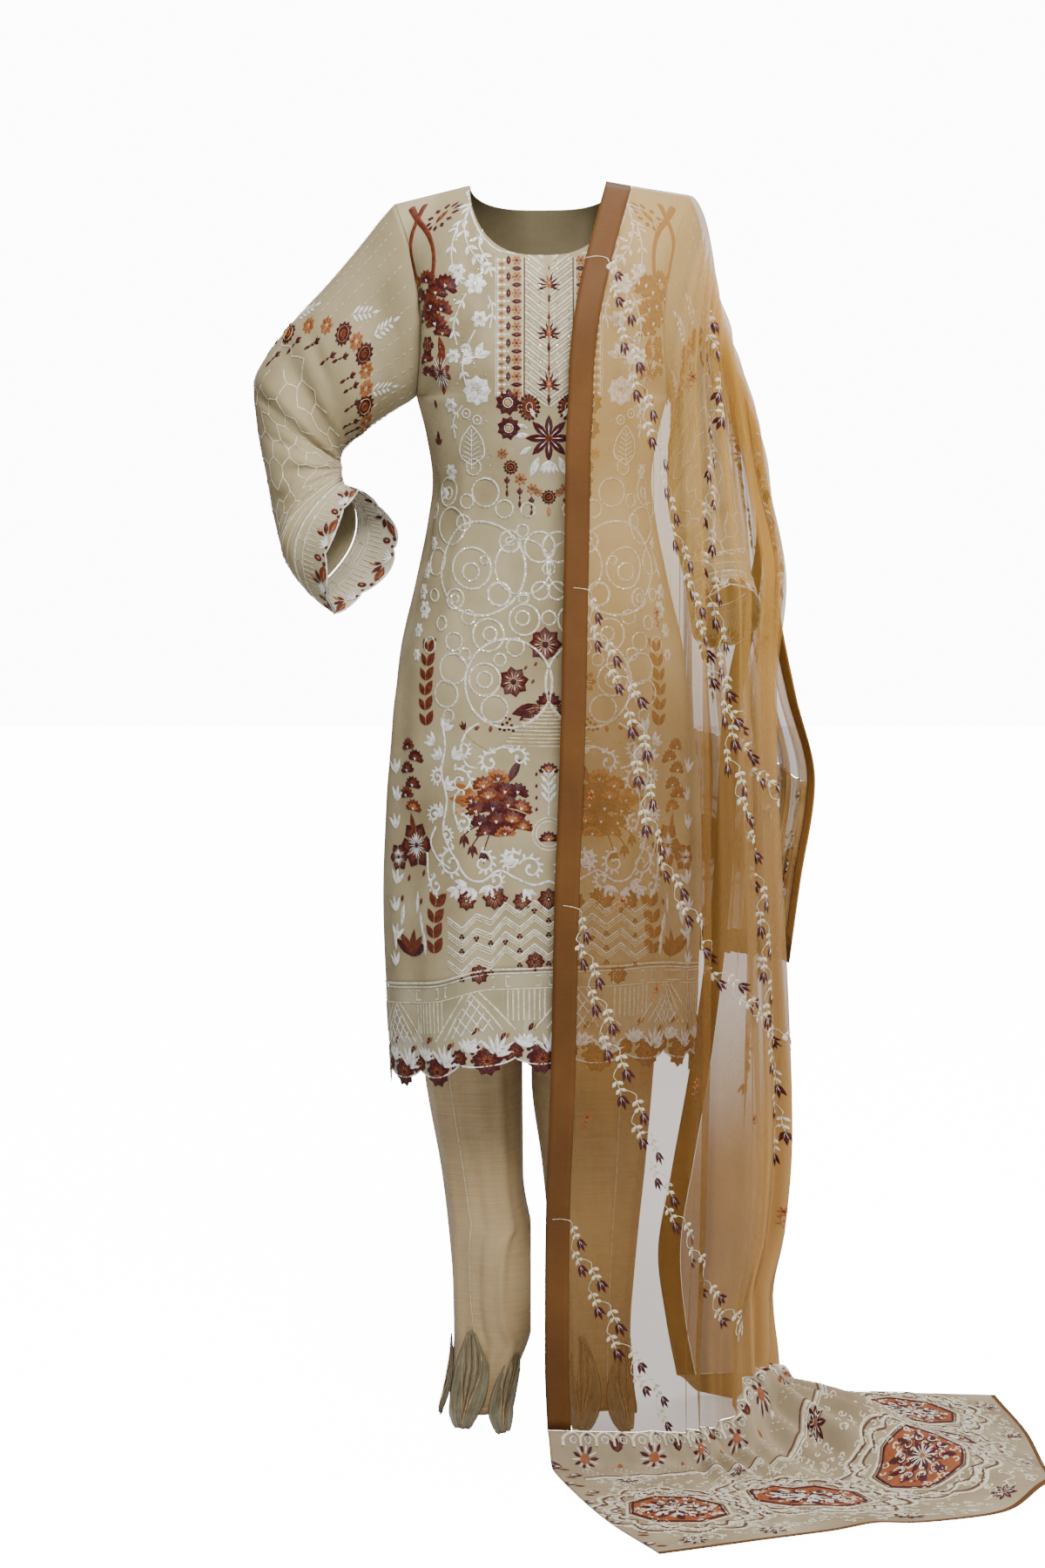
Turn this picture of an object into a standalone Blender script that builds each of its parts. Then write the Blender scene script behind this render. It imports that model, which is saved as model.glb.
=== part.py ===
"""Salwar kameez suit: kameez, trousers and dupatta, in the form they take when worn.

Metres, +Z up, the front faces -Y. The origin is where the wearer's shoulders carry the suit,
between the two shoulder seams. Inside the functions heights are measured from the floor; the
empty "wearer_shoulders" lowers everything so that the floor lies at -SHOULDER_HEIGHT.
Every piece is a cloth wall: the points of a surface, the same points moved inwards, and rims.
"""
import math

import bpy
import numpy as np

# ---------------------------------------------------------------- driving sizes (metres)
SHOULDER_HEIGHT = 1.440        # origin above the floor
SEAM_GAP = 0.0004              # between two sewn pieces
KAMEEZ_WALL = 0.0015
SLEEVE_WALL = 0.0013
LACE_WALL = 0.0012
TROUSER_WALL = 0.0014
NET_WALL = 0.0011
SILK_WALL = 0.0014
PALLU_WALL = 0.0020
PETAL_WALL = 0.0010

NORMAL_STEP = 0.001            # share of a surface's range used to find its normals

# kameez
HEM_LEVEL = 0.455              # nominal height of the lace edge above the floor
HEM_LACE = 0.105               # depth of the hem lace
UNDERARM_LEVEL = 1.206
NECK_POINT_LEVEL = 1.442
NECK_HALF_WIDTH = 0.081
SHOULDER_TIP_X = 0.166
RIGHT_TIP_LEVEL = 1.421
LEFT_TIP_LEVEL = 1.4285        # this shoulder hangs less, under the dupatta
FRONT_NECK_DROP = 0.081
BACK_NECK_DROP = 0.026
SECTION_POWER = 2.4            # roundness of the body's cross section
HEM_SCALLOPS = 9               # over one panel
HEM_SCALLOP_DEPTH = 0.009
SLIT_TOP = 0.80
SLIT_OPENING = 0.016
ARMHOLE_TURN = 0.070           # height over which the armhole's rim turns upright
YOKE_ROWS = 8                  # half the facets round a sleeve, so that the armholes match
YOKE_SPREAD = 0.028            # how much rounder the yoke is than the underarm section
NECK_SHARE = 4.0 / 9.0              # part of a panel's half width that ends at the neckline

# trousers
WAIST_LEVEL = 1.000
WAISTBAND_DEPTH = 0.032
RIGHT_HEM = 0.034
LEFT_HEM = 0.038

# dupatta
DUPATTA_WIDTH = 0.92
STRIP_WIDTH = 0.028
STRIP_SHARE = STRIP_WIDTH / DUPATTA_WIDTH
RIDGE_STRIP = 0.075            # share of the gathered width that a strip takes on the ridge
FRONT_FOLDS = 8                # gathers between the chest and the far edge
BACK_FOLDS = 6
FOLD_STEEPNESS = 0.14          # deepest gather as a share of its width

# ---------------------------------------------------------------- short tables
# body: height, half width, depth to the front, depth to the back
BODY = (
    (0.430, 0.171, 0.158, 0.148),
    (0.545, 0.177, 0.155, 0.144),
    (0.666, 0.181, 0.150, 0.140),
    (0.750, 0.178, 0.144, 0.136),
    (0.832, 0.170, 0.138, 0.130),
    (0.914, 0.162, 0.130, 0.121),
    (0.995, 0.144, 0.118, 0.104),
    (1.063, 0.130, 0.110, 0.090),
    (1.110, 0.124, 0.111, 0.087),
    (1.162, 0.131, 0.120, 0.096),
    (1.206, 0.142, 0.127, 0.106),
)
# hem: place across the panel (-1 to 1), rise over the nominal level
HEM_RISE = (
    (-1.00, -0.025), (-0.75, -0.018), (-0.45, -0.008), (-0.20, 0.011),
    (0.00, 0.013), (0.40, 0.015), (0.80, 0.003), (1.00, 0.000),
)
# soft folds of the kameez: place across, top, bottom, half width across, depth (out is positive)
KAMEEZ_FOLDS = (
    (-0.80, 0.96, 0.46, 0.10, 0.005),
    (-0.55, 0.84, 0.46, 0.09, -0.005),
    (-0.30, 0.92, 0.46, 0.11, 0.004),
    (0.02, 0.80, 0.46, 0.10, -0.004),
    (0.30, 0.90, 0.46, 0.11, 0.004),
    (0.58, 0.82, 0.46, 0.09, -0.005),
    (0.82, 0.95, 0.46, 0.10, 0.005),
    (-0.78, 1.19, 1.00, 0.07, -0.004),
    (0.78, 1.19, 1.00, 0.07, -0.004),
    (-0.45, 1.20, 0.98, 0.08, 0.003),
    (0.45, 1.20, 0.98, 0.08, 0.003),
)
# sleeves: distance along, outer x and level, inner x and level, middle y,
# then the near side's and the far side's offset from the middle (x, y, level)
RIGHT_SLEEVE = (
    (0.000, -0.1660, 1.4210, -0.1420, 1.2060, 0.000, 0.017, -0.058, 0.0, 0.009, 0.050, 0.0),
    (0.025, -0.1820, 1.4030, -0.1500, 1.2000, 0.001, 0.012, -0.060, 0.0, 0.006, 0.055, 0.0),
    (0.060, -0.2030, 1.3770, -0.1710, 1.1880, 0.003, 0.008, -0.058, 0.0, 0.004, 0.060, 0.0),
    (0.110, -0.2400, 1.3340, -0.1970, 1.1700, 0.006, 0.000, -0.060, 0.0, 0.000, 0.062, 0.0),
    (0.160, -0.2790, 1.2930, -0.2170, 1.1540, 0.010, 0.000, -0.060, 0.0, 0.000, 0.062, 0.0),
    (0.200, -0.3090, 1.2560, -0.2270, 1.1420, 0.012, 0.000, -0.058, 0.0, 0.000, 0.060, 0.0),
    (0.235, -0.3270, 1.2190, -0.2290, 1.1335, 0.010, 0.000, -0.056, 0.0, 0.000, 0.058, 0.0),
    (0.275, -0.3235, 1.1780, -0.2275, 1.1290, 0.004, 0.000, -0.055, 0.0, 0.003, 0.057, 0.0),
    (0.330, -0.3110, 1.1120, -0.2265, 1.1250, -0.008, -0.004, -0.055, 0.0, 0.008, 0.058, 0.0),
    (0.380, -0.3010, 1.0620, -0.2265, 1.1205, -0.020, -0.013, -0.054, 0.0, 0.015, 0.060, 0.0),
    (0.430, -0.2860, 1.0170, -0.2270, 1.1160, -0.032, -0.024, -0.053, 0.0, 0.023, 0.060, 0.0),
    (0.470, -0.2620, 0.9850, -0.2275, 1.1105, -0.040, -0.030, -0.052, 0.0, 0.031, 0.060, 0.0),
    (0.525, -0.2310, 0.9610, -0.2050, 1.1010, -0.050, -0.018, -0.055, 0.0, 0.055, 0.062, 0.0),
)
LEFT_SLEEVE = (
    (0.000, 0.1660, 1.4285, 0.1420, 1.2060, 0.000, -0.017, -0.058, 0.000, -0.009, 0.050, 0.000),
    (0.030, 0.1770, 1.4030, 0.1460, 1.1980, 0.001, -0.012, -0.057, 0.000, -0.006, 0.053, 0.000),
    (0.070, 0.1820, 1.3640, 0.1470, 1.1800, 0.002, -0.006, -0.054, 0.000, -0.003, 0.055, 0.000),
    (0.120, 0.1860, 1.3150, 0.1455, 1.1550, 0.003, 0.000, -0.052, 0.000, 0.000, 0.054, 0.000),
    (0.180, 0.1940, 1.2550, 0.1430, 1.1250, 0.004, 0.000, -0.052, 0.000, 0.000, 0.054, 0.000),
    (0.240, 0.2030, 1.1950, 0.1430, 1.0950, 0.004, 0.000, -0.053, 0.000, 0.000, 0.054, 0.000),
    (0.300, 0.2130, 1.1350, 0.1460, 1.0680, 0.002, 0.000, -0.054, 0.000, 0.000, 0.055, 0.000),
    (0.360, 0.2230, 1.0800, 0.1520, 1.0400, -0.002, 0.000, -0.055, 0.002, 0.000, 0.056, -0.004),
    (0.420, 0.2330, 1.0260, 0.1600, 1.0100, -0.006, 0.000, -0.057, 0.010, 0.000, 0.058, -0.014),
    (0.455, 0.2390, 0.9960, 0.1650, 0.9860, -0.009, 0.000, -0.060, 0.022, 0.000, 0.060, -0.026),
    (0.510, 0.2490, 0.9550, 0.1720, 0.9430, -0.013, 0.000, -0.067, 0.046, 0.000, 0.063, -0.032),
)
SLEEVE_SEAM_RIGHT = 0.470      # where the cuff lace starts, along each sleeve
SLEEVE_SEAM_LEFT = 0.455
# how far the right cuff stands off along the forearm, as its seam is narrow on the inner side
CUFF_STEP = {"right": (0.0005, -0.0003, -0.0002), "left": (0.0, 0.0, 0.0)}
SLEEVE_SIDES = 16              # facets round a sleeve
CUFF_SCALLOPS = SLEEVE_SIDES // 2
CUFF_SCALLOP_DEPTH = 0.006
# sleeve creases: distance along, place round (0 to 1), half length, half width round, depth
RIGHT_CREASES = (
    (0.185, 0.20, 0.020, 0.16, -0.008),
    (0.222, 0.26, 0.018, 0.20, 0.006),
    (0.262, 0.30, 0.020, 0.17, -0.006),
    (0.305, 0.33, 0.020, 0.13, 0.006),
    (0.380, 0.20, 0.022, 0.12, -0.007),
    (0.425, 0.22, 0.020, 0.12, 0.004),
    (0.210, 0.74, 0.022, 0.16, -0.007),
    (0.255, 0.70, 0.022, 0.14, 0.005),
    (0.060, 0.22, 0.050, 0.07, -0.006),
    (0.110, 0.40, 0.040, 0.07, 0.004),
)
LEFT_CREASES = (
    (0.180, 0.25, 0.020, 0.14, -0.006),
    (0.225, 0.30, 0.018, 0.14, 0.005),
    (0.260, 0.28, 0.018, 0.12, -0.005),
    (0.080, 0.22, 0.050, 0.07, -0.005),
    (0.330, 0.72, 0.024, 0.14, -0.005),
)
# legs: level, outer x, inner x, middle y, half depth (inner x past the centre seam is cut there)
RIGHT_LEG = (
    (0.020, -0.1080, -0.0420, 0.004, 0.047),
    (0.072, -0.1060, -0.0300, 0.003, 0.048),
    (0.115, -0.1020, -0.0140, 0.001, 0.050),
    (0.181, -0.1030, 0.0000, -0.002, 0.055),
    (0.248, -0.1080, -0.0110, -0.004, 0.059),
    (0.310, -0.1150, -0.0210, -0.006, 0.062),
    (0.440, -0.1360, -0.0220, -0.006, 0.070),
    (0.550, -0.1420, -0.0180, -0.004, 0.080),
    (0.640, -0.1460, -0.0150, -0.002, 0.088),
    (0.715, -0.1480, -0.0124, 0.000, 0.094),
    (0.780, -0.1480, 0.0240, 0.001, 0.100),
    (0.860, -0.1440, 0.0700, 0.002, 0.103),
    (0.930, -0.1320, 0.1000, 0.003, 0.097),
    (1.000, -0.1160, 0.1160, 0.0073, 0.085),
)
LEFT_LEG = (
    (0.020, 0.1000, 0.0270, 0.006, 0.047),
    (0.065, 0.1035, 0.0240, 0.005, 0.048),
    (0.131, 0.1040, 0.0200, 0.003, 0.051),
    (0.198, 0.1085, 0.0140, 0.000, 0.056),
    (0.250, 0.1130, 0.0080, -0.002, 0.059),
    (0.320, 0.1200, 0.0010, -0.004, 0.063),
    (0.430, 0.1290, -0.0120, -0.005, 0.070),
    (0.550, 0.1380, -0.0120, -0.004, 0.080),
    (0.640, 0.1430, -0.0115, -0.002, 0.088),
    (0.715, 0.1460, -0.0116, 0.000, 0.094),
    (0.780, 0.1460, -0.0400, 0.001, 0.100),
    (0.860, 0.1430, -0.0800, 0.002, 0.103),
    (0.930, 0.1320, -0.1000, 0.003, 0.097),
    (1.000, 0.1160, -0.1160, 0.0073, 0.085),
)
CENTRE_SEAM = ((0.715, -0.0120), (0.860, -0.0060), (1.000, 0.0))
# trouser folds: place round (0 to 1), top, bottom, half width round, depth
LEG_FOLDS = (
    (0.16, 0.70, 0.06, 0.030, 0.005),
    (0.27, 0.50, 0.10, 0.035, -0.005),
    (0.38, 0.62, 0.05, 0.035, 0.005),
    (0.62, 0.60, 0.06, 0.040, 0.005),
    (0.74, 0.52, 0.10, 0.035, -0.004),
    (0.86, 0.66, 0.06, 0.035, 0.004),
)
# ankle petals: leg (0 right, 1 left), place round, half width round, level of tip, length
PETALS = (
    (0, 0.1250, 0.071, 0.012, 0.105),
    (0, 0.3125, 0.071, 0.020, 0.115),
    (0, 0.5000, 0.071, 0.024, 0.095),
    (1, 0.1875, 0.071, 0.018, 0.110),
    (1, 0.3750, 0.071, 0.014, 0.105),
    (1, 0.5625, 0.071, 0.018, 0.095),
)
# the line over the shoulder and arm from which both dupatta drops hang: share of width, x, y, level
RIDGE = (
    (0.00, 0.072, 0.000, 1.4466),
    (0.12, 0.118, 0.000, 1.4386),
    (0.22, 0.151, 0.000, 1.4334),
    (0.27, 0.169, 0.000, 1.4300),
    (0.34, 0.184, 0.000, 1.4050),
    (0.45, 0.192, 0.000, 1.3700),
    (0.60, 0.201, 0.006, 1.3100),
    (0.80, 0.217, 0.018, 1.2300),
    (1.00, 0.232, 0.030, 1.1600),
)
STATIONS = (0.0, 0.20, 0.42, 0.60, 0.85, 1.0)
# front drop: level, then x and y at each of the six stations
FRONT_DROP = (
    (0.040, 0.006, -0.122, 0.085, -0.128, 0.180, -0.118, 0.246, -0.050, 0.262, 0.050, 0.165, 0.150),
    (0.120, 0.003, -0.130, 0.085, -0.136, 0.180, -0.118, 0.246, -0.040, 0.250, 0.050, 0.150, 0.120),
    (0.200, 0.003, -0.136, 0.085, -0.142, 0.184, -0.118, 0.264, -0.030, 0.260, 0.050, 0.140, 0.108),
    (0.300, 0.004, -0.146, 0.085, -0.150, 0.186, -0.118, 0.270, -0.030, 0.264, 0.050, 0.155, 0.100),
    (0.450, 0.009, -0.172, 0.085, -0.172, 0.186, -0.130, 0.264, -0.035, 0.258, 0.050, 0.180, 0.100),
    (0.650, 0.013, -0.178, 0.090, -0.174, 0.187, -0.130, 0.256, -0.040, 0.250, 0.040, 0.202, 0.085),
    (0.850, 0.020, -0.170, 0.092, -0.164, 0.184, -0.120, 0.250, -0.040, 0.254, 0.040, 0.212, 0.082),
    (0.960, 0.022, -0.164, 0.094, -0.156, 0.182, -0.122, 0.254, -0.054, 0.266, 0.030, 0.232, 0.078),
    (1.060, 0.024, -0.160, 0.096, -0.148, 0.180, -0.108, 0.236, -0.052, 0.254, -0.006, 0.247, 0.036),
    (1.147, 0.025, -0.157, 0.098, -0.144, 0.176, -0.098, 0.222, -0.056, 0.242, -0.010, 0.240, 0.020),
    (1.214, 0.028, -0.150, 0.100, -0.140, 0.172, -0.092, 0.210, -0.058, 0.228, -0.008, 0.232, 0.020),
    (1.440, 0.028, -0.146, 0.100, -0.136, 0.168, -0.086, 0.196, -0.058, 0.212, -0.008, 0.226, 0.020),
)
# back drop: the same for the part that hangs behind
BACK_DROP = (
    (0.520, 0.058, 0.172, 0.132, 0.177, 0.192, 0.168, 0.236, 0.150, 0.276, 0.112, 0.288, 0.070),
    (0.640, 0.058, 0.170, 0.133, 0.175, 0.196, 0.166, 0.246, 0.148, 0.290, 0.110, 0.303, 0.066),
    (0.760, 0.058, 0.164, 0.133, 0.167, 0.200, 0.158, 0.258, 0.136, 0.306, 0.100, 0.319, 0.062),
    (0.860, 0.060, 0.156, 0.134, 0.157, 0.194, 0.144, 0.244, 0.120, 0.282, 0.094, 0.296, 0.060),
    (0.960, 0.064, 0.144, 0.136, 0.140, 0.190, 0.126, 0.228, 0.102, 0.262, 0.088, 0.276, 0.062),
    (1.080, 0.068, 0.130, 0.137, 0.121, 0.185, 0.100, 0.216, 0.088, 0.246, 0.076, 0.262, 0.058),
    (1.206, 0.070, 0.124, 0.137, 0.114, 0.180, 0.089, 0.206, 0.070, 0.226, 0.058, 0.238, 0.046),
    (1.440, 0.070, 0.122, 0.135, 0.113, 0.174, 0.085, 0.198, 0.066, 0.214, 0.052, 0.230, 0.044),
)
FRONT_FOOT = 0.040             # level at which the front drop becomes the pallu
BACK_PALLU_TOP = 0.800         # the back drop's own pallu, and its end
BACK_END = 0.545
BACK_END_BAND = 0.030
# fold depth of the drops: level, depth in front, depth behind
FOLD_DEPTH = (
    (0.000, 0.003, 0.006), (0.120, 0.007, 0.006), (0.350, 0.010, 0.008), (0.700, 0.009, 0.009),
    (0.950, 0.006, 0.007), (1.150, 0.004, 0.005), (1.300, 0.002, 0.003), (1.450, 0.000, 0.000),
)
# pallu on the floor: its four sides, as share, x, y, level
PALLU_START_RISE = ((0.0, 0.0), (0.45, 0.0), (0.60, 0.050), (0.75, 0.040), (1.0, -0.012))
PALLU_NEAR = ((0.00, 0.006, -0.122), (0.14, 0.012, -0.158), (0.40, 0.034, -0.238),
              (0.70, 0.070, -0.342), (1.00, 0.121, -0.448))
PALLU_FAR = ((0.00, 0.165, 0.150), (0.20, 0.230, 0.160), (0.60, 0.390, 0.154), (1.00, 0.550, 0.141))
PALLU_END = ((0.00, 0.121, -0.448), (0.20, 0.290, -0.380), (0.46, 0.520, -0.300),
             (0.56, 0.562, -0.235), (0.78, 0.568, -0.050), (1.00, 0.550, 0.141))
# the raised fold across the pallu: share along, share across, height, half width to each side
PALLU_FOLD = ((0.00, 0.62, 0.060, 0.17, 0.20), (0.35, 0.58, 0.062, 0.11, 0.24),
              (0.70, 0.54, 0.040, 0.10, 0.24), (1.00, 0.51, 0.020, 0.08, 0.20))

# colours and finish: red, green, blue, roughness
FINISH = {
    "kameez_net": (0.58, 0.51, 0.38, 0.75),
    "white_lace": (0.68, 0.62, 0.50, 0.70),
    "raw_silk": (0.50, 0.38, 0.23, 0.55),
    "petal_organza": (0.40, 0.37, 0.26, 0.60),
    "gold_net": (0.42, 0.24, 0.08, 0.65),
    "bronze_silk": (0.27, 0.12, 0.035, 0.50),
    "pallu_work": (0.52, 0.43, 0.31, 0.80),
}


# ---------------------------------------------------------------- curves
def smooth(value):
    """0 below 0, 1 above 1 and a soft step between."""
    value = np.clip(value, 0.0, 1.0)
    return value * value * (3.0 - 2.0 * value)


def curve(knots, values):
    """A cubic curve through values at rising knots that never overshoots them."""
    knots = np.asarray(knots, float)
    values = np.asarray(values, float)
    gap = np.diff(knots)
    slope = np.diff(values) / gap
    tangent = np.empty_like(values)
    tangent[0] = slope[0]
    tangent[-1] = slope[-1]
    before = slope[:-1]
    after = slope[1:]
    product = np.maximum(before * after, 0.0)
    total = np.abs(before + after) + 1e-12
    tangent[1:-1] = 2.0 * product / total * np.sign(before)

    def at(place):
        place = np.clip(place, knots[0], knots[-1])
        k = np.clip(np.searchsorted(knots, place, side="right") - 1, 0, len(gap) - 1)
        t = (place - knots[k]) / gap[k]
        rest = 1.0 - t
        ends = values[k] * (1 + 2 * t) * rest * rest + values[k + 1] * t * t * (3 - 2 * t)
        bends = gap[k] * (tangent[k] * t * rest * rest - tangent[k + 1] * t * t * rest)
        return ends + bends

    return at


def table_curves(table):
    """One curve for each column after the first, over the first column."""
    columns = list(zip(*table))
    return [curve(columns[0], column) for column in columns[1:]]


def bump(distance):
    """A soft round bump, 1 at 0 and almost 0 from 1 on."""
    return np.exp(-2.2 * distance * distance)


def stack(x, y, z):
    x, y, z = np.broadcast_arrays(x, y, z)
    return np.stack([x, y, z], axis=-1)


# ---------------------------------------------------------------- kameez
body_half_width, body_front, body_back = table_curves(BODY)
hem_rise, = table_curves(HEM_RISE)


def body_fold(across, level):
    """How far the soft folds move the kameez out."""
    total = 0.0
    for place, top, bottom, half, depth in KAMEEZ_FOLDS:
        fade = smooth((top - level) / 0.12) * smooth((level - bottom + 0.12) / 0.12)
        total = total + depth * fade * bump((across - place) / half)
    return total


def neckline(share, drop):
    """x and level of the neckline, share 0 at the centre and 1 at the neck point."""
    angle = 0.5 * math.pi * np.clip(share, 0.0, 1.0)
    x = NECK_HALF_WIDTH * np.sin(angle) ** 0.70
    return x, NECK_POINT_LEVEL - drop * np.cos(angle)


def shoulder_slope(x):
    """How steeply the shoulder line falls on the side of x."""
    tip = np.where(x > 0.0, LEFT_TIP_LEVEL, RIGHT_TIP_LEVEL)
    return (NECK_POINT_LEVEL - tip) / (SHOULDER_TIP_X - NECK_HALF_WIDTH)


def shoulder_level(x):
    """Level of the shoulder line above a place x."""
    return NECK_POINT_LEVEL - shoulder_slope(x) * (np.abs(x) - NECK_HALF_WIDTH)


def yoke_depth(x, level, depth):
    """How far the cloth stands from the shoulder plane above the underarm."""
    reach = np.clip(np.abs(x) / (body_half_width(UNDERARM_LEVEL) + YOKE_SPREAD), 0.0, 1.0)
    base = depth * (1.0 - reach ** SECTION_POWER) ** (1.0 / SECTION_POWER)
    top = shoulder_level(x)
    left = np.clip((level - UNDERARM_LEVEL) / (top - UNDERARM_LEVEL), 0.0, 1.0)
    side = smooth(np.abs(x) / 0.10)
    power = 1.6 + 1.4 * side
    root = 0.9 - 0.3 * side
    return base * (1.0 - left ** power) ** root


def kameez_point(across, level, facing):
    """Point of the front (facing -1) or back (+1) panel; across runs from -1 to 1."""
    across, level = np.broadcast_arrays(np.asarray(across, float), np.asarray(level, float))
    size = np.abs(across)
    depth_at = body_front if facing < 0 else body_back
    fade = 1.0 - smooth((level - 0.62) / 0.25)
    # below the underarm: round section
    low = np.minimum(level, UNDERARM_LEVEL)
    angle = 0.5 * math.pi * across
    round_out = (np.abs(np.sin(angle)) ** SECTION_POWER
                 + np.abs(np.cos(angle)) ** SECTION_POWER) ** (-1.0 / SECTION_POWER)
    fold = body_fold(across, level)
    half = body_half_width(low) + fold
    depth = depth_at(low) + fold
    x_low = half * round_out * np.sin(angle)
    y_low = depth * round_out * np.cos(angle)
    z_low = low + hem_rise(across if facing < 0 else -across) * fade
    # above it: the yoke, between underarm level and neckline or shoulder seam
    rise = np.clip((level - UNDERARM_LEVEL) / (NECK_POINT_LEVEL - UNDERARM_LEVEL), 0.0, 1.0)
    neck_x, neck_z = neckline(size / NECK_SHARE, FRONT_NECK_DROP if facing < 0 else BACK_NECK_DROP)
    part = np.clip((size - NECK_SHARE) / (1.0 - NECK_SHARE), 0.0, 1.0)
    seam_x = NECK_HALF_WIDTH + (SHOULDER_TIP_X - NECK_HALF_WIDTH) * part
    on_seam = size >= NECK_SHARE
    top_x = np.sign(across) * np.where(on_seam, seam_x, neck_x)
    top_z = np.where(on_seam, shoulder_level(top_x), neck_z)
    bow = 2.0 * np.sqrt(rise * (1.0 - rise))
    pull = (0.017 if facing < 0 else 0.009) * bow * bow * size ** 3
    x_high = x_low + (top_x - x_low) * rise - np.sign(across) * pull
    z_high = UNDERARM_LEVEL + (top_z - UNDERARM_LEVEL) * rise
    edge = (0.058 if facing < 0 else 0.050) * bow
    weight = size ** 8
    cloth = yoke_depth(x_high, z_high, depth_at(np.float64(UNDERARM_LEVEL)))
    blend = smooth(rise / 0.15)
    y_high = (1 - weight) * (y_low * (1 - blend) + cloth * blend) + weight * edge
    above = level > UNDERARM_LEVEL
    slit = 0.5 * SLIT_OPENING * smooth((SLIT_TOP - level) / 0.35) + 0.5 * SEAM_GAP
    x = np.where(above, x_high, x_low)
    y = np.where(above, y_high, y_low) + slit
    z = np.where(above, z_high, z_low)
    return stack(x, facing * y, z)


def scallop(across, count, depth):
    """How far a scalloped edge hangs below its line."""
    return depth * np.abs(np.sin(math.pi * count * across)) ** 0.7


# ---------------------------------------------------------------- sleeves
def sleeve_point(table, creases, around, along):
    """Point of a sleeve; around 0 is the outer side, 0.25 the near side, 0.5 the inner side."""
    out_x, out_z, in_x, in_z, mid_y, near_x, near_y, near_z, far_x, far_y, far_z = table_curves(table)
    turn = 2.0 * math.pi * around
    cosine = np.cos(turn)
    sine = np.sin(turn)
    near = sine > 0
    side = np.abs(sine)
    x = 0.5 * (out_x(along) + in_x(along)) + 0.5 * (out_x(along) - in_x(along)) * cosine
    z = 0.5 * (out_z(along) + in_z(along)) + 0.5 * (out_z(along) - in_z(along)) * cosine
    x = x + side * side * np.where(near, near_x(along), far_x(along))
    y = mid_y(along) + side * np.where(near, near_y(along), far_y(along))
    z = z + side * np.where(near, near_z(along), far_z(along))
    out = 0.0
    for place, round_place, half_long, half_round, depth in creases:
        apart = np.abs((around - round_place + 0.5) % 1.0 - 0.5)
        out = out + depth * bump((along - place) / half_long) * bump(apart / half_round)
    fade = smooth(along / 0.03) * smooth((table[-1][0] - along) / 0.05)
    centre_x = 0.5 * (out_x(along) + in_x(along))
    centre_z = 0.5 * (out_z(along) + in_z(along))
    ray = stack(x - centre_x, y - mid_y(along), z - centre_z)
    ray = ray / np.maximum(np.linalg.norm(ray, axis=-1, keepdims=True), 1e-9)
    return stack(x, y, z) + ray * (out * fade)[..., None]


# ---------------------------------------------------------------- trousers
centre_seam, = table_curves(CENTRE_SEAM)


def leg_point(table, side, around, level):
    """Point of a leg; around runs from the front edge over the outer side to the back edge."""
    outer, inner, mid_y, half_depth = table_curves(table)
    out = outer(level)
    centre = 0.5 * (out + inner(level))
    half = 0.5 * np.abs(out - inner(level))
    plane = centre_seam(level) + side * 0.5 * SEAM_GAP
    reach = np.clip(side * (plane - centre) / half, -0.9999, 0.0)
    limit = math.pi - np.arccos(-reach)
    turn = (2.0 * around - 1.0) * limit
    fold = 0.0
    for place, top, bottom, half_round, depth in LEG_FOLDS:
        fade = smooth((top - level) / 0.15) * smooth((level - bottom + 0.08) / 0.08)
        fold = fold + depth * fade * bump((around - place) / half_round)
    x = centre + side * (half + fold) * np.cos(turn)
    y = mid_y(level) + (half_depth(level) + fold) * np.sin(turn)
    x = np.where(level > CENTRE_SEAM[0][0], side * np.maximum(side * x, side * plane), x)
    return stack(x, y, level)


# ---------------------------------------------------------------- dupatta
ridge_x, ridge_y, ridge_z = table_curves(RIDGE)
front_depth_of_folds, back_depth_of_folds = table_curves(FOLD_DEPTH)


def across_curve(rows, share, level):
    """x and y of a drop's section at a level, through its stations."""
    at_level = [column(level) for column in rows]
    result = []
    for first in (0, 1):
        stations = np.stack(at_level[first::2], axis=-1)
        result.append(station_blend(share, stations))
    return result


def station_blend(share, values):
    """A smooth curve over the stations, where each point has its own station values."""
    knots = np.asarray(STATIONS)
    k = np.clip(np.searchsorted(knots, share, side="right") - 1, 0, len(knots) - 2)
    low = np.clip(k - 1, 0, len(knots) - 1)
    high = np.clip(k + 2, 0, len(knots) - 1)

    def pick(index):
        return np.take_along_axis(values, index[..., None], axis=-1)[..., 0]

    gap = knots[k + 1] - knots[k]
    start = (pick(k + 1) - pick(low)) / (knots[k + 1] - knots[low])
    end = (pick(high) - pick(k)) / (knots[high] - knots[k])
    t = (share - knots[k]) / gap
    rest = 1.0 - t
    value = pick(k) * (1 + 2 * t) * rest * rest + pick(k + 1) * t * t * (3 - 2 * t)
    return value + gap * (start * t * rest * rest - end * t * t * rest)


front_rows = table_curves(FRONT_DROP)
back_rows = table_curves(BACK_DROP)


def foot_level(share, front):
    """Level at which a drop ends."""
    return FRONT_FOOT + start_rise(share) if front else np.full_like(share, BACK_END)


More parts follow.
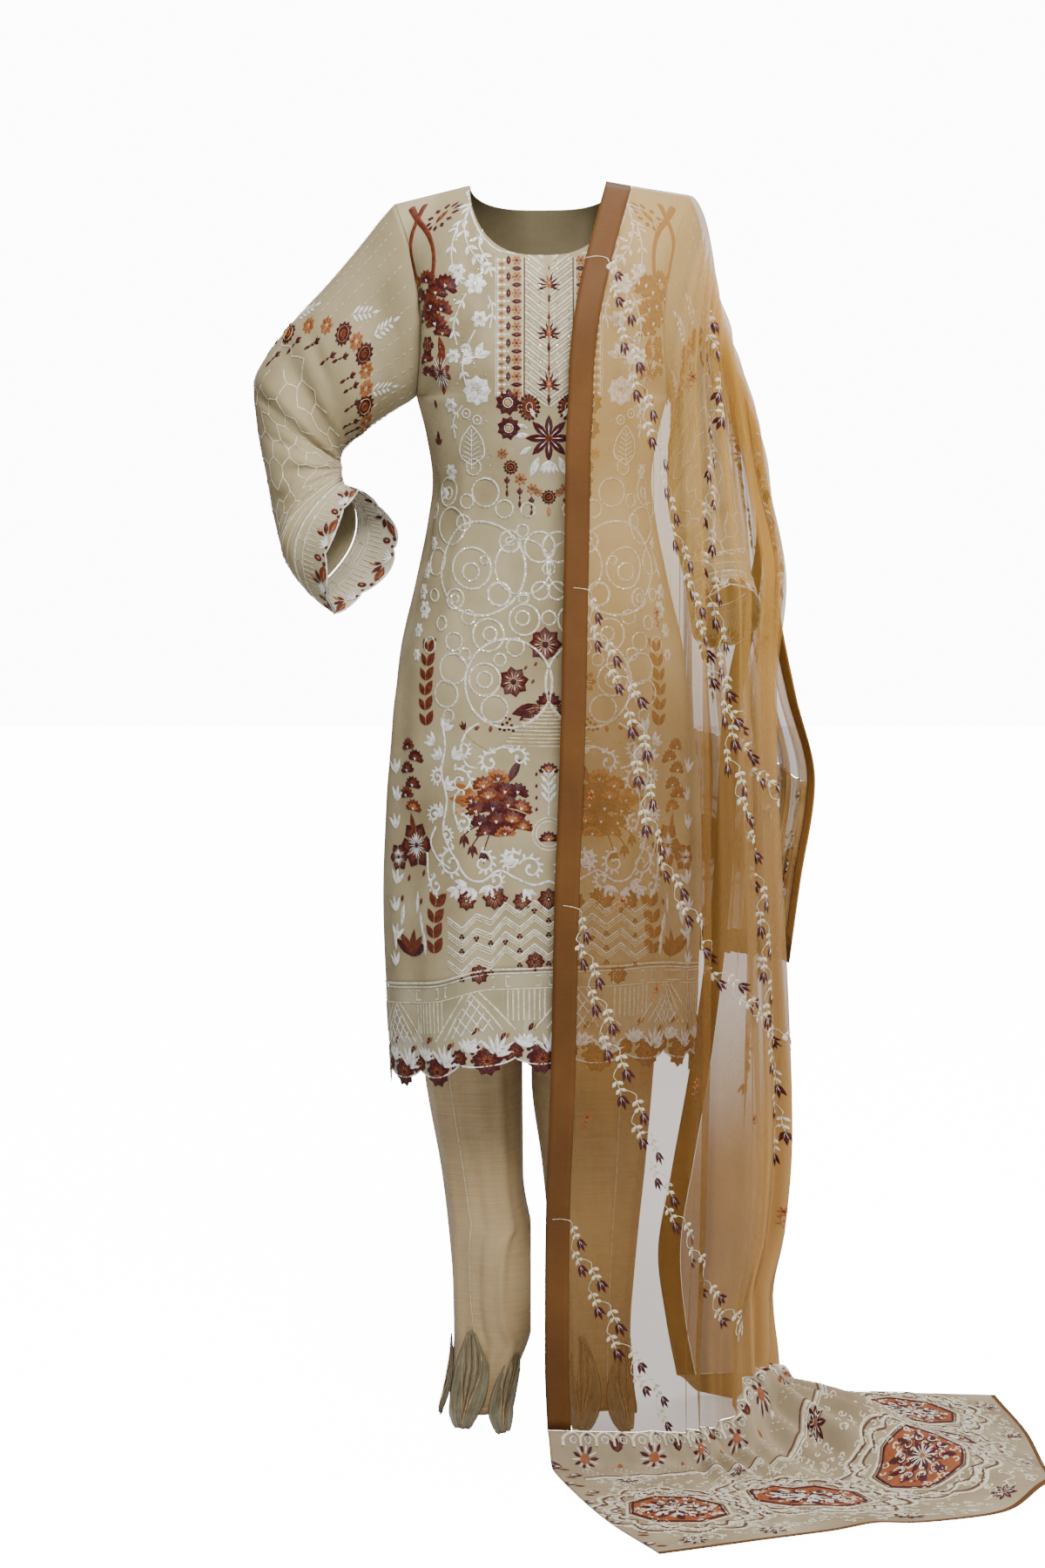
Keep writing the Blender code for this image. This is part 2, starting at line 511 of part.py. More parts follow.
def edge_share(fall, front, end):
    """Share of the gathered width that the strip at one edge needs to keep its own width."""
    here = np.full_like(fall, end)
    level = ridge_z(here) + (foot_level(here, front) - ridge_z(here)) * fall
    rows = front_rows if front else back_rows
    table_level = FRONT_FOOT + (level - foot_level(here, front)) if front else level
    inside = np.full_like(fall, abs(end - RIDGE_STRIP))
    x_end, y_end = across_curve(rows, here, table_level)
    x_in, y_in = across_curve(rows, inside, table_level)
    length = np.hypot(x_end - x_in, y_end - y_in)
    needed = np.clip(RIDGE_STRIP * STRIP_WIDTH / length, 0.03, 0.12)
    return RIDGE_STRIP + (needed - RIDGE_STRIP) * smooth(fall / 0.25)


def gathered_share(across, fall, front):
    """Share of the section at which the cloth's own place across lies."""
    near = edge_share(fall, front, 0.0)
    far = edge_share(fall, front, 1.0)
    inner = (across - STRIP_SHARE) / (1.0 - 2.0 * STRIP_SHARE)
    share = near + (1.0 - near - far) * inner
    share = np.where(across < STRIP_SHARE, near * across / STRIP_SHARE, share)
    return np.where(across > 1.0 - STRIP_SHARE, 1.0 - far * (1.0 - across) / STRIP_SHARE, share)


def drop_point(across, fall, front):
    """Point of a drop; across runs over the cloth, fall from 0 on the ridge to 1 at the foot."""
    across, fall = np.broadcast_arrays(np.asarray(across, float), np.asarray(fall, float))
    share = gathered_share(across, fall, front)
    top = ridge_z(share)
    foot = foot_level(share, front)
    level = top + (foot - top) * fall
    rows = front_rows if front else back_rows
    table_level = FRONT_FOOT + (level - foot) if front else level
    x, y = across_curve(rows, share, table_level)
    reach = 0.235 - 0.135 * smooth((share - 0.25) / 0.35)
    near = np.clip((top - level) / reach, 0.0, 1.0)
    edge = 1.0 - smooth(share / 0.12) if front else 0.0
    power = 3.0 - 0.4 * edge
    root = 0.6 + 0.06 * edge
    out = (1.0 - (1.0 - near) ** power) ** root
    aside = np.sin(0.5 * math.pi * near)
    x = ridge_x(share) + (x - ridge_x(share)) * aside
    y = ridge_y(share) + (y - ridge_y(share)) * out
    # gathers: waves square to the section
    eps = 0.004
    x_next, y_next = across_curve(rows, np.clip(share + eps, 0, 1), table_level)
    x_back, y_back = across_curve(rows, np.clip(share - eps, 0, 1), table_level)
    run_x = x_next - x_back
    run_y = y_next - y_back
    size = np.maximum(np.hypot(run_x, run_y), 1e-9)
    count = FRONT_FOLDS if front else BACK_FOLDS
    length = size / (2.0 * eps * count)
    depth = (front_depth_of_folds if front else back_depth_of_folds)(level)
    depth = np.minimum(depth, FOLD_STEEPNESS * length)
    window = smooth((across - 0.05) / 0.30) * smooth((0.95 - across) / 0.10) * smooth(fall / 0.15)
    phase = 2.0 * math.pi * count * (across - 0.06) + 0.9 * np.sin(7.0 * across + 2.2 * level)
    wave = depth * window * np.sin(phase)
    sign = 1.0 if front else -1.0
    x = x + sign * run_y / size * wave
    y = y - sign * run_x / size * wave
    gap = 0.5 * SEAM_GAP * (1.0 - smooth(fall / 0.05))
    y = y - sign * gap
    return stack(x, y, level)


start_rise = curve(*zip(*PALLU_START_RISE))
near_x, near_y = table_curves(PALLU_NEAR)
far_x, far_y = table_curves(PALLU_FAR)
end_x, end_y = table_curves(PALLU_END)
fold_place, fold_height, fold_left, fold_right = table_curves(PALLU_FOLD)


def pallu_point(share, run):
    """Point of the pallu on the floor; run goes from 0 at the drop's foot to 1 at the end edge."""
    share, run = np.broadcast_arrays(np.asarray(share, float), np.asarray(run, float))
    start = drop_point(share, np.ones_like(share), True) - np.array([0.0, 0.0, SEAM_GAP])
    corner = [drop_point(np.float64(s), np.float64(1.0), True) for s in (0.0, 1.0)]
    points = []
    for axis, near, far, end in ((0, near_x, far_x, end_x), (1, near_y, far_y, end_y)):
        sides = (1 - share) * near(run) + share * far(run)
        ends = (1 - run) * start[..., axis] + run * end(share)
        corners = ((1 - share) * ((1 - run) * corner[0][axis] + run * end(np.float64(0.0)))
                   + share * ((1 - run) * corner[1][axis] + run * end(np.float64(1.0))))
        points.append(sides + ends - corners)
    apart = share - fold_place(run)
    half = np.where(apart < 0, fold_left(run), fold_right(run))
    hump = fold_height(run) * bump(apart / half) * smooth(run / 0.10)
    falling = start[..., 2] * (1.0 - smooth(run / (0.02 + 3.0 * start[..., 2])))
    ripple = 0.006 * bump((share - 0.27) / 0.05) * smooth((run - 0.6) / 0.4)
    lying = PALLU_WALL + hump + ripple
    apart = falling - lying
    level = 0.5 * (falling + lying + np.sqrt(apart * apart + (0.008 * smooth(run / 0.05)) ** 2))
    return stack(points[0], points[1], level)


def on_facets(surface, us, vs, u, v):
    """Points on the straight facets that a surface has between the places us and vs."""
    us = np.asarray(us, float)
    vs = np.asarray(vs, float)
    i = np.clip(np.searchsorted(us, u, side="right") - 1, 0, len(us) - 2)
    j = np.clip(np.searchsorted(vs, v, side="right") - 1, 0, len(vs) - 2)
    a = ((u - us[i]) / (us[i + 1] - us[i]))[..., None]
    b = ((v - vs[j]) / (vs[j + 1] - vs[j]))[..., None]
    low = (1.0 - a) * surface(us[i], vs[j]) + a * surface(us[i + 1], vs[j])
    high = (1.0 - a) * surface(us[i], vs[j + 1]) + a * surface(us[i + 1], vs[j + 1])
    return (1.0 - b) * low + b * high


# ---------------------------------------------------------------- walls
def normals(surface, u, v, u_range, v_range):
    """Unit normals of a surface by small steps, one-sided at its edges."""
    step_u = NORMAL_STEP * (u_range[1] - u_range[0])
    step_v = NORMAL_STEP * (v_range[1] - v_range[0])
    along_u = (surface(np.clip(u + step_u, *u_range), v) - surface(np.clip(u - step_u, *u_range), v))
    along_v = (surface(u, np.clip(v + step_v, *v_range)) - surface(u, np.clip(v - step_v, *v_range)))
    normal = np.cross(along_u, along_v)
    return normal / np.maximum(np.linalg.norm(normal, axis=-1, keepdims=True), 1e-12)


def wall(name, surface, us, vs, thickness, finish, outward=1.0, closed=False, turn=None,
         u_range=None, v_range=None, chords=None, hang=None):
    """A closed cloth wall over the grid of us and vs.

    With chords, the wall follows the straight facets between those places across, so that it
    meets the neighbour that has them as columns. With hang, v is changed first, for a scallop.
    """
    u, v = np.meshgrid(np.asarray(us, float), np.asarray(vs, float))
    u_range = u_range or ((-9.0, 9.0) if closed else (us[0], us[-1]))
    v_range = v_range or (vs[0], vs[-1])
    if hang is not None:
        v = hang(u, v)

    def skins(u, v):
        outer = surface(u, v)
        normal = outward * normals(surface, u, v, u_range, v_range)
        if turn is not None:
            normal = turn(normal, u, v)
            normal = normal / np.linalg.norm(normal, axis=-1, keepdims=True)
        return np.concatenate([outer, outer - thickness * normal], axis=-1)

    if chords is None:
        both = skins(u, v)
    else:
        chords = np.asarray(chords, float)
        k = np.clip(np.searchsorted(chords, u, side="right") - 1, 0, len(chords) - 2)
        part = ((u - chords[k]) / (chords[k + 1] - chords[k]))[..., None]
        both = (1.0 - part) * skins(chords[k], v) + part * skins(chords[k + 1], v)
    outer = both[..., :3]
    inner = both[..., 3:]
    rows, columns = u.shape
    points = np.concatenate([outer.reshape(-1, 3), inner.reshape(-1, 3)])
    half = rows * columns
    faces = []
    spans = columns if closed else columns - 1
    for i in range(rows - 1):
        for j in range(spans):
            a = i * columns + j
            b = i * columns + (j + 1) % columns
            c = b + columns
            d = a + columns
            faces.append((a, b, c))
            faces.append((a, c, d))
            faces.append((half + c, half + b, half + a))
            faces.append((half + d, half + c, half + a))
    for j in range(spans):
        a = j
        b = (j + 1) % columns
        faces.append((b, a, half + a, half + b))
        a = (rows - 1) * columns + j
        b = (rows - 1) * columns + (j + 1) % columns
        faces.append((a, b, half + b, half + a))
    if not closed:
        for i in range(rows - 1):
            a = i * columns
            b = a + columns
            faces.append((a, b, half + b, half + a))
            a = i * columns + columns - 1
            b = a + columns
            faces.append((b, a, half + a, half + b))
    return add_object(name, points, faces, finish)


def add_object(name, points, faces, finish):
    """A smooth-shaded object whose faces point out."""
    volume = 0.0
    for face in faces:
        for k in range(1, len(face) - 1):
            volume += np.dot(points[face[0]], np.cross(points[face[k]], points[face[k + 1]]))
    if volume < 0:
        faces = [tuple(reversed(face)) for face in faces]
    mesh = bpy.data.meshes.new(name)
    mesh.from_pydata([tuple(point) for point in points], [], faces)
    mesh.materials.append(material(finish))
    mesh.shade_smooth()
    mesh.set_sharp_from_angle(angle=math.radians(50))
    piece = bpy.data.objects.new(name, mesh)
    bpy.context.scene.collection.objects.link(piece)
    piece.parent = bpy.data.objects["wearer_shoulders"]
    return piece


def material(finish):
    """The Principled material of one finish."""
    found = bpy.data.materials.get(finish)
    if found:
        return found
    made = bpy.data.materials.new(finish)
    made.use_nodes = True
    shader = made.node_tree.nodes["Principled BSDF"]
    red, green, blue, roughness = FINISH[finish]
    shader.inputs["Base Color"].default_value = (red, green, blue, 1.0)
    shader.inputs["Roughness"].default_value = roughness
    shader.inputs["Metallic"].default_value = 0.0
    return made


# ---------------------------------------------------------------- pieces
# places across a panel, with one on each neck point and on every second place of the hem lace
PANEL_COLUMNS = np.linspace(-1.0, 1.0, 2 * HEM_SCALLOPS + 1)
SLEEVE_COLUMNS = np.arange(SLEEVE_SIDES + 1) / float(SLEEVE_SIDES)
# places across the dupatta's net in front and behind; the pallu has those of the front
FRONT_COLUMNS = np.concatenate([[STRIP_SHARE, 0.085, 0.135],
                                np.linspace(0.18, 1.0 - STRIP_SHARE, 30)])
BACK_COLUMNS = np.concatenate([[STRIP_SHARE, 0.09], np.linspace(0.15, 1.0 - STRIP_SHARE, 24)])


def yoke_levels(count):
    """Levels over the yoke, closer together at both ends."""
    steps = np.arange(1, count + 1) / count
    return UNDERARM_LEVEL + (NECK_POINT_LEVEL - UNDERARM_LEVEL) * 0.5 * (1 - np.cos(math.pi * steps))


def square_to_side_seam(normal, u, v):
    """At the side and shoulder seams the rim lies in the seam's plane."""
    at_side = (np.abs(u) > 0.999) & (v <= UNDERARM_LEVEL)
    at_shoulder = (v > NECK_POINT_LEVEL - 1e-6) & (np.abs(u) >= NECK_SHARE - 1e-6)
    normal = np.where(at_side[..., None], normal * np.array([1.0, 0.0, 1.0]), normal)
    across_seam = stack(shoulder_slope(u) * np.sign(u), 0.0, 1.0)
    normal = np.where(at_shoulder[..., None], across_seam, normal)
    # at the armhole it points away from the body, the more so near the underarm
    away = np.sign(u) * np.maximum(np.sign(u) * normal[..., 0], 0.0)
    lifted = stack(away, normal[..., 1], normal[..., 2])
    mix = smooth((v - UNDERARM_LEVEL) / ARMHOLE_TURN)[..., None]
    lifted = mix * lifted + (1.0 - mix) * stack(np.sign(u), 0.0, 0.0)
    at_armhole = (np.abs(u) > 0.999) & (v > UNDERARM_LEVEL) & ~at_shoulder
    return np.where(at_armhole[..., None], lifted, normal)


def make_kameez():
    top_of_lace = HEM_LEVEL + HEM_LACE
    for name, facing, low_rows in (
            ("kameez_front", -1.0, 13), ("kameez_back", 1.0, 8)):
        low = np.linspace(top_of_lace + SEAM_GAP, UNDERARM_LEVEL, low_rows + 1)
        levels = np.concatenate([low, yoke_levels(YOKE_ROWS)])
        wall(name, lambda u, v, f=facing: kameez_point(u, v, f), PANEL_COLUMNS, levels,
             KAMEEZ_WALL, "kameez_net", outward=-facing, turn=square_to_side_seam,
             v_range=(0.0, NECK_POINT_LEVEL))

    def hang(u, v):
        drop = scallop(0.5 * (u + 1.0), HEM_SCALLOPS, HEM_SCALLOP_DEPTH)
        return v - drop * smooth((top_of_lace - 0.03 - v) / (HEM_LACE - 0.03))

    for name, facing in (("hem_lace_front", -1.0), ("hem_lace_back", 1.0)):
        wall(name, lambda u, v, f=facing: kameez_point(u, v, f),
             np.linspace(-1.0, 1.0, 4 * HEM_SCALLOPS + 1),
             np.linspace(HEM_LEVEL + HEM_SCALLOP_DEPTH, top_of_lace, 4), LACE_WALL, "white_lace",
             outward=-facing, turn=square_to_side_seam, v_range=(0.0, NECK_POINT_LEVEL),
             chords=PANEL_COLUMNS, hang=hang)


def square_to_arm(normal, u, v):
    """At the armhole the rim lies in the armhole's plane."""
    flat = np.where((v < 1e-6)[..., None], np.array([0.0, 1.0, 1.0]), 1.0)
    return normal * flat


def make_sleeves():
    for side, table, creases, seam in (
            ("right", RIGHT_SLEEVE, RIGHT_CREASES, SLEEVE_SEAM_RIGHT),
            ("left", LEFT_SLEEVE, LEFT_CREASES, SLEEVE_SEAM_LEFT)):
        outward = -1.0 if side == "right" else 1.0
        step = -SEAM_GAP if side == "right" else SEAM_GAP

        def tube(u, v, t=table, c=creases, s=step):
            return sleeve_point(t, c, u, v) + np.array([s, 0.0, 0.0])
        levels = np.linspace(0.0, seam - SEAM_GAP, 18)
        wall("sleeve_" + side, tube, SLEEVE_COLUMNS[:-1], levels, SLEEVE_WALL, "kameez_net",
             outward=outward, closed=True, turn=square_to_arm, v_range=(0.0, table[-1][0]))

        def hang(u, v, start=seam, end=table[-1][0]):
            drop = scallop(u, CUFF_SCALLOPS, CUFF_SCALLOP_DEPTH) - CUFF_SCALLOP_DEPTH
            return v + drop * smooth((v - start - 0.02) / (end - start - 0.02))
        wall("cuff_lace_" + side, lambda u, v, f=tube, c=CUFF_STEP[side]: f(u, v) + np.array(c),
             np.arange(4 * CUFF_SCALLOPS) / (4.0 * CUFF_SCALLOPS),
             np.linspace(seam, table[-1][0], 4), LACE_WALL, "white_lace",
             outward=outward, closed=True, v_range=(0.0, table[-1][0]),
             chords=SLEEVE_COLUMNS, hang=hang)


def leg_levels(hem):
    return np.concatenate([np.linspace(hem, 0.63, 11), [0.715, 0.73, 0.76, 0.82, 0.90],
                           [WAIST_LEVEL]])


def make_trousers():
    around = np.linspace(0.0, 1.0, 17)
    for name, table, side, hem in (("trouser_right", RIGHT_LEG, -1.0, RIGHT_HEM),
                                   ("trouser_left", LEFT_LEG, 1.0, LEFT_HEM)):
        def rim(normal, u, v):
            at_seam = (u < 1e-6) | (u > 1.0 - 1e-6)
            flat = np.where((at_seam & (v > 0.70))[..., None], np.array([0.0, 1.0, 1.0]), 1.0)
            return normal * flat
        wall(name, lambda u, v, t=table, s=side: leg_point(t, s, u, v), around, leg_levels(hem),
             TROUSER_WALL, "raw_silk", outward=side, turn=rim)

    _, half_width, _, middle, half_depth = RIGHT_LEG[-1]

    def band(u, v):
        turn = 2.0 * math.pi * u
        return stack(half_width * np.cos(turn), middle + half_depth * np.sin(turn), v)
    wall("trouser_waistband", band, np.arange(24) / 24.0,
         [WAIST_LEVEL + SEAM_GAP, WAIST_LEVEL + WAISTBAND_DEPTH], TROUSER_WALL, "raw_silk",
         closed=True)
    legs = ((RIGHT_LEG, -1.0, leg_levels(RIGHT_HEM)), (LEFT_LEG, 1.0, leg_levels(LEFT_HEM)))
    for number, (leg, place, half, tip, length) in enumerate(PETALS):
        table, side, levels = legs[leg]

        def petal(u, v, t=table, s=side, rows=levels, p=place, h=half, low=tip, long=length):
            """u runs over the width, v from the tip up."""
            width = h * np.sin(math.pi * (0.10 + 0.56 * v ** 0.8))
            level = low + long * v
            on_leg = on_facets(lambda a, b: leg_point(t, s, a, b), around, rows, p + u * width,
                               np.maximum(level, rows[0]))
            on_leg[..., 2] = level
            ribs = 0.0012 * (1.0 - v) * (1.0 + np.cos(2.0 * math.pi * u))
            lift = PETAL_WALL + 0.0007 + 0.012 * (1.0 - v) ** 2 + ribs
            centre = stack(np.full_like(level, 0.5 * (t[1][1] + t[1][2])), np.zeros_like(level), level)
            ray = on_leg - centre
            ray[..., 2] = 0.0
            ray = ray / np.linalg.norm(ray, axis=-1, keepdims=True)
            return on_leg + ray * lift[..., None]
        wall("ankle_petal_%d" % (number + 1), petal, np.linspace(-1.0, 1.0, 5),
             np.linspace(0.0, 1.0, 5), PETAL_WALL, "petal_organza", outward=side)


def make_dupatta():
    seam = SEAM_GAP / DUPATTA_WIDTH
    near_strip = [0.0, STRIP_SHARE - seam]
    far_strip = [1.0 - STRIP_SHARE + seam, 1.0]
    fall = np.concatenate([[0.0, 0.012, 0.035, 0.07, 0.11], np.linspace(0.165, 1.0, 15)])

    def front(u, v):
        return drop_point(u, v, True)

    def back(u, v):
        return drop_point(u, v, False)

    def rim(normal, u, v):
        return normal * np.where((v < 1e-6)[..., None], np.array([1.0, 0.0, 1.0]), 1.0)

    whole = dict(u_range=(0.0, 1.0), v_range=(0.0, 1.0), turn=rim)
    wall("dupatta_front", front, FRONT_COLUMNS, fall, NET_WALL, "gold_net", outward=-1.0, **whole)
    wall("front_strip_near", front, near_strip, fall, SILK_WALL, "bronze_silk", outward=-1.0, **whole)
    wall("front_strip_far", front, far_strip, fall, SILK_WALL, "bronze_silk", outward=-1.0, **whole)
    start = (ridge_z(np.float64(0.5)) - BACK_PALLU_TOP) / (ridge_z(np.float64(0.5)) - BACK_END)
    band = 1.0 - BACK_END_BAND / (ridge_z(np.float64(0.5)) - BACK_END)
    drop = np.concatenate([[0.0, 0.015, 0.045, 0.09, 0.15],
                           np.linspace(0.22, start - 2.0 * SEAM_GAP, 7)])
    work = np.linspace(start, band - SEAM_GAP, 4)
    wall("dupatta_back", back, BACK_COLUMNS, drop, NET_WALL, "gold_net", outward=1.0, **whole)
    wall("back_strip_near", back, near_strip, np.concatenate([drop, work]), SILK_WALL,
         "bronze_silk", outward=1.0, **whole)
    wall("back_strip_far", back, far_strip, np.concatenate([drop, work]), SILK_WALL,
         "bronze_silk", outward=1.0, **whole)
    wall("back_pallu", back, BACK_COLUMNS, work, NET_WALL, "pallu_work", outward=1.0, **whole)
    wall("back_end_band", back, np.concatenate([[0.0], BACK_COLUMNS, [1.0]]), [band, 1.0], SILK_WALL,
         "bronze_silk", outward=1.0, **whole)


def make_pallu():
    shares = np.concatenate([[0.0], FRONT_COLUMNS, [1.0]])
    runs = np.concatenate([[0.0, 0.03, 0.07, 0.13], np.linspace(0.21, 0.985, 8)])

    wall("pallu", pallu_point, shares, runs, PALLU_WALL, "pallu_work", outward=-1.0,
         u_range=(0.0, 1.0), v_range=(0.0, 1.0))
    wall("pallu_piping", pallu_point, shares, [0.985 + SEAM_GAP, 1.0], PALLU_WALL, "bronze_silk",
         outward=-1.0, u_range=(0.0, 1.0), v_range=(0.0, 1.0))


def main():
    for old in list(bpy.data.objects):
        bpy.data.objects.remove(old, do_unlink=True)
    holder = bpy.data.objects.new("wearer_shoulders", None)
    holder.location = (0.0, 0.0, -SHOULDER_HEIGHT)
    bpy.context.scene.collection.objects.link(holder)
    make_kameez()
    make_sleeves()
    make_trousers()
    make_dupatta()
    make_pallu()


main()
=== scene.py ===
"""Looks of the salwar kameez suit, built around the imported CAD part.

The cloth shells lie on the surfaces of part.py, so its sizes, tables and surface functions are
repeated here. Inside the functions heights are measured from the floor, as they are there.
"""
import math

import bpy
import mathutils
import numpy as np
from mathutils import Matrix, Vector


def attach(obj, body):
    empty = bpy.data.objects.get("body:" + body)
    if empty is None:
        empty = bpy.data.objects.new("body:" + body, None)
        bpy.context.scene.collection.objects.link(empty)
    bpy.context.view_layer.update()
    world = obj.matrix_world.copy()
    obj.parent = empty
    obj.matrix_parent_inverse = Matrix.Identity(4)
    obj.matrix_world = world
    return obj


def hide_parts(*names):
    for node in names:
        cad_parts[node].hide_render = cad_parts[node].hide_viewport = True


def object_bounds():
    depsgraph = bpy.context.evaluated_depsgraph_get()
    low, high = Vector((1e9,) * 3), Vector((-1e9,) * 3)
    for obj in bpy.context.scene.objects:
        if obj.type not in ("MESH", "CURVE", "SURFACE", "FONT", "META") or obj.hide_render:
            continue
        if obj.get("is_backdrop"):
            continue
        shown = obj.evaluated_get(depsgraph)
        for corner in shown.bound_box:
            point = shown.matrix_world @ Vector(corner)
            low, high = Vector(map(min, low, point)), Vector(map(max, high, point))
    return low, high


# ---------------------------------------------------------------- driving sizes (metres)
SHOULDER_HEIGHT = 1.440        # origin above the floor
SEAM_GAP = 0.0004              # between two sewn pieces
PALLU_WALL = 0.0020
PETAL_WALL = 0.0010

NORMAL_STEP = 0.001            # share of a surface's range used to find its normals

# kameez
HEM_LEVEL = 0.455              # nominal height of the lace edge above the floor
HEM_LACE = 0.105               # depth of the hem lace
UNDERARM_LEVEL = 1.206
NECK_POINT_LEVEL = 1.442
NECK_HALF_WIDTH = 0.081
SHOULDER_TIP_X = 0.166
RIGHT_TIP_LEVEL = 1.421
LEFT_TIP_LEVEL = 1.4285        # this shoulder hangs less, under the dupatta
FRONT_NECK_DROP = 0.081
BACK_NECK_DROP = 0.026
SECTION_POWER = 2.4            # roundness of the body's cross section
HEM_SCALLOPS = 9               # over one panel
HEM_SCALLOP_DEPTH = 0.009
SLIT_TOP = 0.80
SLIT_OPENING = 0.016
YOKE_SPREAD = 0.028            # how much rounder the yoke is than the underarm section
CREASE_DEPTH = 0.0012          # of the shallow creases, inwards from the panels' main shape
THIGH_TURNS = 36.0             # radians of the folds beside the thighs, over half a panel
DRAG_TURNS = (84.0, 13.0)      # radians of the waist's drag lines: for a metre down, and across
NECK_SHARE = 4.0 / 9.0         # part of a panel's half width that ends at the neckline

# trousers
WAIST_LEVEL = 1.000
WAISTBAND_DEPTH = 0.032
RIGHT_HEM = 0.034
LEFT_HEM = 0.038

# dupatta
DUPATTA_WIDTH = 0.92
STRIP_WIDTH = 0.028
STRIP_SHARE = STRIP_WIDTH / DUPATTA_WIDTH
RIDGE_STRIP = 0.075            # share of the gathered width that a strip takes on the ridge
FRONT_FOLDS = 8                # gathers between the chest and the far edge
BACK_FOLDS = 6
FOLD_STEEPNESS = 0.14          # deepest gather as a share of its width

# ---------------------------------------------------------------- short tables
# body: height, half width, depth to the front, depth to the back
BODY = (
    (0.430, 0.171, 0.158, 0.148),
    (0.545, 0.177, 0.155, 0.144),
    (0.666, 0.181, 0.150, 0.140),
    (0.750, 0.178, 0.144, 0.136),
    (0.832, 0.170, 0.138, 0.130),
    (0.914, 0.162, 0.130, 0.121),
    (0.995, 0.144, 0.118, 0.104),
    (1.063, 0.130, 0.110, 0.090),
    (1.110, 0.124, 0.111, 0.087),
    (1.162, 0.131, 0.120, 0.096),
    (1.206, 0.142, 0.127, 0.106),
)
# hem: place across the panel (-1 to 1), rise over the nominal level
HEM_RISE = (
    (-1.00, -0.025), (-0.75, -0.018), (-0.45, -0.008), (-0.20, 0.011),
    (0.00, 0.013), (0.40, 0.015), (0.80, 0.003), (1.00, 0.000),
)
# soft folds of the kameez: place across, top, bottom, half width across, depth (out is positive)
KAMEEZ_FOLDS = (
    (-0.80, 0.96, 0.46, 0.10, 0.005),
    (-0.55, 0.84, 0.46, 0.09, -0.005),
    (-0.30, 0.92, 0.46, 0.11, 0.004),
    (0.02, 0.80, 0.46, 0.10, -0.004),
    (0.30, 0.90, 0.46, 0.11, 0.004),
    (0.58, 0.82, 0.46, 0.09, -0.005),
    (0.82, 0.95, 0.46, 0.10, 0.005),
    (-0.78, 1.19, 1.00, 0.07, -0.004),
    (0.78, 1.19, 1.00, 0.07, -0.004),
    (-0.45, 1.20, 0.98, 0.08, 0.003),
    (0.45, 1.20, 0.98, 0.08, 0.003),
)
# sleeves: distance along, outer x and level, inner x and level, middle y,
# then the near side's and the far side's offset from the middle (x, y, level)
RIGHT_SLEEVE = (
    (0.000, -0.1660, 1.4210, -0.1420, 1.2060, 0.000, 0.017, -0.058, 0.0, 0.009, 0.050, 0.0),
    (0.025, -0.1820, 1.4030, -0.1500, 1.2000, 0.001, 0.012, -0.060, 0.0, 0.006, 0.055, 0.0),
    (0.060, -0.2030, 1.3770, -0.1710, 1.1880, 0.003, 0.008, -0.058, 0.0, 0.004, 0.060, 0.0),
    (0.110, -0.2400, 1.3340, -0.1970, 1.1700, 0.006, 0.000, -0.060, 0.0, 0.000, 0.062, 0.0),
    (0.160, -0.2790, 1.2930, -0.2170, 1.1540, 0.010, 0.000, -0.060, 0.0, 0.000, 0.062, 0.0),
    (0.200, -0.3090, 1.2560, -0.2270, 1.1420, 0.012, 0.000, -0.058, 0.0, 0.000, 0.060, 0.0),
    (0.235, -0.3270, 1.2190, -0.2290, 1.1335, 0.010, 0.000, -0.056, 0.0, 0.000, 0.058, 0.0),
    (0.275, -0.3235, 1.1780, -0.2275, 1.1290, 0.004, 0.000, -0.055, 0.0, 0.003, 0.057, 0.0),
    (0.330, -0.3110, 1.1120, -0.2265, 1.1250, -0.008, -0.004, -0.055, 0.0, 0.008, 0.058, 0.0),
    (0.380, -0.3010, 1.0620, -0.2265, 1.1205, -0.020, -0.013, -0.054, 0.0, 0.015, 0.060, 0.0),
    (0.430, -0.2860, 1.0170, -0.2270, 1.1160, -0.032, -0.024, -0.053, 0.0, 0.023, 0.060, 0.0),
    (0.470, -0.2620, 0.9850, -0.2275, 1.1105, -0.040, -0.030, -0.052, 0.0, 0.031, 0.060, 0.0),
    (0.525, -0.2310, 0.9610, -0.2050, 1.1010, -0.050, -0.018, -0.055, 0.0, 0.055, 0.062, 0.0),
)
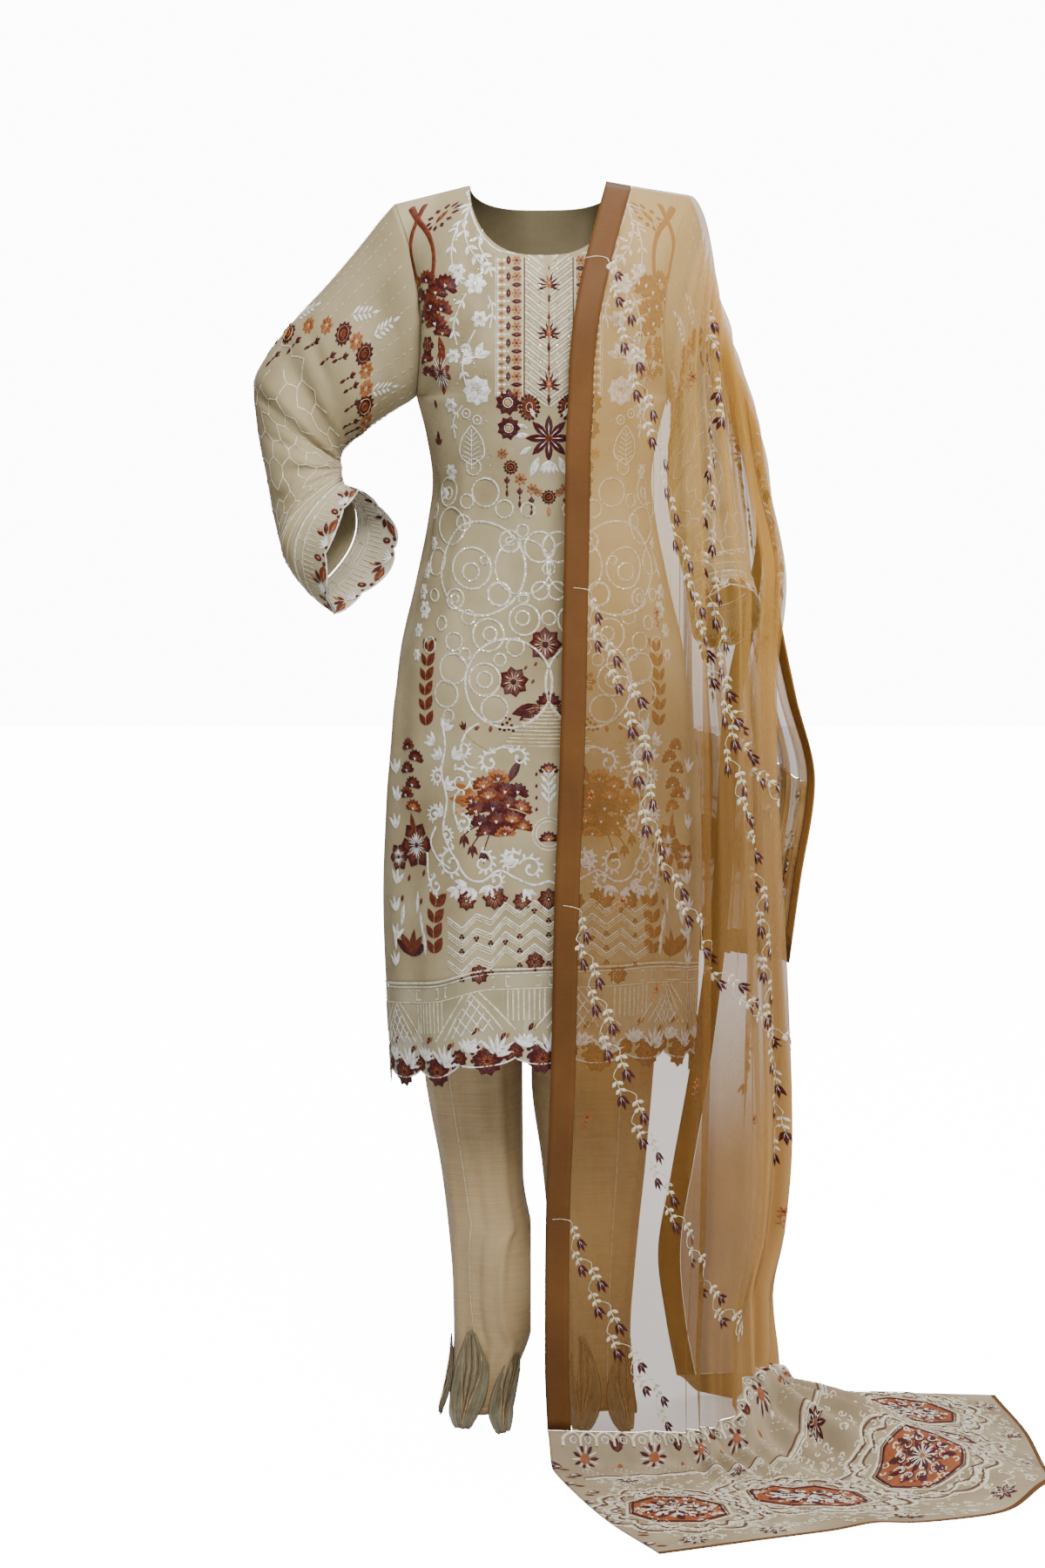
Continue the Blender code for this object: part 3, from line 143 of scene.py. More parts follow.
LEFT_SLEEVE = (
    (0.000, 0.1660, 1.4285, 0.1420, 1.2060, 0.000, -0.017, -0.058, 0.000, -0.009, 0.050, 0.000),
    (0.030, 0.1770, 1.4030, 0.1460, 1.1980, 0.001, -0.012, -0.057, 0.000, -0.006, 0.053, 0.000),
    (0.070, 0.1820, 1.3640, 0.1470, 1.1800, 0.002, -0.006, -0.054, 0.000, -0.003, 0.055, 0.000),
    (0.120, 0.1860, 1.3150, 0.1455, 1.1550, 0.003, 0.000, -0.052, 0.000, 0.000, 0.054, 0.000),
    (0.180, 0.1940, 1.2550, 0.1430, 1.1250, 0.004, 0.000, -0.052, 0.000, 0.000, 0.054, 0.000),
    (0.240, 0.2030, 1.1950, 0.1430, 1.0950, 0.004, 0.000, -0.053, 0.000, 0.000, 0.054, 0.000),
    (0.300, 0.2130, 1.1350, 0.1460, 1.0680, 0.002, 0.000, -0.054, 0.000, 0.000, 0.055, 0.000),
    (0.360, 0.2230, 1.0800, 0.1520, 1.0400, -0.002, 0.000, -0.055, 0.002, 0.000, 0.056, -0.004),
    (0.420, 0.2330, 1.0260, 0.1600, 1.0100, -0.006, 0.000, -0.057, 0.010, 0.000, 0.058, -0.014),
    (0.455, 0.2390, 0.9960, 0.1650, 0.9860, -0.009, 0.000, -0.060, 0.022, 0.000, 0.060, -0.026),
    (0.510, 0.2490, 0.9550, 0.1720, 0.9430, -0.013, 0.000, -0.067, 0.046, 0.000, 0.063, -0.032),
)
SLEEVE_SEAM_RIGHT = 0.470      # where the cuff lace starts, along each sleeve
SLEEVE_SEAM_LEFT = 0.455
# how far the right cuff stands off along the forearm, as its seam is narrow on the inner side
CUFF_STEP = {"right": (0.0005, -0.0003, -0.0002), "left": (0.0, 0.0, 0.0)}
SLEEVE_SIDES = 16              # facets round a sleeve
CUFF_SCALLOPS = SLEEVE_SIDES // 2
CUFF_SCALLOP_DEPTH = 0.006
# sleeve creases: distance along, place round (0 to 1), half length, half width round, depth
RIGHT_CREASES = (
    (0.185, 0.20, 0.020, 0.16, -0.008),
    (0.222, 0.26, 0.018, 0.20, 0.006),
    (0.262, 0.30, 0.020, 0.17, -0.006),
    (0.305, 0.33, 0.020, 0.13, 0.006),
    (0.380, 0.20, 0.022, 0.12, -0.007),
    (0.425, 0.22, 0.020, 0.12, 0.004),
    (0.210, 0.74, 0.022, 0.16, -0.007),
    (0.255, 0.70, 0.022, 0.14, 0.005),
    (0.060, 0.22, 0.050, 0.07, -0.006),
    (0.110, 0.40, 0.040, 0.07, 0.004),
)
LEFT_CREASES = (
    (0.180, 0.25, 0.020, 0.14, -0.006),
    (0.225, 0.30, 0.018, 0.14, 0.005),
    (0.260, 0.28, 0.018, 0.12, -0.005),
    (0.080, 0.22, 0.050, 0.07, -0.005),
    (0.330, 0.72, 0.024, 0.14, -0.005),
)
# small wrinkles of both sleeves, which only these looks have; given like the creases
WRINKLES = (
    (0.150, 0.20, 0.012, 0.12, -0.004), (0.172, 0.30, 0.010, 0.12, 0.003),
    (0.240, 0.12, 0.012, 0.10, -0.005), (0.246, 0.36, 0.012, 0.12, -0.004),
    (0.285, 0.20, 0.012, 0.14, -0.005), (0.322, 0.24, 0.014, 0.10, -0.005),
    (0.345, 0.34, 0.016, 0.10, 0.004), (0.356, 0.14, 0.014, 0.09, -0.005),
    (0.402, 0.30, 0.014, 0.10, -0.005), (0.090, 0.30, 0.022, 0.05, -0.004),
    (0.240, 0.86, 0.014, 0.14, -0.005), (0.300, 0.66, 0.014, 0.12, -0.005),
)
# legs: level, outer x, inner x, middle y, half depth (inner x past the centre seam is cut there)
RIGHT_LEG = (
    (0.020, -0.1080, -0.0420, 0.004, 0.047),
    (0.072, -0.1060, -0.0300, 0.003, 0.048),
    (0.115, -0.1020, -0.0140, 0.001, 0.050),
    (0.181, -0.1030, 0.0000, -0.002, 0.055),
    (0.248, -0.1080, -0.0110, -0.004, 0.059),
    (0.310, -0.1150, -0.0210, -0.006, 0.062),
    (0.440, -0.1360, -0.0220, -0.006, 0.070),
    (0.550, -0.1420, -0.0180, -0.004, 0.080),
    (0.640, -0.1460, -0.0150, -0.002, 0.088),
    (0.715, -0.1480, -0.0124, 0.000, 0.094),
    (0.780, -0.1480, 0.0240, 0.001, 0.100),
    (0.860, -0.1440, 0.0700, 0.002, 0.103),
    (0.930, -0.1320, 0.1000, 0.003, 0.097),
    (1.000, -0.1160, 0.1160, 0.0073, 0.085),
)
LEFT_LEG = (
    (0.020, 0.1000, 0.0270, 0.006, 0.047),
    (0.065, 0.1035, 0.0240, 0.005, 0.048),
    (0.131, 0.1040, 0.0200, 0.003, 0.051),
    (0.198, 0.1085, 0.0140, 0.000, 0.056),
    (0.250, 0.1130, 0.0080, -0.002, 0.059),
    (0.320, 0.1200, 0.0010, -0.004, 0.063),
    (0.430, 0.1290, -0.0120, -0.005, 0.070),
    (0.550, 0.1380, -0.0120, -0.004, 0.080),
    (0.640, 0.1430, -0.0115, -0.002, 0.088),
    (0.715, 0.1460, -0.0116, 0.000, 0.094),
    (0.780, 0.1460, -0.0400, 0.001, 0.100),
    (0.860, 0.1430, -0.0800, 0.002, 0.103),
    (0.930, 0.1320, -0.1000, 0.003, 0.097),
    (1.000, 0.1160, -0.1160, 0.0073, 0.085),
)
CENTRE_SEAM = ((0.715, -0.0120), (0.860, -0.0060), (1.000, 0.0))
# trouser folds: place round (0 to 1), top, bottom, half width round, depth
LEG_FOLDS = (
    (0.16, 0.70, 0.06, 0.030, 0.005),
    (0.27, 0.50, 0.10, 0.035, -0.005),
    (0.38, 0.62, 0.05, 0.035, 0.005),
    (0.62, 0.60, 0.06, 0.040, 0.005),
    (0.74, 0.52, 0.10, 0.035, -0.004),
    (0.86, 0.66, 0.06, 0.035, 0.004),
)
# ankle petals: leg (0 right, 1 left), place round, half width round, level of tip, length
PETALS = (
    (0, 0.1250, 0.071, 0.012, 0.105),
    (0, 0.3125, 0.071, 0.020, 0.115),
    (0, 0.5000, 0.071, 0.024, 0.095),
    (1, 0.1875, 0.071, 0.018, 0.110),
    (1, 0.3750, 0.071, 0.014, 0.105),
    (1, 0.5625, 0.071, 0.018, 0.095),
)
# the line over the shoulder and arm from which both dupatta drops hang: share of width, x, y, level
RIDGE = (
    (0.00, 0.072, 0.000, 1.4466),
    (0.12, 0.118, 0.000, 1.4386),
    (0.22, 0.151, 0.000, 1.4334),
    (0.27, 0.169, 0.000, 1.4300),
    (0.34, 0.184, 0.000, 1.4050),
    (0.45, 0.192, 0.000, 1.3700),
    (0.60, 0.201, 0.006, 1.3100),
    (0.80, 0.217, 0.018, 1.2300),
    (1.00, 0.232, 0.030, 1.1600),
)
STATIONS = (0.0, 0.20, 0.42, 0.60, 0.85, 1.0)
# front drop: level, then x and y at each of the six stations
FRONT_DROP = (
    (0.040, 0.006, -0.122, 0.085, -0.128, 0.180, -0.118, 0.246, -0.050, 0.262, 0.050, 0.165, 0.150),
    (0.120, 0.003, -0.130, 0.085, -0.136, 0.180, -0.118, 0.246, -0.040, 0.250, 0.050, 0.150, 0.120),
    (0.200, 0.003, -0.136, 0.085, -0.142, 0.184, -0.118, 0.264, -0.030, 0.260, 0.050, 0.140, 0.108),
    (0.300, 0.004, -0.146, 0.085, -0.150, 0.186, -0.118, 0.270, -0.030, 0.264, 0.050, 0.155, 0.100),
    (0.450, 0.009, -0.172, 0.085, -0.172, 0.186, -0.130, 0.264, -0.035, 0.258, 0.050, 0.180, 0.100),
    (0.650, 0.013, -0.178, 0.090, -0.174, 0.187, -0.130, 0.256, -0.040, 0.250, 0.040, 0.202, 0.085),
    (0.850, 0.020, -0.170, 0.092, -0.164, 0.184, -0.120, 0.250, -0.040, 0.254, 0.040, 0.212, 0.082),
    (0.960, 0.022, -0.164, 0.094, -0.156, 0.182, -0.122, 0.254, -0.054, 0.266, 0.030, 0.232, 0.078),
    (1.060, 0.024, -0.160, 0.096, -0.148, 0.180, -0.108, 0.236, -0.052, 0.254, -0.006, 0.247, 0.036),
    (1.147, 0.025, -0.157, 0.098, -0.144, 0.176, -0.098, 0.222, -0.056, 0.242, -0.010, 0.240, 0.020),
    (1.214, 0.028, -0.150, 0.100, -0.140, 0.172, -0.092, 0.210, -0.058, 0.228, -0.008, 0.232, 0.020),
    (1.440, 0.028, -0.146, 0.100, -0.136, 0.168, -0.086, 0.196, -0.058, 0.212, -0.008, 0.226, 0.020),
)
# back drop: the same for the part that hangs behind
BACK_DROP = (
    (0.520, 0.058, 0.172, 0.132, 0.177, 0.192, 0.168, 0.236, 0.150, 0.276, 0.112, 0.288, 0.070),
    (0.640, 0.058, 0.170, 0.133, 0.175, 0.196, 0.166, 0.246, 0.148, 0.290, 0.110, 0.303, 0.066),
    (0.760, 0.058, 0.164, 0.133, 0.167, 0.200, 0.158, 0.258, 0.136, 0.306, 0.100, 0.319, 0.062),
    (0.860, 0.060, 0.156, 0.134, 0.157, 0.194, 0.144, 0.244, 0.120, 0.282, 0.094, 0.296, 0.060),
    (0.960, 0.064, 0.144, 0.136, 0.140, 0.190, 0.126, 0.228, 0.102, 0.262, 0.088, 0.276, 0.062),
    (1.080, 0.068, 0.130, 0.137, 0.121, 0.185, 0.100, 0.216, 0.088, 0.246, 0.076, 0.262, 0.058),
    (1.206, 0.070, 0.124, 0.137, 0.114, 0.180, 0.089, 0.206, 0.070, 0.226, 0.058, 0.238, 0.046),
    (1.440, 0.070, 0.122, 0.135, 0.113, 0.174, 0.085, 0.198, 0.066, 0.214, 0.052, 0.230, 0.044),
)
FRONT_FOOT = 0.040             # level at which the front drop becomes the pallu
BACK_PALLU_TOP = 0.800         # the back drop's own pallu, and its end
BACK_END = 0.545
BACK_END_BAND = 0.030
# fold depth of the drops: level, depth in front, depth behind
FOLD_DEPTH = (
    (0.000, 0.003, 0.006), (0.120, 0.007, 0.006), (0.350, 0.010, 0.008), (0.700, 0.009, 0.009),
    (0.950, 0.006, 0.007), (1.150, 0.004, 0.005), (1.300, 0.002, 0.003), (1.450, 0.000, 0.000),
)
# pallu on the floor: its four sides, as share, x, y, level
PALLU_START_RISE = ((0.0, 0.0), (0.45, 0.0), (0.60, 0.050), (0.75, 0.040), (1.0, -0.012))
PALLU_NEAR = ((0.00, 0.006, -0.122), (0.14, 0.012, -0.158), (0.40, 0.034, -0.238),
              (0.70, 0.070, -0.342), (1.00, 0.121, -0.448))
PALLU_FAR = ((0.00, 0.165, 0.150), (0.20, 0.230, 0.160), (0.60, 0.390, 0.154), (1.00, 0.550, 0.141))
PALLU_END = ((0.00, 0.121, -0.448), (0.20, 0.290, -0.380), (0.46, 0.520, -0.300),
             (0.56, 0.562, -0.235), (0.78, 0.568, -0.050), (1.00, 0.550, 0.141))
# the raised fold across the pallu: share along, share across, height, half width to each side
PALLU_FOLD = ((0.00, 0.62, 0.060, 0.17, 0.20), (0.35, 0.58, 0.062, 0.11, 0.24),
              (0.70, 0.54, 0.040, 0.10, 0.24), (1.00, 0.51, 0.020, 0.08, 0.20))


# ---------------------------------------------------------------- curves
def smooth(value):
    """0 below 0, 1 above 1 and a soft step between."""
    value = np.clip(value, 0.0, 1.0)
    return value * value * (3.0 - 2.0 * value)


def curve(knots, values):
    """A cubic curve through values at rising knots that never overshoots them."""
    knots = np.asarray(knots, float)
    values = np.asarray(values, float)
    gap = np.diff(knots)
    slope = np.diff(values) / gap
    tangent = np.empty_like(values)
    tangent[0] = slope[0]
    tangent[-1] = slope[-1]
    before = slope[:-1]
    after = slope[1:]
    product = np.maximum(before * after, 0.0)
    total = np.abs(before + after) + 1e-12
    tangent[1:-1] = 2.0 * product / total * np.sign(before)

    def at(place):
        place = np.clip(place, knots[0], knots[-1])
        k = np.clip(np.searchsorted(knots, place, side="right") - 1, 0, len(gap) - 1)
        t = (place - knots[k]) / gap[k]
        rest = 1.0 - t
        ends = values[k] * (1 + 2 * t) * rest * rest + values[k + 1] * t * t * (3 - 2 * t)
        bends = gap[k] * (tangent[k] * t * rest * rest - tangent[k + 1] * t * t * rest)
        return ends + bends

    return at


def table_curves(table):
    """One curve for each column after the first, over the first column."""
    columns = list(zip(*table))
    return [curve(columns[0], column) for column in columns[1:]]


def bump(distance):
    """A soft round bump, 1 at 0 and almost 0 from 1 on."""
    return np.exp(-2.2 * distance * distance)


def stack(x, y, z):
    x, y, z = np.broadcast_arrays(x, y, z)
    return np.stack([x, y, z], axis=-1)


# ---------------------------------------------------------------- kameez
body_half_width, body_front, body_back = table_curves(BODY)
hem_rise, = table_curves(HEM_RISE)


def body_fold(across, level):
    """How far the soft folds move the kameez out."""
    total = 0.0
    for place, top, bottom, half, depth in KAMEEZ_FOLDS:
        fade = smooth((top - level) / 0.12) * smooth((level - bottom + 0.12) / 0.12)
        total = total + depth * fade * bump((across - place) / half)
    return total


def body_creases(across, level):
    """Shallow creases: folds beside the thighs, and drag lines over the waist."""
    size = np.abs(across)
    thigh = smooth((0.95 - level) / 0.25) * smooth((size - 0.30) / 0.35)
    hang = (1.0 + np.sin(THIGH_TURNS * across + 1.6 * np.sin(8.0 * level))) * thigh
    waist = bump((level - 1.03) / 0.17) * smooth((size - 0.15) / 0.35)
    down, aside = DRAG_TURNS
    drag = (1.0 + np.sin(down * level + aside * size + 1.2 * np.sin(9.0 * across))) * waist
    return -CREASE_DEPTH * smooth((1.0 - size) / 0.10) * (hang + drag)


def neckline(share, drop):
    """x and level of the neckline, share 0 at the centre and 1 at the neck point."""
    angle = 0.5 * math.pi * np.clip(share, 0.0, 1.0)
    x = NECK_HALF_WIDTH * np.sin(angle) ** 0.70
    return x, NECK_POINT_LEVEL - drop * np.cos(angle)


def shoulder_slope(x):
    """How steeply the shoulder line falls on the side of x."""
    tip = np.where(x > 0.0, LEFT_TIP_LEVEL, RIGHT_TIP_LEVEL)
    return (NECK_POINT_LEVEL - tip) / (SHOULDER_TIP_X - NECK_HALF_WIDTH)


def shoulder_level(x):
    """Level of the shoulder line above a place x."""
    return NECK_POINT_LEVEL - shoulder_slope(x) * (np.abs(x) - NECK_HALF_WIDTH)


def yoke_depth(x, level, depth):
    """How far the cloth stands from the shoulder plane above the underarm."""
    reach = np.clip(np.abs(x) / (body_half_width(UNDERARM_LEVEL) + YOKE_SPREAD), 0.0, 1.0)
    base = depth * (1.0 - reach ** SECTION_POWER) ** (1.0 / SECTION_POWER)
    top = shoulder_level(x)
    left = np.clip((level - UNDERARM_LEVEL) / (top - UNDERARM_LEVEL), 0.0, 1.0)
    side = smooth(np.abs(x) / 0.10)
    power = 1.6 + 1.4 * side
    root = 0.9 - 0.3 * side
    return base * (1.0 - left ** power) ** root


def kameez_point(across, level, facing):
    """Point of the front (facing -1) or back (+1) panel; across runs from -1 to 1."""
    across, level = np.broadcast_arrays(np.asarray(across, float), np.asarray(level, float))
    size = np.abs(across)
    depth_at = body_front if facing < 0 else body_back
    fade = 1.0 - smooth((level - 0.62) / 0.25)
    # below the underarm: round section
    low = np.minimum(level, UNDERARM_LEVEL)
    angle = 0.5 * math.pi * across
    round_out = (np.abs(np.sin(angle)) ** SECTION_POWER
                 + np.abs(np.cos(angle)) ** SECTION_POWER) ** (-1.0 / SECTION_POWER)
    fold = body_fold(across, level) + body_creases(across, low)
    half = body_half_width(low) + fold
    depth = depth_at(low) + fold
    x_low = half * round_out * np.sin(angle)
    y_low = depth * round_out * np.cos(angle)
    z_low = low + hem_rise(across if facing < 0 else -across) * fade
    # above it: the yoke, between underarm level and neckline or shoulder seam
    rise = np.clip((level - UNDERARM_LEVEL) / (NECK_POINT_LEVEL - UNDERARM_LEVEL), 0.0, 1.0)
    neck_x, neck_z = neckline(size / NECK_SHARE, FRONT_NECK_DROP if facing < 0 else BACK_NECK_DROP)
    part = np.clip((size - NECK_SHARE) / (1.0 - NECK_SHARE), 0.0, 1.0)
    seam_x = NECK_HALF_WIDTH + (SHOULDER_TIP_X - NECK_HALF_WIDTH) * part
    on_seam = size >= NECK_SHARE
    top_x = np.sign(across) * np.where(on_seam, seam_x, neck_x)
    top_z = np.where(on_seam, shoulder_level(top_x), neck_z)
    bow = 2.0 * np.sqrt(rise * (1.0 - rise))
    pull = (0.017 if facing < 0 else 0.009) * bow * bow * size ** 3
    x_high = x_low + (top_x - x_low) * rise - np.sign(across) * pull
    z_high = UNDERARM_LEVEL + (top_z - UNDERARM_LEVEL) * rise
    edge = (0.058 if facing < 0 else 0.050) * bow
    weight = size ** 8
    cloth = yoke_depth(x_high, z_high, depth_at(np.float64(UNDERARM_LEVEL)))
    blend = smooth(rise / 0.15)
    y_high = (1 - weight) * (y_low * (1 - blend) + cloth * blend) + weight * edge
    above = level > UNDERARM_LEVEL
    slit = 0.5 * SLIT_OPENING * smooth((SLIT_TOP - level) / 0.35) + 0.5 * SEAM_GAP
    x = np.where(above, x_high, x_low)
    y = np.where(above, y_high, y_low) + slit
    z = np.where(above, z_high, z_low)
    return stack(x, facing * y, z)


def scallop(across, count, depth):
    """How far a scalloped edge hangs below its line."""
    return depth * np.abs(np.sin(math.pi * count * across)) ** 0.7


# ---------------------------------------------------------------- sleeves
def sleeve_point(table, folds, around, along):
    """Point of a sleeve; around 0 is the outer side, 0.25 the near side, 0.5 the inner side."""
    out_x, out_z, in_x, in_z, mid_y, near_x, near_y, near_z, far_x, far_y, far_z = table_curves(table)
    turn = 2.0 * math.pi * around
    cosine = np.cos(turn)
    sine = np.sin(turn)
    near = sine > 0
    side = np.abs(sine)
    x = 0.5 * (out_x(along) + in_x(along)) + 0.5 * (out_x(along) - in_x(along)) * cosine
    z = 0.5 * (out_z(along) + in_z(along)) + 0.5 * (out_z(along) - in_z(along)) * cosine
    x = x + side * side * np.where(near, near_x(along), far_x(along))
    y = mid_y(along) + side * np.where(near, near_y(along), far_y(along))
    z = z + side * np.where(near, near_z(along), far_z(along))
    out = 0.0
    for place, round_place, half_long, half_round, depth in folds:
        apart = np.abs((around - round_place + 0.5) % 1.0 - 0.5)
        out = out + depth * bump((along - place) / half_long) * bump(apart / half_round)
    fade = smooth(along / 0.03) * smooth((table[-1][0] - along) / 0.05)
    centre_x = 0.5 * (out_x(along) + in_x(along))
    centre_z = 0.5 * (out_z(along) + in_z(along))
    ray = stack(x - centre_x, y - mid_y(along), z - centre_z)
    ray = ray / np.maximum(np.linalg.norm(ray, axis=-1, keepdims=True), 1e-9)
    return stack(x, y, z) + ray * (out * fade)[..., None]


# ---------------------------------------------------------------- trousers
centre_seam, = table_curves(CENTRE_SEAM)


def leg_point(table, side, around, level):
    """Point of a leg; around runs from the front edge over the outer side to the back edge."""
    outer, inner, mid_y, half_depth = table_curves(table)
    out = outer(level)
    centre = 0.5 * (out + inner(level))
    half = 0.5 * np.abs(out - inner(level))
    plane = centre_seam(level) + side * 0.5 * SEAM_GAP
    reach = np.clip(side * (plane - centre) / half, -0.9999, 0.0)
    limit = math.pi - np.arccos(-reach)
    turn = (2.0 * around - 1.0) * limit
    fold = 0.0
    for place, top, bottom, half_round, depth in LEG_FOLDS:
        fade = smooth((top - level) / 0.15) * smooth((level - bottom + 0.08) / 0.08)
        fold = fold + depth * fade * bump((around - place) / half_round)
    x = centre + side * (half + fold) * np.cos(turn)
    y = mid_y(level) + (half_depth(level) + fold) * np.sin(turn)
    x = np.where(level > CENTRE_SEAM[0][0], side * np.maximum(side * x, side * plane), x)
    return stack(x, y, level)


# ---------------------------------------------------------------- dupatta
ridge_x, ridge_y, ridge_z = table_curves(RIDGE)
front_depth_of_folds, back_depth_of_folds = table_curves(FOLD_DEPTH)


def across_curve(rows, share, level):
    """x and y of a drop's section at a level, through its stations."""
    at_level = [column(level) for column in rows]
    result = []
    for first in (0, 1):
        stations = np.stack(at_level[first::2], axis=-1)
        result.append(station_blend(share, stations))
    return result


def station_blend(share, values):
    """A smooth curve over the stations, where each point has its own station values."""
    knots = np.asarray(STATIONS)
    k = np.clip(np.searchsorted(knots, share, side="right") - 1, 0, len(knots) - 2)
    low = np.clip(k - 1, 0, len(knots) - 1)
    high = np.clip(k + 2, 0, len(knots) - 1)

    def pick(index):
        return np.take_along_axis(values, index[..., None], axis=-1)[..., 0]

    gap = knots[k + 1] - knots[k]
    start = (pick(k + 1) - pick(low)) / (knots[k + 1] - knots[low])
    end = (pick(high) - pick(k)) / (knots[high] - knots[k])
    t = (share - knots[k]) / gap
    rest = 1.0 - t
    value = pick(k) * (1 + 2 * t) * rest * rest + pick(k + 1) * t * t * (3 - 2 * t)
    return value + gap * (start * t * rest * rest - end * t * t * rest)


front_rows = table_curves(FRONT_DROP)
back_rows = table_curves(BACK_DROP)


def foot_level(share, front):
    """Level at which a drop ends."""
    return FRONT_FOOT + start_rise(share) if front else np.full_like(share, BACK_END)


def edge_share(fall, front, end):
    """Share of the gathered width that the strip at one edge needs to keep its own width."""
    here = np.full_like(fall, end)
    level = ridge_z(here) + (foot_level(here, front) - ridge_z(here)) * fall
    rows = front_rows if front else back_rows
    table_level = FRONT_FOOT + (level - foot_level(here, front)) if front else level
    inside = np.full_like(fall, abs(end - RIDGE_STRIP))
    x_end, y_end = across_curve(rows, here, table_level)
    x_in, y_in = across_curve(rows, inside, table_level)
    length = np.hypot(x_end - x_in, y_end - y_in)
    needed = np.clip(RIDGE_STRIP * STRIP_WIDTH / length, 0.03, 0.12)
    return RIDGE_STRIP + (needed - RIDGE_STRIP) * smooth(fall / 0.25)


def gathered_share(across, fall, front):
    """Share of the section at which the cloth's own place across lies."""
    near = edge_share(fall, front, 0.0)
    far = edge_share(fall, front, 1.0)
    inner = (across - STRIP_SHARE) / (1.0 - 2.0 * STRIP_SHARE)
    share = near + (1.0 - near - far) * inner
    share = np.where(across < STRIP_SHARE, near * across / STRIP_SHARE, share)
    return np.where(across > 1.0 - STRIP_SHARE, 1.0 - far * (1.0 - across) / STRIP_SHARE, share)


def drop_point(across, fall, front):
    """Point of a drop; across runs over the cloth, fall from 0 on the ridge to 1 at the foot."""
    across, fall = np.broadcast_arrays(np.asarray(across, float), np.asarray(fall, float))
    share = gathered_share(across, fall, front)
    top = ridge_z(share)
    foot = foot_level(share, front)
    level = top + (foot - top) * fall
    rows = front_rows if front else back_rows
    table_level = FRONT_FOOT + (level - foot) if front else level
    x, y = across_curve(rows, share, table_level)
    reach = 0.235 - 0.135 * smooth((share - 0.25) / 0.35)
    near = np.clip((top - level) / reach, 0.0, 1.0)
    edge = 1.0 - smooth(share / 0.12) if front else 0.0
    power = 3.0 - 0.4 * edge
    root = 0.6 + 0.06 * edge
    out = (1.0 - (1.0 - near) ** power) ** root
    aside = np.sin(0.5 * math.pi * near)
    x = ridge_x(share) + (x - ridge_x(share)) * aside
    y = ridge_y(share) + (y - ridge_y(share)) * out
    # gathers: waves square to the section
    eps = 0.004
    x_next, y_next = across_curve(rows, np.clip(share + eps, 0, 1), table_level)
    x_back, y_back = across_curve(rows, np.clip(share - eps, 0, 1), table_level)
    run_x = x_next - x_back
    run_y = y_next - y_back
    size = np.maximum(np.hypot(run_x, run_y), 1e-9)
    count = FRONT_FOLDS if front else BACK_FOLDS
    length = size / (2.0 * eps * count)
    depth = (front_depth_of_folds if front else back_depth_of_folds)(level)
    depth = np.minimum(depth, FOLD_STEEPNESS * length)
    window = smooth((across - 0.05) / 0.30) * smooth((0.95 - across) / 0.10) * smooth(fall / 0.15)
    phase = 2.0 * math.pi * count * (across - 0.06) + 0.9 * np.sin(7.0 * across + 2.2 * level)
    wave = depth * window * np.sin(phase)
    sign = 1.0 if front else -1.0
    x = x + sign * run_y / size * wave
    y = y - sign * run_x / size * wave
    gap = 0.5 * SEAM_GAP * (1.0 - smooth(fall / 0.05))
    y = y - sign * gap
    return stack(x, y, level)


start_rise = curve(*zip(*PALLU_START_RISE))
near_x, near_y = table_curves(PALLU_NEAR)
far_x, far_y = table_curves(PALLU_FAR)
end_x, end_y = table_curves(PALLU_END)
fold_place, fold_height, fold_left, fold_right = table_curves(PALLU_FOLD)


def pallu_point(share, run):
    """Point of the pallu on the floor; run goes from 0 at the drop's foot to 1 at the end edge."""
    share, run = np.broadcast_arrays(np.asarray(share, float), np.asarray(run, float))
    start = drop_point(share, np.ones_like(share), True) - np.array([0.0, 0.0, SEAM_GAP])
    corner = [drop_point(np.float64(s), np.float64(1.0), True) for s in (0.0, 1.0)]
    points = []
    for axis, near, far, end in ((0, near_x, far_x, end_x), (1, near_y, far_y, end_y)):
        sides = (1 - share) * near(run) + share * far(run)
        ends = (1 - run) * start[..., axis] + run * end(share)
        corners = ((1 - share) * ((1 - run) * corner[0][axis] + run * end(np.float64(0.0)))
                   + share * ((1 - run) * corner[1][axis] + run * end(np.float64(1.0))))
        points.append(sides + ends - corners)
    apart = share - fold_place(run)
    half = np.where(apart < 0, fold_left(run), fold_right(run))
    hump = fold_height(run) * bump(apart / half) * smooth(run / 0.10)
    falling = start[..., 2] * (1.0 - smooth(run / (0.02 + 3.0 * start[..., 2])))
    ripple = 0.006 * bump((share - 0.27) / 0.05) * smooth((run - 0.6) / 0.4)
    lying = PALLU_WALL + hump + ripple
    apart = falling - lying
    level = 0.5 * (falling + lying + np.sqrt(apart * apart + (0.008 * smooth(run / 0.05)) ** 2))
    return stack(points[0], points[1], level)


def on_facets(surface, us, vs, u, v):
    """Points on the straight facets that a surface has between the places us and vs."""
    us = np.asarray(us, float)
    vs = np.asarray(vs, float)
    i = np.clip(np.searchsorted(us, u, side="right") - 1, 0, len(us) - 2)
    j = np.clip(np.searchsorted(vs, v, side="right") - 1, 0, len(vs) - 2)
    a = ((u - us[i]) / (us[i + 1] - us[i]))[..., None]
    b = ((v - vs[j]) / (vs[j + 1] - vs[j]))[..., None]
    low = (1.0 - a) * surface(us[i], vs[j]) + a * surface(us[i + 1], vs[j])
    high = (1.0 - a) * surface(us[i], vs[j + 1]) + a * surface(us[i + 1], vs[j + 1])
    return (1.0 - b) * low + b * high


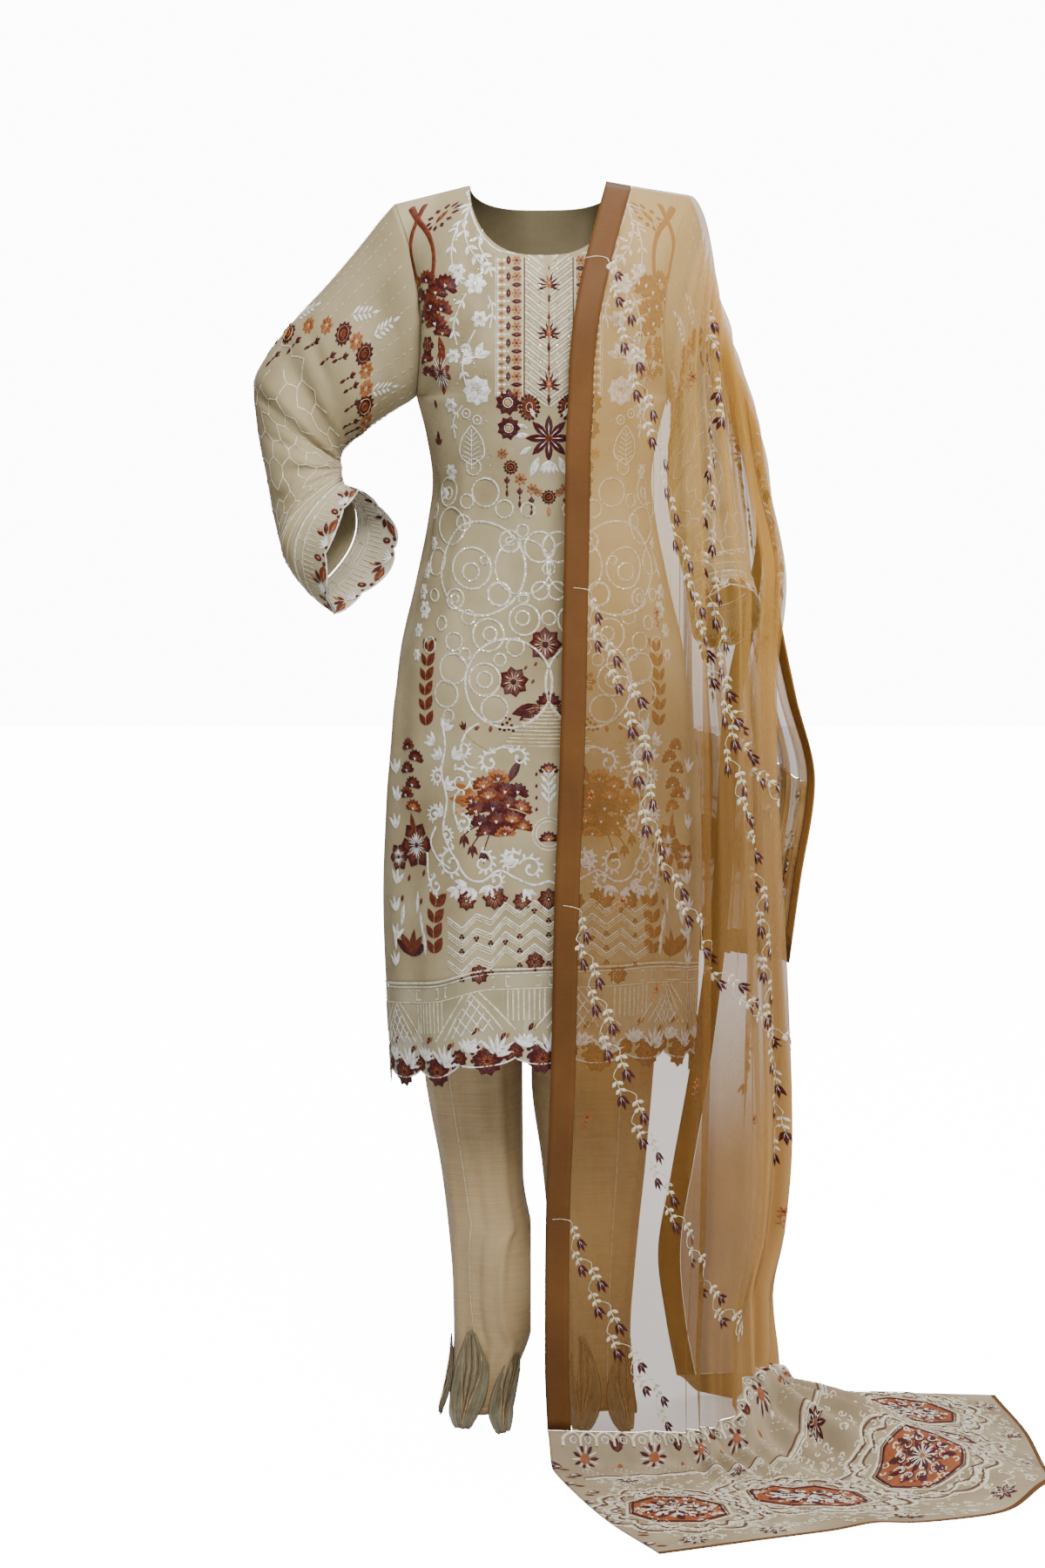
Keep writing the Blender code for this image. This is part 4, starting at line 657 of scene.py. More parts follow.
def normals(surface, u, v, u_range, v_range):
    """Unit normals of a surface by small steps, one-sided at its edges."""
    step_u = NORMAL_STEP * (u_range[1] - u_range[0])
    step_v = NORMAL_STEP * (v_range[1] - v_range[0])
    along_u = surface(np.clip(u + step_u, *u_range), v) - surface(np.clip(u - step_u, *u_range), v)
    along_v = surface(u, np.clip(v + step_v, *v_range)) - surface(u, np.clip(v - step_v, *v_range))
    normal = np.cross(along_u, along_v)
    return normal / np.maximum(np.linalg.norm(normal, axis=-1, keepdims=True), 1e-12)


# ---------------------------------------------------------------- which surface each piece has
# panels: side, facing
PANELS = (("front", -1.0), ("back", 1.0))
PANEL_RANGES = ((-1.0, 1.0), (0.0, NECK_POINT_LEVEL))
# sleeves: side, outward in x, table, creases, where the cuff lace starts
SLEEVES = (("right", -1.0, RIGHT_SLEEVE, RIGHT_CREASES, SLEEVE_SEAM_RIGHT),
           ("left", 1.0, LEFT_SLEEVE, LEFT_CREASES, SLEEVE_SEAM_LEFT))
# legs: side, outward in x, table, level of the hem
LEGS = (("right", -1.0, RIGHT_LEG, RIGHT_HEM), ("left", 1.0, LEFT_LEG, LEFT_HEM))


def panel_surface(facing):
    def panel(u, v):
        return kameez_point(u, v, facing)
    return panel


def sleeve_surfaces(side, outward, table, folds):
    """The surface of a sleeve, and that of its cuff lace; u runs round, v along."""
    gap = np.array([outward * SEAM_GAP, 0.0, 0.0])
    step = np.array(CUFF_STEP[side])

    def tube(u, v):
        return sleeve_point(table, folds + WRINKLES, np.mod(u, 1.0), v) + gap

    def cuff(u, v):
        return tube(u, v) + step
    return tube, cuff


def leg_surface(outward, table):
    def leg(u, v):
        return leg_point(table, outward, u, v)
    return leg


# ---------------------------------------------------------------- cloth shells
UNENDING = (-9.0, 9.0)         # range of a place round a closed piece, which has no edge
LIFT = 0.0002                  # that a shell stands over the CAD part's surface


def make_mesh(name, points, faces, uvs, looks, slots=None, smooth_shading=True):
    """A mesh object in the row frame from points measured from the floor."""
    mesh = bpy.data.meshes.new(name)
    points = np.asarray(points, float) - np.array([0.0, 0.0, SHOULDER_HEIGHT])
    sizes = np.array([len(face) for face in faces], np.int32)
    corners = np.concatenate([np.asarray(face, np.int32) for face in faces])
    mesh.vertices.add(len(points))
    mesh.vertices.foreach_set("co", points.astype(np.float32).ravel())
    mesh.loops.add(len(corners))
    mesh.loops.foreach_set("vertex_index", corners)
    mesh.polygons.add(len(faces))
    starts = np.concatenate([[0], np.cumsum(sizes)[:-1]]).astype(np.int32)
    mesh.polygons.foreach_set("loop_start", starts)
    for look in looks:
        mesh.materials.append(look)
    if slots is not None:
        mesh.polygons.foreach_set("material_index", np.asarray(slots, np.int32))
    mesh.polygons.foreach_set("use_smooth", np.full(len(faces), smooth_shading))
    layer = mesh.uv_layers.new(name="UVMap")
    layer.data.foreach_set("uv", np.asarray(uvs, np.float32)[corners].ravel())
    mesh.update(calc_edges=True)
    mesh.validate()
    piece = bpy.data.objects.new(name, mesh)
    bpy.context.scene.collection.objects.link(piece)
    return piece


def cloth(node, surface, us, vs, outward, look, slot, flat, held, thick=0.0, closed=False,
          hang=None, ranges=(UNENDING, UNENDING), rests_on=(), trim=False, with_pieces=(),
          cut=None):
    """A thin shell over the grid of us and vs that takes the place of one CAD node."""
    u, v = np.meshgrid(np.asarray(us, float), np.asarray(vs, float))
    flat_u = (u - us[0]) / (us[-1] - us[0]) * flat[0]
    flat_v = (v - vs[0]) / (vs[-1] - vs[0]) * flat[1]
    if hang is not None:
        v = hang(u, v)
    normal = outward * normals(surface, u, v, *ranges)
    outer = surface(u, v) + LIFT * normal
    rows, columns = u.shape
    index = np.arange(rows * columns).reshape(rows, columns)
    if closed:
        index = np.concatenate([index, index[:, :1]], axis=1)
    faces = np.stack([index[:-1, :-1], index[:-1, 1:], index[1:, 1:], index[1:, :-1]], axis=-1)
    faces = faces.reshape(-1, 4)
    points = outer.reshape(-1, 3)
    first = points[faces[0]]
    facing = np.dot(np.cross(first[1] - first[0], first[3] - first[0]),
                    normal.reshape(-1, 3)[faces[0][0]])
    if facing < 0:
        faces = faces[:, ::-1]
    uvs = np.stack([flat_u.ravel(), flat_v.ravel()], axis=-1)
    if thick > 0.0:
        half = rows * columns
        points = np.concatenate([points, (outer - thick * normal).reshape(-1, 3)])
        uvs = np.concatenate([uvs, uvs])
        rims = [(index[0, :-1], index[0, 1:]), (index[-1, 1:], index[-1, :-1])]
        if not closed:
            rims += [(index[1:, 0], index[:-1, 0]), (index[:-1, -1], index[1:, -1])]
        edge = [np.stack([b, a, a + half, b + half], axis=-1) for a, b in rims]
        if facing < 0:
            edge = [side[:, ::-1] for side in edge]
        faces = np.concatenate([faces, faces[:, ::-1] + half] + edge)
    piece = make_mesh(node + "_cloth", points, faces, uvs, [look])
    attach(piece, "root")
    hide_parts(node)
    if not trim:
        list(rests_on)
        list(with_pieces)
    return piece


# ---------------------------------------------------------------- materials
DYE_STOPS = (0.30, 0.50, 0.72)     # where uneven dye is dark, middling and light
PLAIN_SCALE = (1.0, 1.0, 1.0)


def add_node(tree, kind, values, **settings):
    """A node whose inputs are set to plain values or wired to other nodes' outputs."""
    made = tree.nodes.new(kind)
    for key, value in settings.items():
        setattr(made, key, value)
    for key, value in values.items():
        if isinstance(value, bpy.types.NodeSocket):
            tree.links.new(value, made.inputs[key])
        else:
            made.inputs[key].default_value = value
    return made


class Look:
    """A node material: most methods add one node and give its output."""

    def __init__(self, name):
        self.made = bpy.data.materials.new(name)
        self.made.use_nodes = True
        self.tree = self.made.node_tree
        self.shader = self.tree.nodes["Principled BSDF"]

    def node(self, kind, values, **settings):
        return add_node(self.tree, kind, values, **settings)

    def wire(self, output, socket):
        self.tree.links.new(output, self.shader.inputs[socket])

    def set(self, values):
        """Plain values for the shader's own sockets."""
        for socket, value in values.items():
            self.shader.inputs[socket].default_value = value

    def mapped(self, kind, scale=PLAIN_SCALE):
        """Texture coordinates of a kind, UV or Object."""
        coordinates = self.node("ShaderNodeTexCoord", {})
        return self.node("ShaderNodeMapping", {"Vector": coordinates.outputs[kind],
                                               "Scale": scale}).outputs[0]

    def part(self, vector, axis):
        """One of a vector's three numbers."""
        return self.node("ShaderNodeSeparateXYZ", {0: vector}).outputs[axis]

    def noise(self, vector, scale, detail=3.0, rough=0.55):
        return self.node("ShaderNodeTexNoise", {"Vector": vector, "Scale": scale,
                                                "Detail": detail, "Roughness": rough}).outputs[0]

    def stripes(self, vector, pitch, axis="X", distortion=0.0):
        """Threads side by side: a wave whose period is pitch metres."""
        return self.node("ShaderNodeTexWave",
                         {"Vector": vector, "Scale": math.pi / 10.0 / pitch,
                          "Distortion": distortion, "Detail": 1.0},
                         bands_direction=axis).outputs["Fac"]

    def math(self, operation, first, second=0.0, third=0.0):
        return self.node("ShaderNodeMath", {0: first, 1: second, 2: third},
                         operation=operation).outputs[0]

    def move(self, value, start, end, low=0.0, high=1.0, soft=False):
        """A value from start to end moved to low to high, and held there beyond."""
        return self.node("ShaderNodeMapRange", {0: value, 1: start, 2: end, 3: low, 4: high},
                         interpolation_type="SMOOTHSTEP" if soft else "LINEAR").outputs[0]

    def span(self, value, low, high):
        """A value from 0 to 1 moved to low to high."""
        return self.move(value, 0.0, 1.0, low, high)

    def ramp(self, value, places, colours):
        made = self.node("ShaderNodeValToRGB", {"Fac": value})
        elements = made.color_ramp.elements
        while len(elements) < len(places):
            elements.new(0.5)
        for element, place, colour in zip(elements, places, colours):
            element.position = place
            element.color = (*colour, 1.0)
        return made.outputs[0]

    def blend(self, factor, first, second):
        made = self.node("ShaderNodeMix", {"Factor": factor}, data_type="RGBA")
        for key, value in ((6, first), (7, second)):
            if isinstance(value, bpy.types.NodeSocket):
                self.tree.links.new(value, made.inputs[key])
            else:
                made.inputs[key].default_value = (*value, 1.0)
        return made.outputs[2]

    def bump(self, height, strength, distance):
        made = self.node("ShaderNodeBump", {"Height": height, "Strength": strength,
                                            "Distance": distance})
        self.wire(made.outputs[0], "Normal")


def linear(*colour):
    """A colour given as 0 to 255 sRGB, as linear numbers."""
    values = [channel / 255.0 for channel in colour]
    return tuple(c / 12.92 if c <= 0.04045 else ((c + 0.055) / 1.055) ** 2.4 for c in values)


def woven(name, colours, rough=0.7, pitch=0.0008, slub=0.0, mottle=9.0, sheen=0.0, opacity=None,
          specular=0.35, slub_size=(14.0, 420.0), thinner=None, stretched=None):
    """Woven cloth or net: cross threads, uneven dye, and slubs along the weft.

    thinner: where the net is gathered, from and to metres across it, the share of its opacity
    that is left there and its colour there. stretched: where it lies taut over the shoulder,
    to and from metres down, the share of its opacity that is left there and its colour there.
    """
    look = Look(name)
    threads = look.mapped("UV")
    warp = look.stripes(threads, pitch, "X", 0.6)
    weft = look.stripes(threads, pitch * 1.15, "Y", 0.6)
    cross = look.math("MAXIMUM", warp, weft)
    cloud = look.noise(threads, mottle, 4.0)
    dyes = [linear(*colour) for colour in colours]
    light = dyes[-1]
    base = look.ramp(cloud, DYE_STOPS, dyes)
    relief = look.math("MULTIPLY", cross, 0.5)
    if slub:
        streak = look.noise(look.mapped("UV", (slub_size[0], slub_size[1], 1.0)), 1.0, 3.0, 0.6)
        streak = look.move(streak, 0.35, 0.75)
        base = look.blend(look.math("MULTIPLY", streak, slub), base, light)
        relief = look.math("ADD", relief, look.math("MULTIPLY", streak, 0.8 * slub))
    # the threads are painted lighter than the gaps between them: a painted highlight on the weave's
    # relief
    base = look.blend(look.math("MULTIPLY", cross, 0.18), base, light)
    if thinner is not None:
        start, end, left, pale = thinner
        gathered = look.move(look.part(threads, 0), start, end)
        base = look.blend(gathered, base, linear(*pale))
    if stretched is not None:
        start, end, taut, pale = stretched
        down = look.part(threads, 1)
        slack = look.move(down, start, end, soft=True)
        base = look.blend(slack, linear(*pale), base)
    look.wire(base, "Base Color")
    look.wire(look.span(look.noise(threads, 60.0), rough - 0.08, rough + 0.08), "Roughness")
    look.bump(relief, 0.35, 0.0004)
    look.set({"Sheen Weight": sheen, "Sheen Roughness": 0.4,
              "Sheen Tint": (1.0, 0.95, 0.85, 1.0), "Specular IOR Level": specular})
    if opacity is not None:
        alpha = look.span(look.math("MULTIPLY", cross, look.span(cloud, 0.8, 1.2)), *opacity)
        if thinner is not None:
            alpha = look.math("MULTIPLY", alpha, look.span(gathered, 1.0, left))
        if stretched is not None:
            # the gathered part is denser again below the waist
            alpha = look.math("MULTIPLY", alpha, look.span(slack, taut, 1.0))
            low = look.move(down, end + 0.20, end + 0.45)
            alpha = look.math("MULTIPLY_ADD", alpha, look.math("MULTIPLY", low, gathered), alpha)
        look.wire(alpha, "Alpha")
    return look.made


def thread(name, colour, rough=0.45, metal=0.0, specular=0.5, spread=0.18, sheen=0.25):
    """Satin stitch: fine parallel threads with a soft shine, partly a painted highlight along each
    strand, and small changes of dye.
    """
    look = Look(name)
    strands = look.stripes(look.mapped("UV"), 0.0007, "X", 0.8)
    cloud = look.noise(look.mapped("Object"), 220.0, 3.0)
    middle = linear(*colour)
    dark = tuple(channel * (1.0 - 2.4 * spread) for channel in middle)
    light = tuple(min(1.0, channel * (1.0 + 2.0 * spread) + 0.02) for channel in middle)
    base = look.ramp(cloud, DYE_STOPS, (dark, middle, light))
    # each strand's crest is painted lighter: a painted highlight along the threads
    base = look.blend(look.math("MULTIPLY", strands, 0.25), base, light)
    look.wire(base, "Base Color")
    look.wire(look.span(strands, rough + 0.10, rough - 0.08), "Roughness")
    look.bump(strands, 0.5, 0.0003)
    look.set({"Metallic": metal, "Specular IOR Level": specular, "Sheen Weight": sheen})
    return look.made


# ---------------------------------------------------------------- embroidery: flat shapes
MM = 0.001
RIM_HEIGHT = 0.15              # mm that a stitched shape's edge stands off the cloth
ABOVE_SHELL = 0.0004           # of the stitched work over the surface, just clear of its cloth
THREADS = ("white", "cream", "maroon", "rust", "copper", "clay", "brown", "beige", "sequin")


def ray(reach, degrees, tall=None):
    """x and y at a reach and a direction; tall is the reach straight up, if it is another."""
    angle = math.radians(degrees)
    return reach * math.cos(angle), (reach if tall is None else tall) * math.sin(angle)


def heading(step):
    """The direction of a step, in degrees."""
    return math.degrees(math.atan2(step[1], step[0]))


def circle(count):
    """Angles evenly round a circle."""
    return 2.0 * math.pi * np.arange(count) / count


def run_along(points):
    """Length of a path up to each of its points."""
    steps = np.linalg.norm(np.diff(points, axis=0), axis=1)
    return np.concatenate([[0.0], np.cumsum(steps)])


def turned(points, degrees):
    angle = math.radians(degrees)
    cosine, sine = math.cos(angle), math.sin(angle)
    return np.asarray(points, float) @ np.array([[cosine, sine], [-sine, cosine]])


def flowing(points, steps=6):
    """More points on a smooth curve through a few chosen ones."""
    points = np.asarray(points, float)
    ends = np.concatenate([[2 * points[0] - points[1]], points, [2 * points[-1] - points[-2]]])
    t = (np.arange(steps) / steps)[:, None]
    made = []
    for a, b, c, d in zip(ends[:-3], ends[1:-2], ends[2:-1], ends[3:]):
        made.append(0.5 * (2 * b + (c - a) * t + (2 * a - 5 * b + 4 * c - d) * t * t
                           + (3 * b - a - 3 * c + d) * t * t * t))
    return np.concatenate(made + [points[-1:]])


def volute(radius, turns, start, inner=0.25, steps=22):
    """A spiral about the origin that winds in from radius; start is its outer end's direction."""
    t = np.linspace(0.0, 1.0, int(steps * abs(turns)) + 2)
    angle = math.radians(start) + 2.0 * math.pi * turns * t
    reach = radius * (1.0 - (1.0 - inner) * t ** 0.85)
    return np.stack([reach * np.cos(angle), reach * np.sin(angle)], axis=-1)


class Sketch:
    """Stitched shapes drawn flat, in millimetres, each with its thread and how the thread lies."""

    def __init__(self):
        self.parts = []

    def shape(self, points, heights, triangles, lie, thread):
        self.parts.append((np.asarray(points, float), np.asarray(heights, float),
                           np.asarray(triangles, int), np.asarray(lie, float),
                           THREADS.index(thread)))
        return self

    def leaf(self, x, y, length, width, turn, thread, belly=1.0, rows=4, height=0.6, bend=0.0):
        """A leaf or petal from its root at x, y, towards turn degrees; belly moves its widest part."""
        t = np.linspace(0.0, 1.0, rows + 1)
        half = 0.5 * width * np.sin(math.pi * t ** belly)
        middle = bend * length * t * t
        inner = slice(1, rows)
        points = np.concatenate([np.stack([length * t, middle], -1),
                                 np.stack([length * t, middle + half], -1)[inner],
                                 np.stack([length * t, middle - half], -1)[inner]])
        ridge = np.arange(rows + 1)
        left = np.concatenate([[0], np.arange(rows + 1, 2 * rows), [rows]])
        right = np.concatenate([[0], np.arange(2 * rows, 3 * rows - 1), [rows]])
        triangles = []
        for i in range(rows):
            for side, order in ((left, 1), (right, -1)):
                quad = [ridge[i], ridge[i + 1], side[i + 1], side[i]]
                for three in ((quad[0], quad[1], quad[2]), (quad[0], quad[2], quad[3])):
                    if len(set(three)) == 3:
                        triangles.append(three[::order])
        heights = np.concatenate([RIM_HEIGHT + height * np.sin(math.pi * t) ** 0.5,
                                  np.full(2 * rows - 2, RIM_HEIGHT)])
        return self.shape(turned(points, turn) + (x, y), heights, triangles, points, thread)

    def leaves(self, turns, x, y, length, width, thread, **more):
        """Leaves from one root, one for each turn."""
        for turn in turns:
            self.leaf(x, y, length, width, turn, thread, **more)
        return self

    def disc(self, x, y, radius, thread, sides=8, height=0.5, tall=1.0):
        angle = circle(sides)
        rim = radius * np.stack([np.cos(angle), tall * np.sin(angle)], -1)
        points = np.concatenate([[[0.0, 0.0]], rim])
        around = np.arange(sides)
        triangles = np.stack([np.zeros(sides, int), 1 + around, 1 + (around + 1) % sides], -1)
        heights = np.concatenate([[RIM_HEIGHT + height], np.full(sides, RIM_HEIGHT)])
        return self.shape(points + (x, y), heights, triangles, points, thread)

    def sequin(self, x, y, radius=0.9, tilt=0.0):
        """A flat hexagon, a little tilted."""
        angle = circle(6)
        points = radius * np.stack([np.cos(angle), np.sin(angle)], -1)
        heights = 0.75 + 0.25 * np.cos(angle + tilt)
        triangles = [(0, 1, 2), (0, 2, 3), (0, 3, 4), (0, 4, 5)]
        return self.shape(points + (x, y), heights, triangles, points, "sequin")

    def line(self, points, width, thread, height=0.5, closed=False, taper=(1.0, 1.0)):
        """A raised line of stitches along the points."""
        points = np.asarray(points, float)
        if closed:
            along = np.roll(points, -1, axis=0) - np.roll(points, 1, axis=0)
        else:
            along = np.gradient(points, axis=0)
        size = np.maximum(np.linalg.norm(along, axis=-1, keepdims=True), 1e-9)
        aside = np.stack([-along[:, 1], along[:, 0]], -1) / size
        count = len(points)
        half = 0.5 * width * np.linspace(taper[0], taper[1], count)[:, None]
        grid = np.concatenate([points + half * aside, points, points - half * aside])
        a = np.arange(count if closed else count - 1)
        b = (a + 1) % count
        triangles = []
        for first, second in ((0, count), (count, 2 * count)):
            triangles.append(np.stack([first + a, second + a, second + b], -1))
            triangles.append(np.stack([first + a, second + b, first + b], -1))
        heights = RIM_HEIGHT + np.repeat([0.0, height, 0.0], count)
        lie = np.stack([np.tile(run_along(points), 3),
                        np.repeat([1.0, 0.0, -1.0], count) * width], -1)
        return self.shape(grid, heights, np.concatenate(triangles), lie, thread)

    def ring(self, x, y, radius, width, thread, height=0.5, tall=1.0):
        angle = circle(max(10, int(2.2 * radius)))
        path = radius * np.stack([np.cos(angle), tall * np.sin(angle)], -1) + (x, y)
        return self.line(path, width, thread, height, closed=True)

    def beads(self, points, thread, size=0.7, height=0.5, every=1.8):
        """Small stitches or beads, evenly along the points."""
        points = np.asarray(points, float)
        run = run_along(points)
        places = np.arange(0.5 * every, run[-1], every)
        x = np.interp(places, run, points[:, 0])
        y = np.interp(places, run, points[:, 1])
        centre = np.stack([x, y], -1)
        corner = size * np.array([[1.0, 0.0], [0.0, 1.0], [-1.0, 0.0], [0.0, -1.0]])
        count = len(places)
        points = np.concatenate([centre] + [centre + one for one in corner])
        heights = np.concatenate([np.full(count, RIM_HEIGHT + height),
                                  np.full(4 * count, RIM_HEIGHT)])
        a = np.arange(count)
        triangles = [np.stack([a, (k + 1) * count + a, ((k + 1) % 4 + 1) * count + a], -1)
                     for k in range(4)]
        return self.shape(points, heights, np.concatenate(triangles), points, thread)

    def dashes(self, points, thread, length=5.0, gap=2.5, width=0.9):
        """Long stitches with gaps between them."""
        points = np.asarray(points, float)
        run = run_along(points)
        for start in np.arange(0.0, run[-1] - length, length + gap):
            (x, end_x), (y, end_y) = [np.interp((start, start + length), run, column)
                                      for column in points.T]
            self.leaf(x, y, length, width, heading((end_x - x, end_y - y)), thread, rows=2)
        return self

    def put(self, other, x=0.0, y=0.0, turn=0.0, size=1.0, flip=False):
        """A copy of another sketch, mirrored, turned and moved."""
        for points, heights, triangles, lie, thread in other.parts:
            points = points * (-size if flip else size, size)
            self.parts.append((turned(points, turn) + (x, y), heights,
                               triangles[:, ::-1] if flip else triangles, lie * size, thread))
        return self


class Work:
    """All the embroidery on one piece of cloth, joined into one object.

    cloth_at gives points and normals for places (u, v) on the cloth; scale_at says how many
    metres a unit of u and of v is there, so that a motif keeps its size.
    """

    def __init__(self, name, cloth_at, scale_at=None):
        self.name = name
        self.cloth_at = cloth_at
        self.scale_at = scale_at
        self.places = []
        self.rest = []
        self.count = 0

    def put(self, sketch, u=0.0, v=0.0, turn=0.0, size=1.0, flip=False):
        whole = Sketch().put(sketch, 0.0, 0.0, turn, size, flip)
        across, up = (1.0, 1.0) if self.scale_at is None else self.scale_at(u, v)
        for points, heights, triangles, lie, thread in whole.parts:
            self.places.append(points * (MM / across, MM / up) + (u, v))
            self.rest.append((heights, triangles + self.count, lie, thread))
            self.count += len(points)
        return self

    def laid_flat(self, points):
        """Places (u, v) as a path in mm, with the mm that a unit of u and of v is at each."""
        size = np.array([self.scale_at(u, v) for u, v in points]) / MM
        steps = np.diff(points, axis=0) * 0.5 * (size[1:] + size[:-1])
        return np.concatenate([[[0.0, 0.0]], np.cumsum(steps, axis=0)]), size

    def trace(self, points, width, thread, height=0.5):
        """A raised line of stitches through places (u, v)."""
        points = np.asarray(points, float)
        path, size = self.laid_flat(points)
        for grid, heights, triangles, lie, number in Sketch().line(path, width, thread,
                                                                   height).parts:
            aside = (grid - np.tile(path, (3, 1))) / np.tile(size, (3, 1))
            self.places.append(np.tile(points, (3, 1)) + aside)
            self.rest.append((heights, triangles + self.count, lie, number))
            self.count += len(grid)
        return self

    def walk(self, points, step):
        """Places every step mm along a path of places, with the path's direction in degrees."""
        path = flowing(points, 5)
        flat = self.laid_flat(path)[0]
        steps = np.diff(flat, axis=0)
        run = run_along(flat)
        angle = np.unwrap(np.arctan2(steps[:, 1], steps[:, 0]))
        middle = 0.5 * (run[1:] + run[:-1])
        for at in np.arange(0.5 * step, run[-1], step):
            yield (np.interp(at, run, path[:, 0]), np.interp(at, run, path[:, 1]),
                   math.degrees(np.interp(at, middle, angle)))

    def sew(self, looks, slot):
        places = np.concatenate(self.places)
        heights = np.concatenate([part[0] for part in self.rest])
        triangles = np.concatenate([part[1] for part in self.rest])
        lie = np.concatenate([part[2] for part in self.rest]) * MM
        threads = np.concatenate([np.full(len(part[1]), part[3]) for part in self.rest])
        points, normal = self.cloth_at(places[:, 0], places[:, 1])
        points = points + normal * (heights * MM)[:, None]
        first = points[triangles[0]]
        if np.dot(np.cross(first[1] - first[0], first[2] - first[0]), normal[triangles[0, 0]]) < 0:
            triangles = triangles[:, ::-1]
        used = sorted(set(threads))
        order = {thread: number for number, thread in enumerate(used)}
        slots = np.vectorize(order.get)(threads)
        piece = make_mesh(self.name, points, triangles, lie, [looks[THREADS[k]] for k in used],
                          slots)
        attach(piece, "root")
        return piece


def cloth_of(surface, outward, u_range, v_range, above=ABOVE_SHELL):
    """cloth_at for a surface: its points, a little above the cloth's shell, and normals."""
    def at(u, v):
        u = np.clip(u, *u_range)
        v = np.clip(v, *v_range)
        normal = outward * normals(surface, u, v, u_range, v_range)
        return surface(u, v) + above * normal, normal
    return at


def scale_of(surface, u_range, v_range, columns=33, rows=49):
    """scale_at for a surface, read off a table of its steps."""
    u = np.linspace(*u_range, columns)
    v = np.linspace(*v_range, rows)
    points = surface(*np.meshgrid(u, v))
    across = np.linalg.norm(np.gradient(points, u, axis=1), axis=-1)
    up = np.linalg.norm(np.gradient(points, v, axis=0), axis=-1)

    def at(place, along):
        column = np.clip((place - u[0]) / (u[1] - u[0]), 0.0, columns - 1.001)
        row = np.clip((along - v[0]) / (v[1] - v[0]), 0.0, rows - 1.001)
        i, j = int(column), int(row)
        column, row = column - i, row - j
        return tuple((table[j, i] * (1 - column) + table[j, i + 1] * column) * (1 - row)
                     + (table[j + 1, i] * (1 - column) + table[j + 1, i + 1] * column) * row
                     for table in (across, up))
    return at


class PanelArc:
    """Places on a kameez panel by arc length from its centre line and height over the floor."""

    def __init__(self, facing):
        self.facing = facing
        self.u = np.linspace(-1.0, 1.0, 161)
        self.z = np.linspace(0.440, 1.436, 167)
        u, z = np.meshgrid(self.u, self.z)
        self.panel = panel_surface(facing)
        self.points = self.panel(u, self.level(u, z))
        steps = np.linalg.norm(np.diff(self.points, axis=1), axis=-1)
        run = np.concatenate([np.zeros((len(self.z), 1)), np.cumsum(steps, axis=1)], axis=1)
        self.run = run - run[:, 80:81]

    def level(self, u, z):
        """The panel's own level at a place across whose real height is z."""
        place = u if self.facing < 0 else -u
        low = z
        for _ in range(3):
            low = z - hem_rise(place) * (1.0 - smooth((low - 0.62) / 0.25))
        drop = FRONT_NECK_DROP if self.facing < 0 else BACK_NECK_DROP
        neck_z = neckline(np.abs(u) / NECK_SHARE, drop)[1]
        part = np.clip((np.abs(u) - NECK_SHARE) / (1.0 - NECK_SHARE), 0.0, 1.0)
        seam_x = np.sign(u) * (NECK_HALF_WIDTH + (SHOULDER_TIP_X - NECK_HALF_WIDTH) * part)
        top = np.where(np.abs(u) >= NECK_SHARE, shoulder_level(seam_x), neck_z)
        rise = np.clip((z - UNDERARM_LEVEL) / (top - UNDERARM_LEVEL), 0.0, 1.0)
        high = UNDERARM_LEVEL + (NECK_POINT_LEVEL - UNDERARM_LEVEL) * rise
        return np.where(z > UNDERARM_LEVEL, high, low)

    def rows(self, z):
        place = np.clip((z - self.z[0]) / (self.z[1] - self.z[0]), 0.0, len(self.z) - 1.001)
        row = place.astype(int)
        return row, place - row

    def across(self, run, z):
        """Place across (-1 to 1) for an arc length and a height."""
        row, part = self.rows(z)
        found = np.empty_like(run)
        for k in np.unique(row):
            here = row == k
            low = np.interp(run[here], self.run[k], self.u)
            high = np.interp(run[here], self.run[k + 1], self.u)
            found[here] = low + (high - low) * part[here]
        return found

    def arc(self, x, z):
        """Arc length in mm at a real x and z, both in mm."""
        x = np.atleast_1d(np.asarray(x, float)) * MM
        z = np.atleast_1d(np.asarray(z, float)) * MM
        row, part = self.rows(z)
        found = np.empty(len(x))
        for i, (one_x, k, share) in enumerate(zip(x, row, part)):
            low = np.interp(one_x, self.points[k, :, 0], self.run[k])
            high = np.interp(one_x, self.points[k + 1, :, 0], self.run[k + 1])
            found[i] = low + (high - low) * share
        return found / MM

    def cloth_at(self, run, z):
        u = np.clip(self.across(run, z), -1.0, 1.0)
        level = self.level(u, z)
        normal = -self.facing * normals(self.panel, u, level, *PANEL_RANGES)
        return self.panel(u, level) + ABOVE_SHELL * normal, normal


# ---------------------------------------------------------------- motifs (millimetres)
def directions(count, first=0.0):
    """Directions evenly round a motif, in degrees."""
    return [first + 360.0 * k / count for k in range(count)]


def rosette(radius, petals, petal_thread, centre_thread, hole=0.30, width=1.0, vein=None,
            sequin=True, under=None):
    """A round flower; hole is the share of its radius left to the centre."""
    made = Sketch()
    length = radius * (1.0 - 0.6 * hole)
    wide = width * 2.2 * math.pi * radius / petals * 0.42
    for turn in directions(petals):
        x, y = ray(radius * 0.6 * hole, turn)
        if under:
            made.leaf(x, y, 1.10 * length, 1.45 * wide, turn, under, belly=1.6, rows=3, height=0.4)
        made.leaf(x, y, length, wide, turn, petal_thread, belly=1.45, rows=3)
        if vein:
            made.leaf(x, y, 0.8 * length, 0.22 * wide, turn, vein, rows=2, height=1.2)
    made.disc(0, 0, radius * hole, centre_thread, height=1.0)
    if sequin:
        made.sequin(0, 0, min(1.1, radius * hole * 0.8))
    return made


